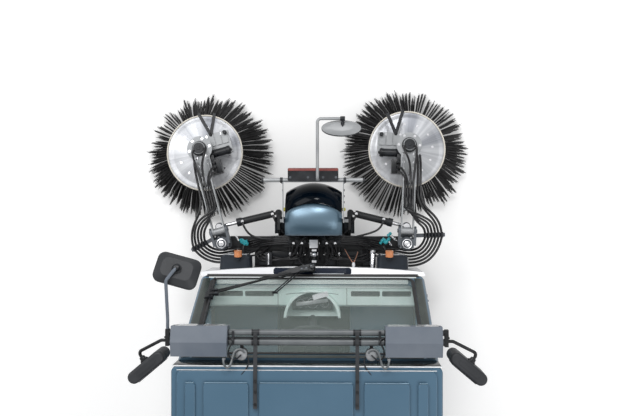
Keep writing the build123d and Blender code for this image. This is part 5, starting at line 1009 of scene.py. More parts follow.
    brackets = bmesh.new()
    addBlocks(brackets, 0.001, ((0.046, 0.006, 0.08), (-0.364, -0.506, 0.55)),
              ((0.046, 0.006, 0.06), (0.44, -0.56, 0.556)), ((0.046, 0.006, 0.066), (-0.44, -0.566, 0.553)),
              ((0.04, 0.08, 0.006), (0.288, -0.446, 0.556)), ((0.014, 0.006, 0.048), (0.288, -0.486, 0.532)))
    # Solenoid valves on the block, three each side of the top link
    for sign in (1, -1):
        for number in range(3):
            x = sign * (0.058 + 0.046 * number)
            addBlock(brackets, (0.034, 0.036, 0.036), level(x, -0.556, 0.584), 0.003)
            addTurned(brackets, ((0.0135, 0), (0.0135, 0.012), (0.01, 0.014), (0.01, 0.018)),
                      facing((x, -0.556, 0.602), (0, 0, 1)), 20)
            addBlock(brackets, (0.02, 0.012, 0.02), level(x, -0.581, 0.588), 0.002)
    finishPiece(brackets, "valveCoils", "head_black")

    plate = bmesh.new()
    addBlocks(plate, 0.001, ((0.052, 0.05, 0.004), (0.003, -0.543, 0.6525)),
              ((0.03, 0.028, 0.003), (0.003, -0.543, 0.656)))
    finishPiece(plate, "linkPlate", "pale_plate")

    wire = bmesh.new()
    addHose(wire, ((-0.189, -0.508, 0.562), (-0.206, -0.476, 0.57), (-0.228, -0.44, 0.57), (-0.243, -0.418, 0.566)),
            0.0026, 6)
    addHose(wire, ((-0.273, -0.492, 0.562), (-0.266, -0.466, 0.57), (-0.252, -0.436, 0.57), (-0.245, -0.418, 0.566)),
            0.0026, 6)
    finishPiece(wire, "pinWire", "copper_wire", 60)
    tag = bmesh.new()
    addTurned(tag, ((0.004, 0), (0.008, 0.002), (0.01, 0.012), (0.01, 0.024), (0.007, 0.03)),
              facing((-0.245, -0.425, 0.566), (0, 1, 0)), 16)
    finishPiece(tag, "pinTag", "pale_plate")

    spots = []
    for sign in (1, -1):
        for x in (0.52, 0.48, 0.26, 0.3):
            spots.append(((sign * x, -0.572, 0.5105), (0, 0, 1)))
        for y in (-0.69, -0.65):
            spots.append(((sign * 0.2285, y, 0.54), (sign, 0, 0)))
        for y, z in ((-0.5, 0.42), (-0.478, 0.45)):
            spots.append(((sign * 0.2105, y, z), (sign, 0, 0)))
    addFasteners("carrierBolts", spots, "chassis", 0.0075, 0.006, "black_steel")


addCarrierLines()


boardLamps = {"count": 6, "first": -0.115, "gap": 0.046}


def addFrontBar():
    strip = bmesh.new()
    addBlock(strip, (0.296, 0.015, 0.003), level(0, -0.9935, 0.872), 0.001)
    finishPiece(strip, "boardStrip", "deep_red")
    # Row of small lamps below the board, each with a bezel
    lenses = bmesh.new()
    bezels = bmesh.new()
    for number in range(boardLamps["count"]):
        at = facing((boardLamps["first"] + boardLamps["gap"] * number, -0.969, 0.8088), (0, 0, -1))
        addTurned(bezels, ((0.0158, -0.012), (0.0166, -0.01), (0.0166, 0.003), (0.0128, 0.003), (0.0128, -0.001),
                           (0.014, -0.012)), at, 24, ring=True)
        addTurned(lenses, ((0.0126, -0.001), (0.0126, 0.001), (0.009, 0.0035), (0.004, 0.0045)), at, 24)
    finishPiece(bezels, "boardBezels", "dark_plastic")
    finishPiece(lenses, "boardLenses", "clear_lens", 60)
    spots = [((x, -0.947, 0.8718), (0, 0, 1)) for x in (-0.136, -0.06, 0.03, 0.136)]
    for sign in (1, -1):
        spots += [((sign * 0.1842, y, z), (sign, 0, 0)) for y, z in ((-0.7, 0.64), (-0.684, 0.624), (-0.915, 0.842))]
        spots += [((sign * 0.16, -0.69, 0.6335), (0, 0, 1))]
    addFasteners("barBolts", spots, "chassis", 0.0055, 0.005, "post_steel")
    caps = bmesh.new()
    for sign in (1, -1):
        at = facing((sign * 0.296, -0.932, 0.842), (sign, 0, 0))
        addTurned(caps, ((0.0125, 0), (0.0138, 0.001), (0.0138, 0.011), (0.011, 0.0128)), at, 24)
        at = facing((sign * 0.181, -0.932, 0.842), (sign, 0, 0))
        addTurned(caps, ((0.0125, 0), (0.0165, 0.001), (0.0165, 0.016), (0.0125, 0.017)), at, 24)
        for step in range(3):
            at = facing((sign * 0.1842, -0.8 - 0.036 * step, 0.742 + 0.031 * step), (sign, 0, 0))
            addTurned(caps, ((0.004, -0.001), (0.007, 0), (0.007, 0.003), (0.0035, 0.0042)), at, 16)
    finishPiece(caps, "barCaps", "dark_plastic")
    # Folded cheeks beside the cowl, and brass bleed screws where the swing cylinders start
    cheeks = bmesh.new()
    for sign in (1, -1):
        addBlock(cheeks, (0.066, 0.104, 0.04), level(sign * 0.218, -0.656, 0.494), 0.004)
        addBlock(cheeks, (0.004, 0.104, 0.02), level(sign * 0.249, -0.656, 0.52), 0.001)
    finishPiece(cheeks, "cowlCheeks", "pod_plastic")
    knobs = bmesh.new()
    for sign in (1, -1):
        addTurned(knobs, ((0.01, -0.02), (0.0125, 0.008), (0.0125, 0.014), (0.008, 0.017), (0.005, 0.017),
                          (0.004, 0.024)),
                  level(sign * 0.1835, -0.756, 0.6), 20)
    finishPiece(knobs, "brassScrews", "brass")


addFrontBar()


frontMirror = {"place": (-0.169, -1.231, 0.92), "up": (0, -0.34, 1), "sides": 64}


def addFrontMirror():
    # The round front mirror: pale back with a dark rubber edge and a chromed rim below
    at = facing(frontMirror["place"], frontMirror["up"], (1, 0, 0))
    turns = [2 * math.pi * step / frontMirror["sides"] for step in range(frontMirror["sides"])]

    def ovalRings(bm, rings, ring=False):
        addLoops(bm, [[bm.verts.new(at @ Vector((wide * math.cos(turn), deep * math.sin(turn), height)))
                       for turn in turns] for wide, deep, height in rings], ring)

    shell = bmesh.new()
    ovalRings(shell, ((0.115, 0.048, 0.0105), (0.1158, 0.0488, 0.0125), (0.104, 0.043, 0.0185),
                      (0.088, 0.035, 0.0245), (0.071, 0.027, 0.03), (0.069, 0.025, 0.0306)))
    finishPiece(shell, "frontMirrorBack", "mirror_pale", 40)
    edge = bmesh.new()
    ovalRings(edge, ((0.1152, 0.0482, -0.0008), (0.1178, 0.0508, 0.0012), (0.1178, 0.0508, 0.01),
                     (0.1158, 0.0488, 0.0118), (0.114, 0.047, 0.01), (0.114, 0.047, 0.0005)), ring=True)
    finishPiece(edge, "frontMirrorEdge", "dark_plastic", 40)
    glass = bmesh.new()
    ovalRings(glass, ((0.06, 0.02, -0.005), (0.095, 0.036, -0.0035), (0.113, 0.0462, -0.0006),
                      (0.113, 0.0462, 0.0006)))
    finishPiece(glass, "frontMirrorGlass", "mirror_glass", 60)
    clamp = bmesh.new()
    addTurned(clamp, ((0.0125, -0.014), (0.014, -0.012), (0.014, 0.012), (0.0125, 0.014)),
              facing((-0.176, -1.289, 0.945), (1, 0, 0)), 20)
    addTurned(clamp, ((0.011, 0), (0.011, 0.018), (0.008, 0.022)), facing((-0.176, -1.252, 0.944), (0, -1, 0)), 16)
    finishPiece(clamp, "frontMirrorClamp", "head_black")


addFinish("mirror_pale", ((0.22, 0.23, 0.24), (0.34, 0.35, 0.36)), (0.3, 0.42), 5, 600, 0.05)
addFinish("mirror_glass", ((0.86, 0.87, 0.88), (0.92, 0.93, 0.94)), (0.015, 0.03), 3, 40, 0.0, Metallic=1.0)
addFrontMirror()
print("front carrier dressed")


# The windscreen's surround. A point on the screen has a width, a rise along it and a height above it
screenSetup = {
    "base": Vector((0, -0.371, 1.01)),
    "up": Vector((0, 0.4041, 0.9147)),
    "out": Vector((0, -0.9147, 0.4041)),
    "width": 1.15,
    "length": 0.7886,
    "middle": 0.4293,
    "corner": 0.04,
}
addFinish("screen_seal", ((0.006, 0.006, 0.007), (0.014, 0.014, 0.015)), (0.45, 0.6), 20, 500, 0.1)
addFinish("screen_edge", ((0.012, 0.02, 0.018), (0.03, 0.042, 0.036)), (0.12, 0.2), 9, 500, 0.03,
          Specular_IOR_Level=0.4)
# A pale white for the dial marks, and for the painted highlight along the screen's foot
addFinish("sill_white", ((0.7, 0.76, 0.76), (0.82, 0.86, 0.86)), (0.3, 0.4), 9, 500, 0.03)
addFinish("cast_silver", ((0.66, 0.68, 0.7), (0.82, 0.83, 0.85)), (0.25, 0.4), 30, 500, 0.1, Metallic=0.4)


def screenPoint(x, rise, height):
    return screenSetup["base"] + Vector((x, 0, 0)) + screenSetup["up"] * rise + screenSetup["out"] * height


def sideMatrix(sign, x):
    # The side view as a plane: local X runs back along Y, local Y is up, local Z points out
    return Matrix(((0, 0, sign, sign * x), (1, 0, 0, 0), (0, 1, 0, 0), (0, 0, 0, 1)))


def addScreenTrim():
    at = facing(screenPoint(0, screenSetup["middle"], 0), screenSetup["out"], (1, 0, 0))
    width, length, corner = screenSetup["width"], screenSetup["length"], screenSetup["corner"]
    seal = bmesh.new()
    addBand(seal, roundedOutline(width - 0.018, length - 0.014, corner - 0.008),
            roundedOutline(width + 0.02, length + 0.014, corner + 0.007),
            0.0004, 0.0052, at)
    addBlock(seal, (1.236, 0.013, 0.003), facing(screenPoint(0, 0.0068, 0.0016), screenSetup["out"], (1, 0, 0)),
             0.001)
    finishPiece(seal, "screenSeal", "screen_seal", 60)
    # A pale strip on the screen just above its foot: a painted highlight for the dash's lit front edge
    line = bmesh.new()
    addBlock(line, (1.196, 0.0125, 0.0022), facing(screenPoint(0, 0.02, 0.0012), screenSetup["out"], (1, 0, 0)),
             0.0008)
    finishPiece(line, "sillLine", "sill_white")
    strips = bmesh.new()
    for sign in (1, -1):
        section = [(0.5865, 0.0004), (0.612, 0.0004), (0.619, -0.0003), (0.626, -0.0024), (0.631, -0.005)]
        rises = (0.0285, 0.3, 0.58, 0.86)
        rows = []
        for rise in rises:
            low = [strips.verts.new(screenPoint(sign * x, rise, height)) for x, height in section]
            high = [strips.verts.new(screenPoint(sign * (x + 0.0003), rise, height + 0.0012))
                    for x, height in section]
            rows.append(low + list(reversed(high)))
        addLoops(strips, rows)
    addBlock(strips, (1.15, 0.026, 0.0012), facing(screenPoint(0, 0.85, 0.0011), screenSetup["out"], (1, 0, 0)), 0)
    finishPiece(strips, "screenEdges", "screen_edge", 50)


dashShape = {
    "vents": (0.308, 0.488, -0.308, -0.488),
    # place across and radius of each dial
    "dials": ((-0.07, 0.026), (0.0, 0.032), (0.07, 0.026)),
}


def addDashTrim():
    slats = bmesh.new()
    frames = bmesh.new()
    ventUp = (0, 0.151, 0.9885)
    for x in dashShape["vents"]:
        at = facing((x, -0.267, 0.992), ventUp, (1, 0, 0))
        addBand(frames, roundedOutline(0.16, 0.024, 0.004, 3), roundedOutline(0.174, 0.038, 0.008, 3), 0.0006,
                0.0034, at)
        growSlats(4, (x, -0.2755, 0.988), (0, 0.0057, -0.0009), (0.16, 0.0016, 0.011), (0.55, 0, 0),
                  "vent_grey", slats)
        for rib in range(5):
            addBlock(slats, (0.002, 0.026, 0.006), facing((x - 0.056 + 0.028 * rib, -0.267, 0.984), ventUp,
                    (1, 0, 0)), 0)
    finishPiece(slats, "ventSlats", "vent_grey")
    finishPiece(frames, "ventFrames", "vent_grey", 40)
    panel = bmesh.new()
    at = facing((0, -0.212, 0.96), (0, 0.25, 1), (1, 0, 0))
    addBlock(panel, (0.24, 0.088, 0.02), at, 0.006)
    addBlock(panel, (0.2, 0.06, 0.03), level(0, -0.206, 0.944), 0.003)
    finishPiece(panel, "instrumentPanel", "dark_plastic")
    dials = bmesh.new()
    marks = bmesh.new()
    for x, radius in dashShape["dials"]:
        dial = shifted(at, x, 0, 0.01)
        addTurned(dials, ((radius, 0), (radius, 0.003), (radius - 0.003, 0.003), (radius - 0.003, 0.0008),
                          (radius - 0.003, 0)), dial, 40, ring=True)
        for step in range(9):
            turn = math.radians(-120 + 30 * step)
            mark = shifted(dial @ Matrix.Rotation(turn, 4, "Z"), 0, radius - 0.0075, 0.0006)
            addBlock(marks, (0.0012, 0.004, 0.0006), mark, 0)
        needle = shifted(dial @ Matrix.Rotation(math.radians(-50), 4, "Z"), 0, radius * 0.3, 0.0012)
        addBlock(marks, (0.0014, radius * 0.7, 0.0008), needle, 0)
    finishPiece(dials, "dialRims", "cast_silver", 40)
    finishPiece(marks, "dialMarks", "sill_white")
    bar = bmesh.new()
    addBlock(bar, (0.186, 0.021, 0.01), facing((0.0015, -0.218, 1.0), (0, 0.2, 1), (1, 0.136, 0)), 0.004)
    finishPiece(bar, "dashBar", "cast_silver", 40)
    legs = bmesh.new()
    for x in (-0.075, 0.078):
        addBlock(legs, (0.012, 0.012, 0.066), level(x, -0.219, 0.966), 0.002)
    addBlock(legs, (0.192, 0.012, 0.006), facing((0.0015, -0.204, 0.996), (0, 0.2, 1), (1, 0.136, 0)), 0.002)
    finishPiece(legs, "dashBarLegs", "dark_plastic")
    # A pale patch on the binnacle hood, a painted highlight
    patch = bmesh.new()
    addPlate(patch, roundedOutline(0.092, 0.03, 0.006, 3), 0.0014,
             facing((-0.048, -0.262, 1.0502), (0, 0, 1), (1, 0.3, 0)), 0)
    finishPiece(patch, "hoodHighlight", "pale_plate", slot="white_paint")
    # The shelf at the screen's foot, in a lighter copy of the dash plastic that is painted light
    shelf = bmesh.new()
    addPlate(shelf, [(-0.353, 1.044), (-0.327, 1.0335), (-0.315, 1.003), (-0.33, 1.0), (-0.329, 1.03),
                     (-0.353, 1.042)],
             1.14, sideMatrix(1, -0.57), 0)
    addBlock(shelf, (1.13, 0.03, 0.003), level(0, -0.316, 1.004), 0.001)
    finishPiece(shelf, "dashShelf", "shelf_plastic", 40)
    seams = bmesh.new()
    for x in (-0.2, 0.2):
        addBlock(seams, (0.003, 0.106, 0.0014), facing((x, -0.254, 0.9935), (0, 0.14, 1), (1, 0, 0)), 0)
    addHose(seams, ((-0.15, -0.268, 1.05), (-0.1, -0.277, 1.0512), (0, -0.2785, 1.0514), (0.1, -0.277, 1.0512),
                    (0.15, -0.268, 1.05)), 0.0016, 6)
    finishPiece(seams, "dashSeams", "vent_grey", 40)


# A lighter copy of the dash plastic for the shelf, painted light that lifts it out of the roof's shade
addFinish("shelf_plastic", ((0.88, 0.97, 0.95), (0.93, 0.99, 0.97)), (0.5, 0.65), 6, 700, 0.2)
addFinish("vent_grey", ((0.06, 0.075, 0.07), (0.105, 0.125, 0.118)), (0.4, 0.55), 14, 700, 0.15)
addScreenTrim()
addDashTrim()


coverSetup = {"y": -0.3975, "z": 0.998}
# A pale finish that paints a highlight on the nose cover's rear edge
addFinish("bead_white", ((0.62, 0.65, 0.7), (0.74, 0.77, 0.8)), (0.25, 0.35), 8, 500, 0.1)


def addWiperTrim():
    dark = bmesh.new()
    # The motor's tapered head and the two arms that leave it
    ledgeOut = Vector((0, -0.4125, 0.911)).normalized()
    at = facing((0.0, -0.424, 1.062), ledgeOut, (1, 0, 0))
    outline = []
    for step in range(9):
        turn = math.radians(100 + 20 * step)
        outline.append((0.024 * math.cos(turn) + 0.004, 0.022 * math.sin(turn)))
    outline += [(0.12, 0.01), (0.196, 0.04), (0.192, 0.055), (0.11, 0.04)]
    addPlate(dark, outline, 0.016, at, 0.004)
    addTurned(dark, ((0.017, -0.03), (0.017, 0.02), (0.013, 0.025), (0.007, 0.026)), at, 24)
    addBlock(dark, (0.05, 0.026, 0.012), shifted(at, 0.045, 0.016, 0.02), 0.003)
    # The bracket where the arms carry the blade, with its springs
    elbow = facing(screenPoint(0.556, 0.254, 0.022), screenSetup["out"], (1, 0, 0))
    addBlock(dark, (0.034, 0.096, 0.022), elbow, 0.004)
    addBlocks(dark, 0.003, ((0.056, 0.02, 0.014), (-0.018, 0.018, 0.01)),
              ((0.05, 0.016, 0.014), (-0.014, -0.024, 0.01)), ((0.016, 0.07, 0.012), (0.022, 0.02, 0.004)), at=elbow)
    for shift in (-0.03, 0, 0.03):
        addTurned(dark, ((0.008, 0), (0.008, 0.006), (0.005, 0.008)), shifted(elbow, 0, shift, 0.011), 16)
    # The blade's rubber and its yoke
    for rise in (0.07, 0.16, 0.34, 0.45, 0.55, 0.63):
        addBlock(dark, (0.014, 0.022, 0.018), facing(screenPoint(0.556, rise, 0.0135), screenSetup["out"], (1, 0, 0)),
                 0.003)
    addBlock(dark, (0.0045, 0.58, 0.012), facing(screenPoint(0.556, 0.35, 0.0075), screenSetup["out"], (1, 0, 0)),
             0.001)
    addBar(dark, screenPoint(0.556, 0.13, 0.0205), screenPoint(0.556, 0.59, 0.0205), 0.0035, 8)
    # A second, shorter pair of dark rods from the wiper head down the screen, with a small block at their foot and a
    # thin dark line that runs from the head to the screen
    for shift in (0, 0.016):
        addBar(dark, Vector((0.07 + shift, -0.396, 1.056)), screenPoint(0.194 + shift, 0.214, 0.01), 0.0036, 8)
    addBlock(dark, (0.03, 0.014, 0.01), facing(screenPoint(0.203, 0.214, 0.01), screenSetup["out"], (1, 0, 0)), 0.002)
    addHose(dark, ((0.02, -0.412, 1.078), (0.06, -0.408, 1.092), (0.12, -0.382, 1.086), (0.19, -0.36, 1.098),
                   screenPoint(0.26, 0.075, 0.04), screenPoint(0.3, 0.1, 0.038)), 0.003, 6)
    finishPiece(dark, "wiperHead", "head_black", 35)
    spots = [(elbow @ Vector((-0.03, 0.018, 0.017)), screenSetup["out"]),
             (elbow @ Vector((-0.028, -0.024, 0.017)), screenSetup["out"]),
             (at @ Vector((0.004, 0, 0.0255)), ledgeOut), (at @ Vector((0.032, 0.014, 0.026)), ledgeOut),
             (at @ Vector((0.058, 0.018, 0.026)), ledgeOut)]
    addFasteners("wiperBolts", spots, "chassis", 0.0045, 0.004, "post_steel")
    # The dark seal behind the ledge, and along its cover's rear edge a pale strip that is a painted highlight
    sealAndHighlightStrip = bmesh.new()
    addBlock(sealAndHighlightStrip, (1.22, 0.0105, 0.0026), facing((0, -0.3775, 1.015), ledgeOut, (1, 0, 0)), 0.0006)
    finishPiece(sealAndHighlightStrip, "ledgeSeal", "screen_seal")
    sealAndHighlightStrip = bmesh.new()
    cover = facing((-0.094, coverSetup["y"], coverSetup["z"]), ledgeOut, (1, 0, 0))
    addBlock(sealAndHighlightStrip, (0.18, 0.01, 0.0016), shifted(cover, 0, 0.0196, 0.007) @ Matrix.Rotation(math.radians(-58), 4, "X"),
             0.0004)
    finishPiece(sealAndHighlightStrip, "coverHighlight", "bead_white")


addWiperTrim()
print("windscreen, dash and wiper trimmed")


workLamps = {"across": (-0.578, -0.443, 0.443, 0.578), "front": -0.1955, "height": 1.941}


def addLampBoxTrim():
    lenses = bmesh.new()
    reflectors = bmesh.new()
    screws = []
    trims = bmesh.new()
    for x in workLamps["across"]:
        at = facing((x, workLamps["front"], workLamps["height"]), (0, -1, 0), (1, 0, 0))
        addPlate(reflectors, roundedOutline(0.108, 0.072, 0.012, 4), 0.0016, at, 0)
        addBand(reflectors, roundedOutline(0.102, 0.066, 0.01, 4), roundedOutline(0.11, 0.074, 0.013, 4),
                0.0016, 0.0055, at)
        for shift in (-0.026, 0.026):
            addTurned(reflectors, ((0.022, 0.0016), (0.017, 0.0025), (0.009, 0.005), (0.004, 0.0056)),
                      shifted(at, shift, 0, 0), 24)
        addPlate(lenses, roundedOutline(0.104, 0.068, 0.011, 4), 0.0024, shifted(at, 0, 0, 0.0058), 0.0006)
    finishPiece(reflectors, "workReflectors", "bright_rod", 40)
    finishPiece(lenses, "workLenses", "clear_lens", 40)
    for sign in (1, -1):
        for z in (1.925, 1.97):
            screws.append(((sign * 0.6455, -0.15, z), (sign, 0, 0)))
        addTurned(trims, ((0.009, 0), (0.009, 0.003), (0.006, 0.005)),
                  facing((sign * 0.645, -0.095, 1.955), (sign, 0, 0)), 16)
    finishPiece(trims, "lampBoxSeams", "dark_plastic")
    addFasteners("lampBoxScrews", screws, "chassis", 0.0042, 0.003)


lightBar = {
    "height": 1.95,
    # place along Y and radius of each tube
    "tubes": ((-0.169, 0.014), (-0.124, 0.0165)),
    "stay": 0.243,
    "end": 0.6545,
    "sleeve": 0.0007,
    "cableRound": ((0, 0, 0.008), (0.004, 0.004, 0.022), (0.028, 0.03, 0.026), (0.062, 0.01, 0.022),
                   (0.058, -0.04, 0.024), (0.03, -0.062, 0.016), (0.045, -0.08, 0.01), (0.07, -0.086, 0.004)),
    "cableBack": ((-0.02, 0, -0.004), (-0.04, 0.022, 0.0), (-0.034, 0.06, 0.006), (-0.01, 0.085, 0.01),
                  (0.004, 0.1, 0.006)),
}


def addLightBarTrim():
    dark = bmesh.new()
    pale = bmesh.new()
    sleeves = bmesh.new()
    tubes, high, sleeve = lightBar["tubes"], lightBar["height"], lightBar["sleeve"]
    for y, radius in tubes:
        addBar(sleeves, (-0.231, y, high), (0.231, y, high), radius + sleeve, 24)
    spots = []
    for sign in (1, -1):
        x = sign * lightBar["stay"]
        # Clamps round both tubes at each stay
        for y, radius in tubes:
            for shift in (-0.015, 0.015):
                at = facing((x + shift, y, high), (1, 0, 0))
                addTurned(dark, ((radius + 0.0003, -0.004), (radius + 0.0026, -0.004), (radius + 0.0026, 0.004),
                                 (radius + 0.0003, 0.004)), at, 24, ring=True)
        spots += [((x, y, 1.9742), (0, 0, 1)) for y in (-0.15, -0.112)]
        spots += [((x, y, 1.9884), (0, 0, 1)) for y in (0.06, 0.11, 0.17)]
        # A cable from each round lamp, looped over the tubes into the box
        knob = Vector((sign * 0.311, -0.065, 1.962))
        addTurned(pale, ((0.0275, -0.004), (0.0285, 0.002), (0.024, 0.007), (0.012, 0.011), (0.004, 0.012)),
                  facing(knob, (0, 0, 1)), 28)
        addTurned(pale, ((0.006, -0.03), (0.008, 0.002), (0.008, 0.012), (0.005, 0.016)),
                  level(sign * 0.392, -0.046, 1.985), 14)
        addHose(sleeves, mirrored(sign, (0.392, -0.046, 2.0), (0.392, -0.03, 2.01), (0.38, -0.004, 2.008),
                                  (0.362, -0.01, 1.998), (0.353, -0.04, 1.985), (0.346, -0.082, 1.976),
                                  (0.32, -0.096, 1.975), (0.3, -0.09, 1.975), (0.296, -0.074, 1.97)), 0.0056, 8)
        for y, radius in tubes:
            addBar(sleeves, (sign * 0.255, y, high), (sign * 0.3745, y, high), radius + sleeve, 24)
        for cable, radius in (("cableRound", 0.0038), ("cableBack", 0.0034)):
            addHose(dark, [knob + Vector(shift) for shift in mirrored(sign, *lightBar[cable])], radius, 8)
        for y, radius in tubes:
            addTurned(dark, ((0.012, 0), (0.015, 0.001), (0.015, 0.006), (0.011, 0.008)),
                      facing((sign * lightBar["end"], y, high), (sign, 0, 0)), 24)
        # A clip for the cable on the tubes
        addBlock(dark, (0.012, 0.064, 0.004), level(sign * 0.35, -0.1465, 1.9685), 0.001)
    addHose(dark, ((-0.38, -0.146, 1.958), (-0.34, -0.146, 1.966), (-0.2, -0.147, 1.9645), (0.0, -0.146, 1.964),
                   (0.2, -0.147, 1.9645), (0.34, -0.146, 1.966), (0.38, -0.146, 1.958)), 0.004, 8)
    finishPiece(pale, "roundLampTops", "lamp_grey", 40)
    finishPiece(sleeves, "lightBarSleeves", "tube_grey", 40)
    finishPiece(dark, "lightBarTrim", "head_black", 40)
    addFasteners("lightBarBolts", spots, "chassis", 0.0055, 0.005, "black_steel")


addFinish("lamp_grey", ((0.17, 0.18, 0.19), (0.3, 0.31, 0.32)), (0.3, 0.45), 40, 500, 0.1)
addFinish("tube_grey", ((0.085, 0.095, 0.102), (0.125, 0.137, 0.145)), (0.3, 0.45), 14, 500, 0.08)
addLampBoxTrim()
addLightBarTrim()


def addRoofFront():
    # A glossy black panel under the roof's front edge, and above it pale strips on the roof's front edges that are
    # painted highlights
    panel = bmesh.new()
    addBlock(panel, (1.288, 0.003, 0.15), level(0, -0.0098, 1.8785), 0.001)
    finishPiece(panel, "roofFrontPanel", "black_gloss")
    highlightStrips = bmesh.new()
    addBlock(highlightStrips, (1.29, 0.006, 0.0035), level(0, -0.009, 1.959), 0.001)
    addBlock(highlightStrips, (1.24, 0.003, 0.002), level(0, 0.008, 1.973), 0.0006)
    beads = bmesh.new()
    for x, width in ((0, 0.44), (0.3835, 0.207), (-0.3835, 0.207), (0.555, 0.04), (-0.555, 0.04)):
        addBar(beads, (x - width / 2, 0.0665, 1.9835), (x + width / 2, 0.0665, 1.9835), 0.0034, 10)
    finishPiece(beads, "roofBeads", "cowl_paint", 40)
    finishPiece(highlightStrips, "roofEdgeHighlights", "cast_silver")


# The cowl and its visor: bowed shells that follow one front curve
cowlShape = {"half": 0.1725, "back": -0.5975, "split": (-0.797, 0.062), "front": (-0.9205, 0.058), "bottom": 0.5005,
             "crown": 0.8465}
addFinish("cowl_paint", ((0.068, 0.132, 0.186), (0.08, 0.148, 0.206)), (0.3, 0.34), 4, 900, 0.02, Metallic=0.6,
          Coat_Weight=1.0, Coat_Roughness=0.32)
addFinish("visor_black", ((0.0006, 0.002, 0.004), (0.001, 0.004, 0.009)), (0.08, 0.14), 5, 700, 0.01,
          Specular_IOR_Level=0.06)


def addCowl():
    cowl, visor = [], []
    half, crown, bottom = cowlShape["half"], cowlShape["crown"], cowlShape["bottom"]
    for number in range(29):
        u = -1 + number / 14
        x = half * math.sin(u * math.pi / 2) if abs(u) > 0.99 else half * u
        fall = 0.028 * u * u + 0.02 * u ** 8
        split = cowlShape["split"][0] + cowlShape["split"][1] * u * u
        front = cowlShape["front"][0] + cowlShape["front"][1] * u * u
        back = cowlShape["back"]
        section = [Vector((x, split, bottom)), Vector((x, back, bottom))]
        for step in range(15):
            y = back + (split - back) * step / 14
            section.append(Vector((x, y, crown - fall - 3.0 * (y + 0.7) ** 2 - (0.012 if step in (0, 14) else 0))))
        cowl.append(section)
        section = [Vector((x, front, bottom)), Vector((x, split - 0.001, bottom))]
        for step in range(13):
            t = step / 12
            y = split - 0.001 + (front - split) * math.sin(t * math.pi / 2)
            section.append(Vector((x, y, crown - fall - 0.022 - 0.2 * (1 - math.cos(t * math.pi / 2)))))
        visor.append(section)
    for sections, name, finish, slot, node in (
        (cowl, "cowlShell", "cowl_paint", "blue_grey_paint", "cowl"),
        (visor, "visorShell", "visor_black", "black_gloss", "cowl_visor"),
    ):
        shell = bmesh.new()
        addLoops(shell, [[shell.verts.new(point) for point in section] for section in sections])
        piece = finishPiece(shell, name, finish, 42, slot=slot)
        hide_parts(node)


addRoofFront()
addCowl()


mirrorShape = {
    "turn": 40,
    "middle": (0.776, 0.005, 1.86),
    "halfThick": 0.0312,
    "kerbPlace": (0.6233, -0.461, 1.936),
    "kerbUp": (-0.1, -0.35, 1),
}


def addMirrorTrim():
    glass = bmesh.new()
    edges = bmesh.new()
    clamps = bmesh.new()
    turn = math.radians(mirrorShape["turn"])
    thick = mirrorShape["halfThick"]
    for sign in (1, -1):
        along = Vector((sign * math.cos(turn), math.sin(turn), 0))
        back = Vector((-sign * math.sin(turn), math.cos(turn), 0))
        middle = Vector(mirrored(sign, mirrorShape["middle"])[0])
        at = facing(middle + back * thick, back, along)
        addPlate(glass, roundedOutline(0.146, 0.142, 0.012, 4), 0.0012, at, 0)
        addBand(edges, roundedOutline(0.144, 0.14, 0.011, 4), roundedOutline(0.152, 0.152, 0.016, 4), 0.0002,
                0.004, at)
        top = facing(middle + Vector((0, 0, 0.088)), (0, 0, 1), along)
        addPlate(edges, roundedOutline(0.12, 0.02, 0.009, 4), 0.0022, top, 0.0008)
        # The joint of the arm at the shell, and the clamp's bolts on the bar
        joint = middle - back * thick + Vector((0, 0, 0.03)) - along * 0.006
        addTurned(clamps, ((0.022, 0), (0.022, 0.006), (0.016, 0.01), (0.014, 0.022), (0.01, 0.024)),
                  facing(joint, -back), 24)
        for height in (-0.012, 0.012):
            addTurned(clamps, ((0.0055, 0), (0.0055, 0.004), (0.0035, 0.005)),
                      facing((sign * 0.6765, -0.1465, 1.95 + height), (sign, 0, 0)), 6)
    finishPiece(glass, "sideMirrorGlass", "mirror_glass", 60)
    kerb = facing(mirrorShape["kerbPlace"], mirrorShape["kerbUp"], (0.96, -0.26, 0))
    glass = bmesh.new()
    addPlate(glass, roundedOutline(0.19, 0.128, 0.026, 5), 0.0012, shifted(kerb, 0, 0, -0.001), 0)
    finishPiece(glass, "kerbMirrorGlass", "mirror_glass", 60)
    addBand(edges, roundedOutline(0.2118, 0.1478, 0.0338, 5), roundedOutline(0.2165, 0.1525, 0.036, 5), 0.0,
            0.012, kerb)
    addTurned(clamps, ((0.024, 0.0422), (0.024, 0.046), (0.017, 0.05), (0.0125, 0.066), (0.01, 0.067)), kerb, 24)
    finishPiece(edges, "mirrorEdges", "dark_plastic", 40)
    finishPiece(clamps, "mirrorClamps", "head_black", 35)


addMirrorTrim()
print("roof gear and mirrors trimmed")


podLamp = (0.481, -0.478, 0.646)


def addPodTrim():
    rims = bmesh.new()
    bulbs = bmesh.new()
    spots = []
    for sign in (1, -1):
        at = facing(mirrored(sign, podLamp)[0], (0, -1, 0), (1, 0, 0))
        addTurned(rims, ((0.0655, -0.003), (0.0655, 0.001), (0.069, 0.0026), (0.0715, 0.001), (0.0715, 0.0001),
                         (0.0665, 0.0001), (0.0665, -0.003)), at, 56, ring=True)
        for ring in (0.018, 0.032, 0.046):
            addTurned(bulbs, ((ring - 0.0014, 0.004), (ring, 0.0056), (ring + 0.0014, 0.004)), at, 40, ring=True)
        addTurned(bulbs, ((0.008, 0.004), (0.007, 0.0062), (0.003, 0.007)), at, 24)
        spots += [(at @ Vector((x, y, -0.0005)), (0, -1, 0)) for x in (-0.06708, 0.06708) for y in (0.062, -0.066)]
        # Louvres in the lamp pod's outer side
        growSlats(4, (sign * 0.5766, -0.43, 0.61), (0, 0, 0.024), (0.0024, 0.05, 0.006), (0, 0, 0),
                  "pod_plastic", rims)
    finishPiece(rims, "podRims", "cast_silver", 40)
    finishPiece(bulbs, "podLensRings", "clear_lens", 60)
    addFasteners("podScrews", spots, "chassis", 0.0045, 0.003)


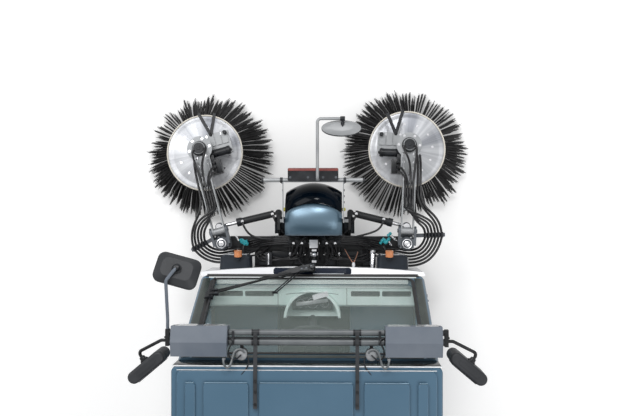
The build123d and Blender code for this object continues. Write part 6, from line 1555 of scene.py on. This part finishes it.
def addAprons():
    # The dark tray between the carrier and the nose, with its stiffening ribs, and the cab's front sill
    tray = bmesh.new()
    addPlate(tray, [(-0.383, -0.505), (0.383, -0.505), (0.383, -0.3905), (-0.383, -0.3905)], 0.003,
             level(0, 0, 0.4735), 0.001)
    for x in (-0.3, -0.14, 0.14, 0.3):
        addBlock(tray, (0.012, 0.11, 0.01), level(x, -0.448, 0.48), 0.002)
    for x, y, size in ((-0.33, -0.43, 0.05), (-0.1, -0.43, 0.06), (0.1, -0.436, 0.05), (0.33, -0.43, 0.046)):
        addBlock(tray, (size, 0.052, 0.04), level(x, y, 0.4955), 0.004)
    addBlock(tray, (0.766, 0.006, 0.046), level(0, -0.394, 0.497), 0.001)
    addBlocks(tray, 0.004, ((0.11, 0.04, 0.026), (-0.22, -0.472, 0.489)),
              ((0.11, 0.04, 0.026), (0.215, -0.472, 0.489)))
    finishPiece(tray, "noseTray", "head_black")


addPodTrim()
addAprons()


doorShape = {
    # distances from the middle of the cab: the door's skin, its glass from inside and its lining
    "outside": 0.65,
    "glassInside": 0.6385,
    "liningFace": 0.6085,
    "window": [(-0.167, 0.85), (0.532, 0.85), (0.532, 1.697), (0.1052, 1.697), (-0.167, 1.0808)],
    "hingeHeights": (0.74, 1.01),
}


def addDoorTrim(side):
    sign = signOf[side]
    body = "cab_door_" + side
    at = sideMatrix(sign, doorShape["outside"])
    seals = bmesh.new()
    window = doorShape["window"]
    addBand(seals, grownOutline(window, -0.01), grownOutline(window, 0.009), -0.0006, 0.0032, at)
    finishPiece(seals, "windowSeal_" + side, "screen_seal", 50, body=body)
    metal = bmesh.new()
    addTurned(metal, ((0.011, 0), (0.011, 0.002), (0.008, 0.0032), (0.002, 0.0032)), shifted(at, 0.56, 0.735, 0), 24)
    addBlock(metal, (0.096, 0.014, 0.006), shifted(at, 0.515, 0.798, -0.0012), 0.0025)
    for z in doorShape["hingeHeights"]:
        for end in (-0.001, 0.0605):
            addTurned(metal, ((0.005, 0), (0.0062, 0.0008), (0.005, 0.0026)),
                      facing((sign * 0.658, -0.237, z + end - (0.0015 if end < 0 else 0)), (0, 0, 1)), 16)
    finishPiece(metal, "doorHardware_" + side, "bright_rod", body=body)
    spots = [(at @ Vector((-0.213, z, 0.0045)), (sign, 0, 0)) for z in (0.755, 0.785, 1.025, 1.055)]
    addFasteners("hingeScrews_" + side, spots, body, 0.0045, 0.003)
    # A rubbing strip below the window
    strip = bmesh.new()
    addBlock(strip, (0.69, 0.03, 0.007), shifted(at, 0.186, 0.7, 0.003), 0.0028)
    finishPiece(strip, "doorStrip_" + side, "dark_plastic", body=body)
    # The window's sliding catch
    catch = bmesh.new()
    inner = sideMatrix(sign, doorShape["glassInside"])
    addBlock(catch, (0.02, 0.04, 0.006), shifted(inner, 0.18, 1.0, 0.0028), 0.002)
    addBlock(catch, (0.006, 0.826, 0.005), shifted(inner, 0.21, 1.2735, 0.0024), 0.001)
    finishPiece(catch, "windowCatch_" + side, "dark_plastic", body=body)
    # Lining inside the door, with its pocket and pull
    lining = bmesh.new()
    face = sideMatrix(sign, doorShape["liningFace"])
    addPlate(lining, [(-0.15, 0.7), (0.56, 0.7), (0.56, 0.838), (-0.15, 0.838)], 0.0014, face, 0)
    addBlock(lining, (0.16, 0.016, 0.018), shifted(face, 0.33, 0.8, -0.009), 0.004)
    finishPiece(lining, "doorLining_" + side, "dark_plastic", body=body)


for side in ("left", "right"):
    addDoorTrim(side)


beaconShape = {"foot": (0.383, 0.695, 1.9853), "ribs": 28, "ribRing": 0.0452}


def addCabTrim():
    seal = bmesh.new()
    rear = facing((0, 0.79, 1.48), (0, 1, 0), (1, 0, 0))
    addBand(seal, roundedOutline(0.864, 0.404, 0.042, 6), roundedOutline(0.9, 0.44, 0.06, 6), 0.0, 0.004, rear)
    finishPiece(seal, "rearWindowSeal", "screen_seal", 60)
    grab = bmesh.new()
    for sign in (1, -1):
        addHose(grab, mirrored(sign, (0.652, 0.64, 1.06), (0.662, 0.64, 1.06), (0.663, 0.64, 1.09),
                               (0.663, 0.64, 1.3), (0.663, 0.64, 1.51), (0.662, 0.64, 1.54), (0.652, 0.64, 1.54)),
                0.008, 10)
        for z in (1.06, 1.54):
            addTurned(grab, ((0.02, 0), (0.02, 0.003), (0.015, 0.006)),
                      facing((sign * 0.65, 0.64, z), (sign, 0, 0)), 20)
    finishPiece(grab, "grabRails", "head_black", 50)
    # Wheel-arch lips
    lips = bmesh.new()
    for sign in (1, -1):
        at = sideMatrix(sign, doorShape["outside"])
        inner, outer = [], []
        for step in range(33):
            turn = math.radians(28 + 124 * step / 32)
            for outline, radius in ((inner, 0.385), (outer, 0.3965)):
                y, z = polar(radius, turn)
                outline.append((y, 0.3 + z))
        edges = ((inner, -0.01), (inner, 0.003), (outer, 0.003), (outer, -0.001))
        addLoops(lips, [[lips.verts.new(at @ Vector((*outline[step], height))) for outline, height in edges]
                        for step in range(33)])
    finishPiece(lips, "archLips", "dark_plastic")
    # Floor mat, pedals and the lever box by the seat
    inside = bmesh.new()
    addPlate(inside, roundedOutline(0.44, 0.33, 0.03, 4), 0.006, level(0, 0.01, 0.5005), 0.002)
    for x in (0.07, -0.07):
        pad = facing((x, -0.1, 0.57), (0, 1, 0.6), (1, 0, 0))
        addBlock(inside, (0.06, 0.08, 0.008), pad, 0.002)
        for rib in range(4):
            addBlock(inside, (0.05, 0.004, 0.003), shifted(pad, 0, -0.027 + 0.018 * rib, 0.005), 0)
        addBar(inside, (x, -0.106, 0.56), (x, -0.18, 0.64), 0.006, 10)
    addBlock(inside, (0.11, 0.22, 0.25), level(-0.32, 0.52, 0.6255), 0.012)
    addBlock(inside, (0.084, 0.19, 0.02), level(-0.32, 0.52, 0.76), 0.006)
    for y in (0.46, 0.52, 0.58):
        addBar(inside, (-0.32, y, 0.765), (-0.326, y - 0.012, 0.85), 0.004, 8)
        addTurned(inside, ((0.006, 0), (0.011, 0.006), (0.012, 0.016), (0.009, 0.026), (0.003, 0.029)),
                  facing((-0.326, y - 0.012, 0.846), (-0.05, -0.13, 1)), 16)
    finishPiece(inside, "cabInside", "dark_plastic")
    boss = bmesh.new()
    lean = math.radians(42)
    at = facing((0, 0.03, 1.085), (0, math.sin(lean), math.cos(lean)), (1, 0, 0))
    addTurned(boss, ((0.0455, 0.01), (0.0455, 0.0155), (0.04, 0.02), (0.024, 0.0225), (0.008, 0.023)), at, 36)
    addTurned(boss, ((0.025, -0.1), (0.033, -0.09), (0.036, -0.045), (0.03, -0.0155), (0.025, -0.0155)), at, 28)
    finishPiece(boss, "wheelBoss", "dark_plastic")
    # Beacon lenses get their ribs, on a dark foot
    ribs = bmesh.new()
    feet = bmesh.new()
    for sign in (1, -1):
        base = Vector(mirrored(sign, beaconShape["foot"])[0])
        for step in range(beaconShape["ribs"]):
            turn = 2 * math.pi * step / beaconShape["ribs"]
            way = Vector((math.cos(turn), math.sin(turn), 0))
            spot = base + way * beaconShape["ribRing"] + Vector((0, 0, 0.058))
            addBlock(ribs, (0.003, 0.003, 0.066), facing(spot, (0, 0, 1), way), 0)
        addTurned(feet, ((0.0525, 0.0002), (0.0545, 0.002), (0.0545, 0.018), (0.05, 0.0235), (0.0455, 0.0245),
                         (0.0455, 0.02), (0.0525, 0.015)),
                  facing(base, (0, 0, 1)), 48, ring=True)
    finishPiece(ribs, "beaconRibs", "amber_lens")
    finishPiece(feet, "beaconFeet", "dark_plastic", 40)


addCabTrim()
print("cab trimmed inside and out")


# Wheels: a turned carcass with rows of tread blocks, shoulder lugs and fine side ribs
wheelShape = {
    "steps": 46,
    "rows": (
        # radius of the block's middle, offset, size (radial, around, across), twist, tilt, phase
        (0.2945, 0.0, (0.0105, 0.03, 0.027), 0.3, 0.0, 0.0),
        (0.2938, 0.0345, (0.0105, 0.029, 0.027), -0.3, 0.045, 0.5),
        (0.2938, -0.0345, (0.0105, 0.029, 0.027), 0.3, -0.045, 0.5),
        (0.287, 0.0685, (0.012, 0.027, 0.03), 0.12, 0.3, 0.15),
        (0.287, -0.0685, (0.012, 0.027, 0.03), -0.12, -0.3, 0.15),
    ),
    "nuts": 6,
    "nutRing": 0.082,
    "track": 0.515,
    "axles": {"front": 0, "rear": 1.75},
    "hubHeight": 0.3,
}


def buildRingTree():
    kit = NodeTree("blockRing", {
        "Count": ("Int", 40), "Radius": ("Float", 0.29), "Offset": ("Float", 0.0),
        "Size": ("Vector", (0.01, 0.03, 0.03)),
        "Twist": ("Float", 0.0), "Tilt": ("Float", 0.0), "Phase": ("Float", 0.0), "Finish": ("Material", None),
    })
    given = kit.given.outputs
    points = kit.put("GeometryNodePoints", {"Count": given["Count"]})
    index = kit.math("ADD", kit.put("GeometryNodeInputIndex").outputs[0], given["Phase"])
    turn = kit.math("DIVIDE", kit.math("MULTIPLY", index, 2 * math.pi), given["Count"])
    place = kit.put("ShaderNodeCombineXYZ", {
        "X": kit.math("MULTIPLY", given["Radius"], kit.math("COSINE", turn)),
        "Y": kit.math("MULTIPLY", given["Radius"], kit.math("SINE", turn)), "Z": given["Offset"]})
    laid = kit.put("GeometryNodeSetPosition", {"Geometry": points.outputs[0], "Position": place.outputs[0]})
    angles = kit.put("ShaderNodeCombineXYZ", {"X": given["Twist"], "Y": given["Tilt"], "Z": turn})
    block = kit.put("GeometryNodeMeshCube", {"Size": given["Size"]})
    spread = kit.put("GeometryNodeInstanceOnPoints", {
        "Points": laid.outputs[0], "Instance": block.outputs["Mesh"],
        "Rotation": kit.put("FunctionNodeEulerToRotation", {"Euler": angles.outputs[0]}).outputs[0]})
    return kit.close(spread.outputs[0], given["Finish"])


ringTree = buildRingTree()


def growRing(bm, count, radius, offset, size, twist, tilt, phase, finish, place=None):
    mesh = growMesh(ringTree, {"Count": count, "Radius": radius, "Offset": offset, "Size": size, "Twist": twist,
                               "Tilt": tilt, "Phase": phase, "Finish": finishes[finish]})
    if place:
        mesh.transform(place)
    bm.from_mesh(mesh)
    bpy.data.meshes.remove(mesh)


def addWheel(end, side):
    sign = signOf[side]
    body = end + "_wheel_" + side
    at = facing((sign * wheelShape["track"], wheelShape["axles"][end], wheelShape["hubHeight"]), (sign, 0, 0))
    tyre = bmesh.new()
    half = [(0.1787, 0.067), (0.186, 0.0795), (0.196, 0.0795), (0.199, 0.086), (0.214, 0.091), (0.2165, 0.0935),
            (0.236, 0.0965), (0.256, 0.096), (0.259, 0.0972), (0.263, 0.0958), (0.276, 0.09), (0.284, 0.0815),
            (0.2885, 0.056), (0.2895, 0.03)]
    profile = [(radius, -height) for radius, height in half] + [(0.2895, 0)]
    profile += [(radius, height) for radius, height in reversed(half)]
    addTurned(tyre, profile, at, 96, ring=True)
    for radius, offset, size, twist, tilt, phase in wheelShape["rows"]:
        growRing(tyre, wheelShape["steps"], radius, offset, size, twist, tilt, phase, "tyre", at)
    for way in (1, -1):
        growRing(tyre, wheelShape["steps"], 0.2745, way * 0.0885, (0.018, 0.02, 0.006), 0, way * 0.75, 0.15,
                 "tyre", at)
        growRing(tyre, 120, 0.226, way * 0.0953, (0.014, 0.0016, 0.0016), 0, way * -0.15, 0, "tyre", at)
    piece = finishPiece(tyre, "tyre_" + body, "tyre", 28, body=body)
    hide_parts("tyre_%s_%s" % (end, side))
    cap = bmesh.new()
    addTurned(cap, ((0.03, 0.0605), (0.034, 0.0625), (0.034, 0.07), (0.03, 0.0755), (0.014, 0.0785), (0.006, 0.0788)),
              at, 40)
    addTurned(cap, ((0.184, 0.0785), (0.1885, 0.08), (0.1905, 0.0788), (0.1905, 0.0775), (0.184, 0.0775)), at,
              96, ring=True)
    valve = shifted(at, 0.158, 0, 0.06)
    addTurned(cap, ((0.005, -0.03), (0.005, 0.006), (0.004, 0.008), (0.004, 0.016), (0.0025, 0.018)), valve, 12)
    finishPiece(cap, "hubCap_" + body, "cast_silver", 35, body=body)
    nuts = boltRing(at, wheelShape["nuts"], wheelShape["nutRing"], 0.03, 0)
    addFasteners("wheelNuts_" + body, nuts, body, 0.0115, 0.014)


for end in ("front", "rear"):
    for side in ("left", "right"):
        addWheel(end, side)
print("wheels get their tread and nuts")


# Hopper: seams, rivets, seals, latches and the mesh behind its louvres
hopperShape = {"half": 0.63, "high": 1.9, "rivetGap": 0.085, "seams": (1.24, 1.98), "cover": (0, 1.61)}


def rivetLine(start, end, way, gap):
    run = Vector(end) - Vector(start)
    count = max(2, round(run.length / gap))
    return [(Vector(start) + run * step / count, way) for step in range(count + 1)]


def addHopperTrim():
    half, high, gap = hopperShape["half"], hopperShape["high"], hopperShape["rivetGap"]
    rivets = []
    bands = bmesh.new()
    dark = bmesh.new()
    for sign in (1, -1):
        at = sideMatrix(sign, half)
        # Folded edge strips round each side, and a rubbing rail low down
        for size, centre in (((1.5, 0.034, 0.005), (1.64, 0.845)), ((0.03, 0.93, 0.005), (0.885, 1.34)),
                             ((0.03, 0.84, 0.005), (2.372, 1.29))):
            addBlock(bands, size, shifted(at, *centre, 0.0012), 0.0015)
        for start, end in (((0.905, 0.845), (2.35, 0.845)), ((0.885, 0.9), (0.885, 1.79)),
                           ((2.372, 0.9), (2.372, 1.69))):
            rivets += rivetLine((sign * (half + 0.0038), *start), (sign * (half + 0.0038), *end), (sign, 0, 0), gap)
        # Louvre frame with fine mesh behind its slots
        addBlock(dark, (0.196, 0.226, 0.002), shifted(at, 1.04, 1.69, -0.024), 0)
        growSlats(26, (sign * (half - 0.0215), 0.945, 1.69), (0, 0.0076, 0), (0.0012, 0.0012, 0.224), (0, 0, 0),
                  "black_steel", dark)
        growSlats(30, (sign * (half - 0.0208), 1.04, 1.58), (0, 0, 0.0076), (0.0012, 0.194, 0.0012), (0, 0, 0),
                  "black_steel", dark)
        growSlats(7, (sign * (half + 0.003), 1.04, 1.5985), (0, 0, 0.034), (0.009, 0.19, 0.0024), (0, sign * 0.7, 0),
                  "hopper_steel", bands)
        # Round plugs on the top, where lifting eyes screw in
        for y in (1.0, 2.2):
            addTurned(dark, ((0.03, 0), (0.03, 0.008), (0.024, 0.014), (0.01, 0.016)),
                      facing((sign * 0.47, y, high), (0, 0, 1)), 28)
    # A seam and a round inspection cover on the roof panel
    for y in hopperShape["seams"]:
        addBlock(bands, (1.1, 0.03, 0.004), level(0, y, high + 0.001), 0.0012)
        rivets += rivetLine((-0.53, y, high + 0.0032), (0.53, y, high + 0.0032), (0, 0, 1), gap)
    addTurned(bands, ((0.17, 0), (0.17, 0.004), (0.16, 0.0085), (0.06, 0.011), (0.01, 0.0112)),
              facing((*hopperShape["cover"], high), (0, 0, 1)), 72)
    cover = boltRing(level(*hopperShape["cover"], high), 12, 0.15, 0.0092, 0)
    finishPiece(bands, "hopperBands", "hopper_steel", body="hopper_body")
    finishPiece(dark, "hopperMesh", "black_steel", body="hopper_body")
    addFasteners("hopperRivets", rivets, "hopper_body", 0.0052, 0.0026)
    addFasteners("coverBolts", cover, "hopper_body", 0.0075, 0.005)
    # The tail door: a soft seal, pressed panel lines, latches and a grab handle
    seal = bmesh.new()
    back = facing((0, 2.4005, 1.275), (0, 1, 0), (1, 0, 0))
    addBand(seal, roundedOutline(1.19, 0.846, 0.03, 4), roundedOutline(1.222, 0.878, 0.046, 4), 0.0, 0.005, back)
    finishPiece(seal, "tailSeal", "duct_rubber", 50, body="hopper_body")
    door = bmesh.new()
    slope = (0, 0.38, 0.038)
    for x in (-0.4, 0, 0.4):
        addBlock(door, (0.26, 0.36, 0.005), facing((x, 2.4668, 1.128), (0, 1, 0), (-1, 0, 0)), 0.0024)
        addBlock(door, (0.26, 0.25, 0.005), facing((x, 2.4468, 1.536), slope, (-1, 0, 0)), 0.0024)
    finishPiece(door, "doorPanels", "hopper_steel", body="tail_door")
    metal = bmesh.new()
    grip = bmesh.new()
    bolts = []
    for sign in (1, -1):
        addBlock(metal, (0.006, 0.058, 0.12), level(sign * 0.6265, 2.438, 0.96), 0.002)
        addBar(metal, (sign * 0.6295, 2.438, 0.905), (sign * 0.6295, 2.438, 1.015), 0.0055, 12)
        addBlock(grip, (0.01, 0.022, 0.09), level(sign * 0.633, 2.45, 0.965), 0.004)
        for x in (0.3, 0.48):
            bolts += [((sign * x, 2.4665, z), (0, 1, 0)) for z in (0.932, 1.324)]
    addHose(grip, ((-0.14, 2.4655, 0.985), (-0.14, 2.474, 0.985), (-0.13, 2.475, 0.985), (0, 2.475, 0.985),
                   (0.13, 2.475, 0.985), (0.14, 2.474, 0.985), (0.14, 2.4655, 0.985)), 0.0065, 12)
    for x in (-0.42, 0, 0.42):
        at = facing((x, 2.414, 1.75), (1, 0, 0))
        for end in (-0.044, 0.04):
            addTurned(metal, ((0.01, end), (0.012, end + 0.001), (0.012, end + 0.003), (0.01, end + 0.004)), at, 20)
    finishPiece(metal, "doorLatches", "bright_rod", 35, body="tail_door")
    finishPiece(grip, "doorGrips", "dark_plastic", 40, body="tail_door")
    addFasteners("doorBolts", bolts, "tail_door", 0.007, 0.005)


addHopperTrim()
print("hopper trimmed")


# Tanks, rear lamps, flaps, duct, suction skirt and the engine's outer parts
underShape = {
    "tankSide": 0.64,
    "straps": (0.93, 1.28),
    "ductRings": (0.25, 0.42, 0.59, 0.78),
    "fenderRadius": 0.3506,
}


def addUnderTrim():
    dark = bmesh.new()
    straps = bmesh.new()
    rubber = bmesh.new()
    lens = bmesh.new()
    bolts = []
    for sign in (1, -1):
        face = sideMatrix(sign, underShape["tankSide"])
        for y in underShape["straps"]:
            addBlock(straps, (0.03, 0.33, 0.003), shifted(face, y, 0.575, 0.0012), 0.001)
            addBlock(straps, (0.29, 0.03, 0.003), level(sign * 0.44, y, 0.7962), 0.001)
            bolts += [((sign * 0.643, y, z), (sign, 0, 0)) for z in (0.425, 0.72)]
        addTurned(dark, ((0.046, 0), (0.046, 0.004), (0.04, 0.006), (0.04, 0.02), (0.035, 0.024), (0.01, 0.025)),
                  shifted(face, 1.105, 0.69, 0), 36)
        growRing(dark, 24, 0.04, 0.013, (0.004, 0.005, 0.014), 0, 0, 0, "dark_plastic", shifted(face, 1.105, 0.69, 0))
        for z in (0.47, 0.54, 0.61):
            addBlock(dark, (0.33, 0.01, 0.003), shifted(face, 1.105, z, 0.001), 0.001)
        # Mud flaps behind the wheels, with their pressed bars
        addBlock(rubber, (0.196, 0.008, 0.21), level(sign * 0.52, 2.106, 0.24), 0.002)
        for z in (0.17, 0.2, 0.23):
            addBlock(rubber, (0.16, 0.004, 0.006), level(sign * 0.52, 2.1115, z), 0)
        bolts += [((sign * x, 2.111, 0.33), (0, 1, 0)) for x in (0.45, 0.52, 0.59)]
        # Red halves over the rear lamps, and their bezels
        lampAt = facing((sign * 0.5, 2.3848, 0.44), (0, 1, 0), (1, 0, 0))
        addPlate(lens, roundedOutline(0.086, 0.072, 0.008, 3, (-sign * 0.026, 0)), 0.003, lampAt, 0.001)
        addBand(dark, roundedOutline(0.144, 0.078, 0.008, 3), roundedOutline(0.1535, 0.0875, 0.012, 3), -0.006,
                0.0045, lampAt)
        bolts += [((sign * x, 2.3512, z), (0, 1, 0)) for x in (0.12, 0.34) for z in (0.41, 0.47)]
        # Step pads on the fenders' tops
        for step in range(7):
            turn = math.radians(60 + 10 * step)
            along, up = polar(underShape["fenderRadius"], turn)
            spot = (sign * 0.518, wheelShape["axles"]["rear"] - along, wheelShape["hubHeight"] + up)
            addBlock(rubber, (0.19, 0.012, 0.003), facing(spot, (0, -along, up), (1, 0, 0)), 0.001)
    plate = bmesh.new()
    addPlate(plate, roundedOutline(0.3, 0.09, 0.01, 4), 0.0026,
             facing((0.21, 2.3515, 0.44), (0, 1, 0), (-1, 0, 0)), 0.001)
    finishPiece(plate, "rearBlankPlate", "pale_plate", slot="white_paint")
    # Duct rings and its clamp screws
    for z in underShape["ductRings"]:
        addTurned(straps, ((0.0952, -0.007), (0.0975, -0.006), (0.0975, 0.006), (0.0952, 0.007)),
                  facing((0, 1.0, z), (0, 0, 1)), 56, ring=True)
        addBlock(straps, (0.016, 0.026, 0.014), level(0.1, 1.0, z), 0.002)
    # Rubber skirts round the suction mouth, in strips at its front
    for sign in (1, -1):
        addBlock(rubber, (0.006, 0.385, 0.07), level(sign * 0.384, 0.9725, 0.038), 0.001)
    addBlock(rubber, (0.774, 0.006, 0.07), level(0, 1.169, 0.038), 0.001)
    for step in range(12):
        addBlock(rubber, (0.06, 0.005, 0.052), level(-0.3465 + 0.063 * step, 0.7765, 0.03), 0.001)
    bolts += [((sign * 0.3872, y, 0.064), (sign, 0, 0)) for sign in (1, -1) for y in (0.81, 0.97, 1.13)]
    bolts += [((x, 1.1722, 0.064), (0, 1, 0)) for x in (-0.32, -0.16, 0, 0.16, 0.32)]
    finishPiece(dark, "tankCaps", "dark_plastic", 35)
    finishPiece(straps, "strapsAndClamps", "grey_steel", 35)
    finishPiece(rubber, "skirtsAndFlaps", "duct_rubber")
    finishPiece(lens, "rearRedLenses", "deep_red", 40, slot="amber_lens")
    addFasteners("frameBolts", bolts, "chassis", 0.0075, 0.005)


def addEngineTrim():
    iron = bmesh.new()
    for z in (0.43, 0.452, 0.474, 0.496, 0.518):
        for sign in (1, -1):
            addBlock(iron, (0.006, 0.56, 0.008), level(sign * 0.1525, 1.6, z + 0.06), 0.001)
    addBlock(iron, (0.2, 0.5, 0.014), level(0, 1.6, 0.7865), 0.005)
    for y in (1.44, 1.6, 1.76):
        addTurned(iron, ((0.02, 0), (0.02, 0.006), (0.014, 0.009), (0.006, 0.009)),
                  facing((0.06, y, 0.793), (0, 0, 1)), 20)
    finishPiece(iron, "engineFins", "engine_iron")
    pulleys = bmesh.new()
    for x, z, radius in ((0, 0.52, 0.07), (0.085, 0.66, 0.04), (-0.08, 0.65, 0.048)):
        addTurned(pulleys, ((radius, 0), (radius, 0.004), (radius - 0.008, 0.01), (radius, 0.016), (radius, 0.02),
                            (radius * 0.3, 0.022), (radius * 0.3, 0.03)),
                  facing((x, 1.2498, z), (0, -1, 0)), 40)
    finishPiece(pulleys, "enginePulleys", "bright_rod", 35)
    can = bmesh.new()
    # Air filter and silencer hang beside the block, clear of the rams
    addTurned(can, ((0.04, 0), (0.046, 0.004), (0.046, 0.17), (0.048, 0.172), (0.048, 0.186), (0.04, 0.19),
                    (0.018, 0.192)),
              facing((0.198, 1.3, 0.72), (0, 1, 0)), 36)
    addHose(can, ((0.198, 1.485, 0.72), (0.198, 1.515, 0.72), (0.194, 1.54, 0.715), (0.17, 1.55, 0.71),
                  (0.15, 1.55, 0.71)), 0.018, 14)
    finishPiece(can, "airFilter", "head_black", 35)


addUnderTrim()
addEngineTrim()
print("tanks, lamps, duct and engine trimmed")


# The driver's seat: padded parts swell in a short cloth run, then get their sewn channels
seatShape = {
    "voxel": 0.006,
    "pressure": 4.0,
    "frames": 20,
    "cap": 0.014,
    "fill": 0.6,
    "cushion": [(0.192, 0.836), (0.192, 0.905), (0.24, 0.926), (0.56, 0.92), (0.606, 0.905), (0.606, 0.836)],
    "back": [(0.59, 0.856), (0.574, 0.985), (0.662, 1.478), (0.708, 1.478), (0.672, 0.856)],
    "rest": [(0.667, 1.522), (0.686, 1.679), (0.719, 1.679), (0.709, 1.522)],
}


def swellPad(source, name):
    mesh = bpy.data.meshes.new(name)
    bmesh.ops.recalc_face_normals(source, faces=source.faces)
    source.to_mesh(mesh)
    source.free()
    scene = bpy.context.scene
    pad = bpy.data.objects.new("padWork", mesh)
    scene.collection.objects.link(pad)

    def settle():
        bpy.context.view_layer.update()
        result = bpy.data.meshes.new_from_object(pad.evaluated_get(bpy.context.evaluated_depsgraph_get()))
        pad.modifiers.clear()
        return result

    remesh = pad.modifiers.new("voxels", "REMESH")
    remesh.mode = "VOXEL"
    remesh.voxel_size = seatShape["voxel"]
    smooth = pad.modifiers.new("soften", "SMOOTH")
    smooth.iterations = 6
    pad.data = settle()
    rest = [v.co.copy() for v in pad.data.vertices]
    cloth = pad.modifiers.new("swell", "CLOTH")
    cloth.settings.quality = 4
    cloth.settings.mass = 0.3
    cloth.settings.use_pressure = True
    cloth.settings.uniform_pressure_force = seatShape["pressure"]
    cloth.settings.effector_weights.gravity = 0
    cloth.point_cache.frame_start = 1
    cloth.point_cache.frame_end = seatShape["frames"]
    for step in range(1, seatShape["frames"] + 1):
        scene.frame_set(step)
    swollen = settle()
    for v, start in zip(swollen.vertices, rest):
        way = v.co - start
        if way.length > seatShape["cap"]:
            v.co = start + way.normalized() * seatShape["cap"]
    pad.data = swollen
    scene.frame_set(1)
    pad.modifiers.new("round", "SUBSURF").levels = 1
    pad.modifiers["round"].render_levels = 1
    done = settle()
    bpy.data.objects.remove(pad)
    return done


def sewChannels(mesh, front, lines, depth=0.008, width=0.009):
    # Vertices that face the sitter sink along each sewn line
    turned = [v.normal.dot(front) for v in mesh.vertices]
    for v, facingSitter in zip(mesh.vertices, turned):
        if facingSitter > 0.3:
            sunk = sum(depth * math.exp(-((v.co[axis] - place) / width) ** 2) for axis, place in lines)
            v.co -= front * sunk * min(1, (facingSitter - 0.3) * 2.5)


def keepInside(mesh, low, high):
    # The swell never leaves the seat's own space
    for v in mesh.vertices:
        v.co = Vector((min(max(c, a), b) for c, a, b in zip(v.co, low, high)))


def addSeat():
    pads = (
        ("seatCushion", "cushion", 0.206, Vector((0, 0, 1)),
         ((0, -0.115), (0, 0.115), (1, 0.3), (1, 0.42), (1, 0.53)), ((-0.215, 0.18, 0.8205), (0.215, 0.62, 0.94))),
        ("seatBack", "back", 0.196, Vector((0, -0.985, 0.173)),
         ((0, -0.12), (0, 0.12), (2, 1.05), (2, 1.17), (2, 1.29), (2, 1.4)),
         ((-0.205, 0.56, 0.84), (0.205, 0.72, 1.49))),
        ("headRest", "rest", 0.112, Vector((0, -0.993, 0.115)), ((2, 1.6),),
         ((-0.12, 0.655, 1.51), (0.12, 0.73, 1.69))),
    )
    for name, outline, half, front, lines, space in pads:
        block = bmesh.new()
        addPlate(block, seatShape[outline], 2 * half, sideMatrix(1, -half), 0.016)
        mesh = swellPad(block, name)
        sewChannels(mesh, front, lines)
        keepInside(mesh, *space)
        piece = finishPiece(mesh, name, "seat_fabric", 60)
    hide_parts("driver_seat")
    piping = bmesh.new()
    for at, width, height, radius in (
        (level(0, 0.399, 0.915), 0.408, 0.402, 0.03),
        (facing((0, 0.6235, 1.231), (0, -0.985, 0.173), (1, 0, 0)), 0.388, 0.49, 0.03),
    ):
        loop = roundedOutline(width, height, radius, 4)
        points = [at @ Vector((x, y, 0)) for x, y in loop]
        addHose(piping, points + points[:2], 0.0032, 8)
    finishPiece(piping, "seatPiping", "dark_plastic", 50)
    base = bmesh.new()
    addBlock(base, (0.36, 0.38, 0.02), level(0, 0.41, 0.809), 0.005)
    addBlock(base, (0.33, 0.35, 0.2), level(0, 0.42, 0.601), 0.01)
    for step in range(6):
        grow = 0.012 if step % 2 else 0
        addBlock(base, (0.29 + grow, 0.31 + grow, 0.018), level(0, 0.42, 0.71 + 0.0165 * step), 0.006)
    for sign in (1, -1):
        addBar(base, (sign * 0.05, 0.692, 1.47), (sign * 0.05, 0.692, 1.53), 0.006, 12)
        addBlocks(base, 0.004, ((0.012, 0.3, 0.05), (sign * 0.208, 0.48, 0.833)),
                  ((0.01, 0.09, 0.12), (sign * 0.208, 0.64, 0.88)))
    addTurned(base, ((0.026, 0), (0.026, 0.01), (0.022, 0.016), (0.008, 0.017)),
              facing((0.212, 0.635, 0.88), (1, 0, 0)), 24)
    finishPiece(base, "seatBase", "dark_plastic")
    buckle = bmesh.new()
    addBlock(buckle, (0.016, 0.03, 0.07), level(-0.226, 0.56, 0.9), 0.004)
    addBlock(buckle, (0.003, 0.046, 0.16), facing((-0.224, 0.59, 0.84), (0, -0.2, 1), (1, 0, 0)), 0.001)
    finishPiece(buckle, "beltBuckle", "dark_plastic")


addSeat()
print("seat padded")
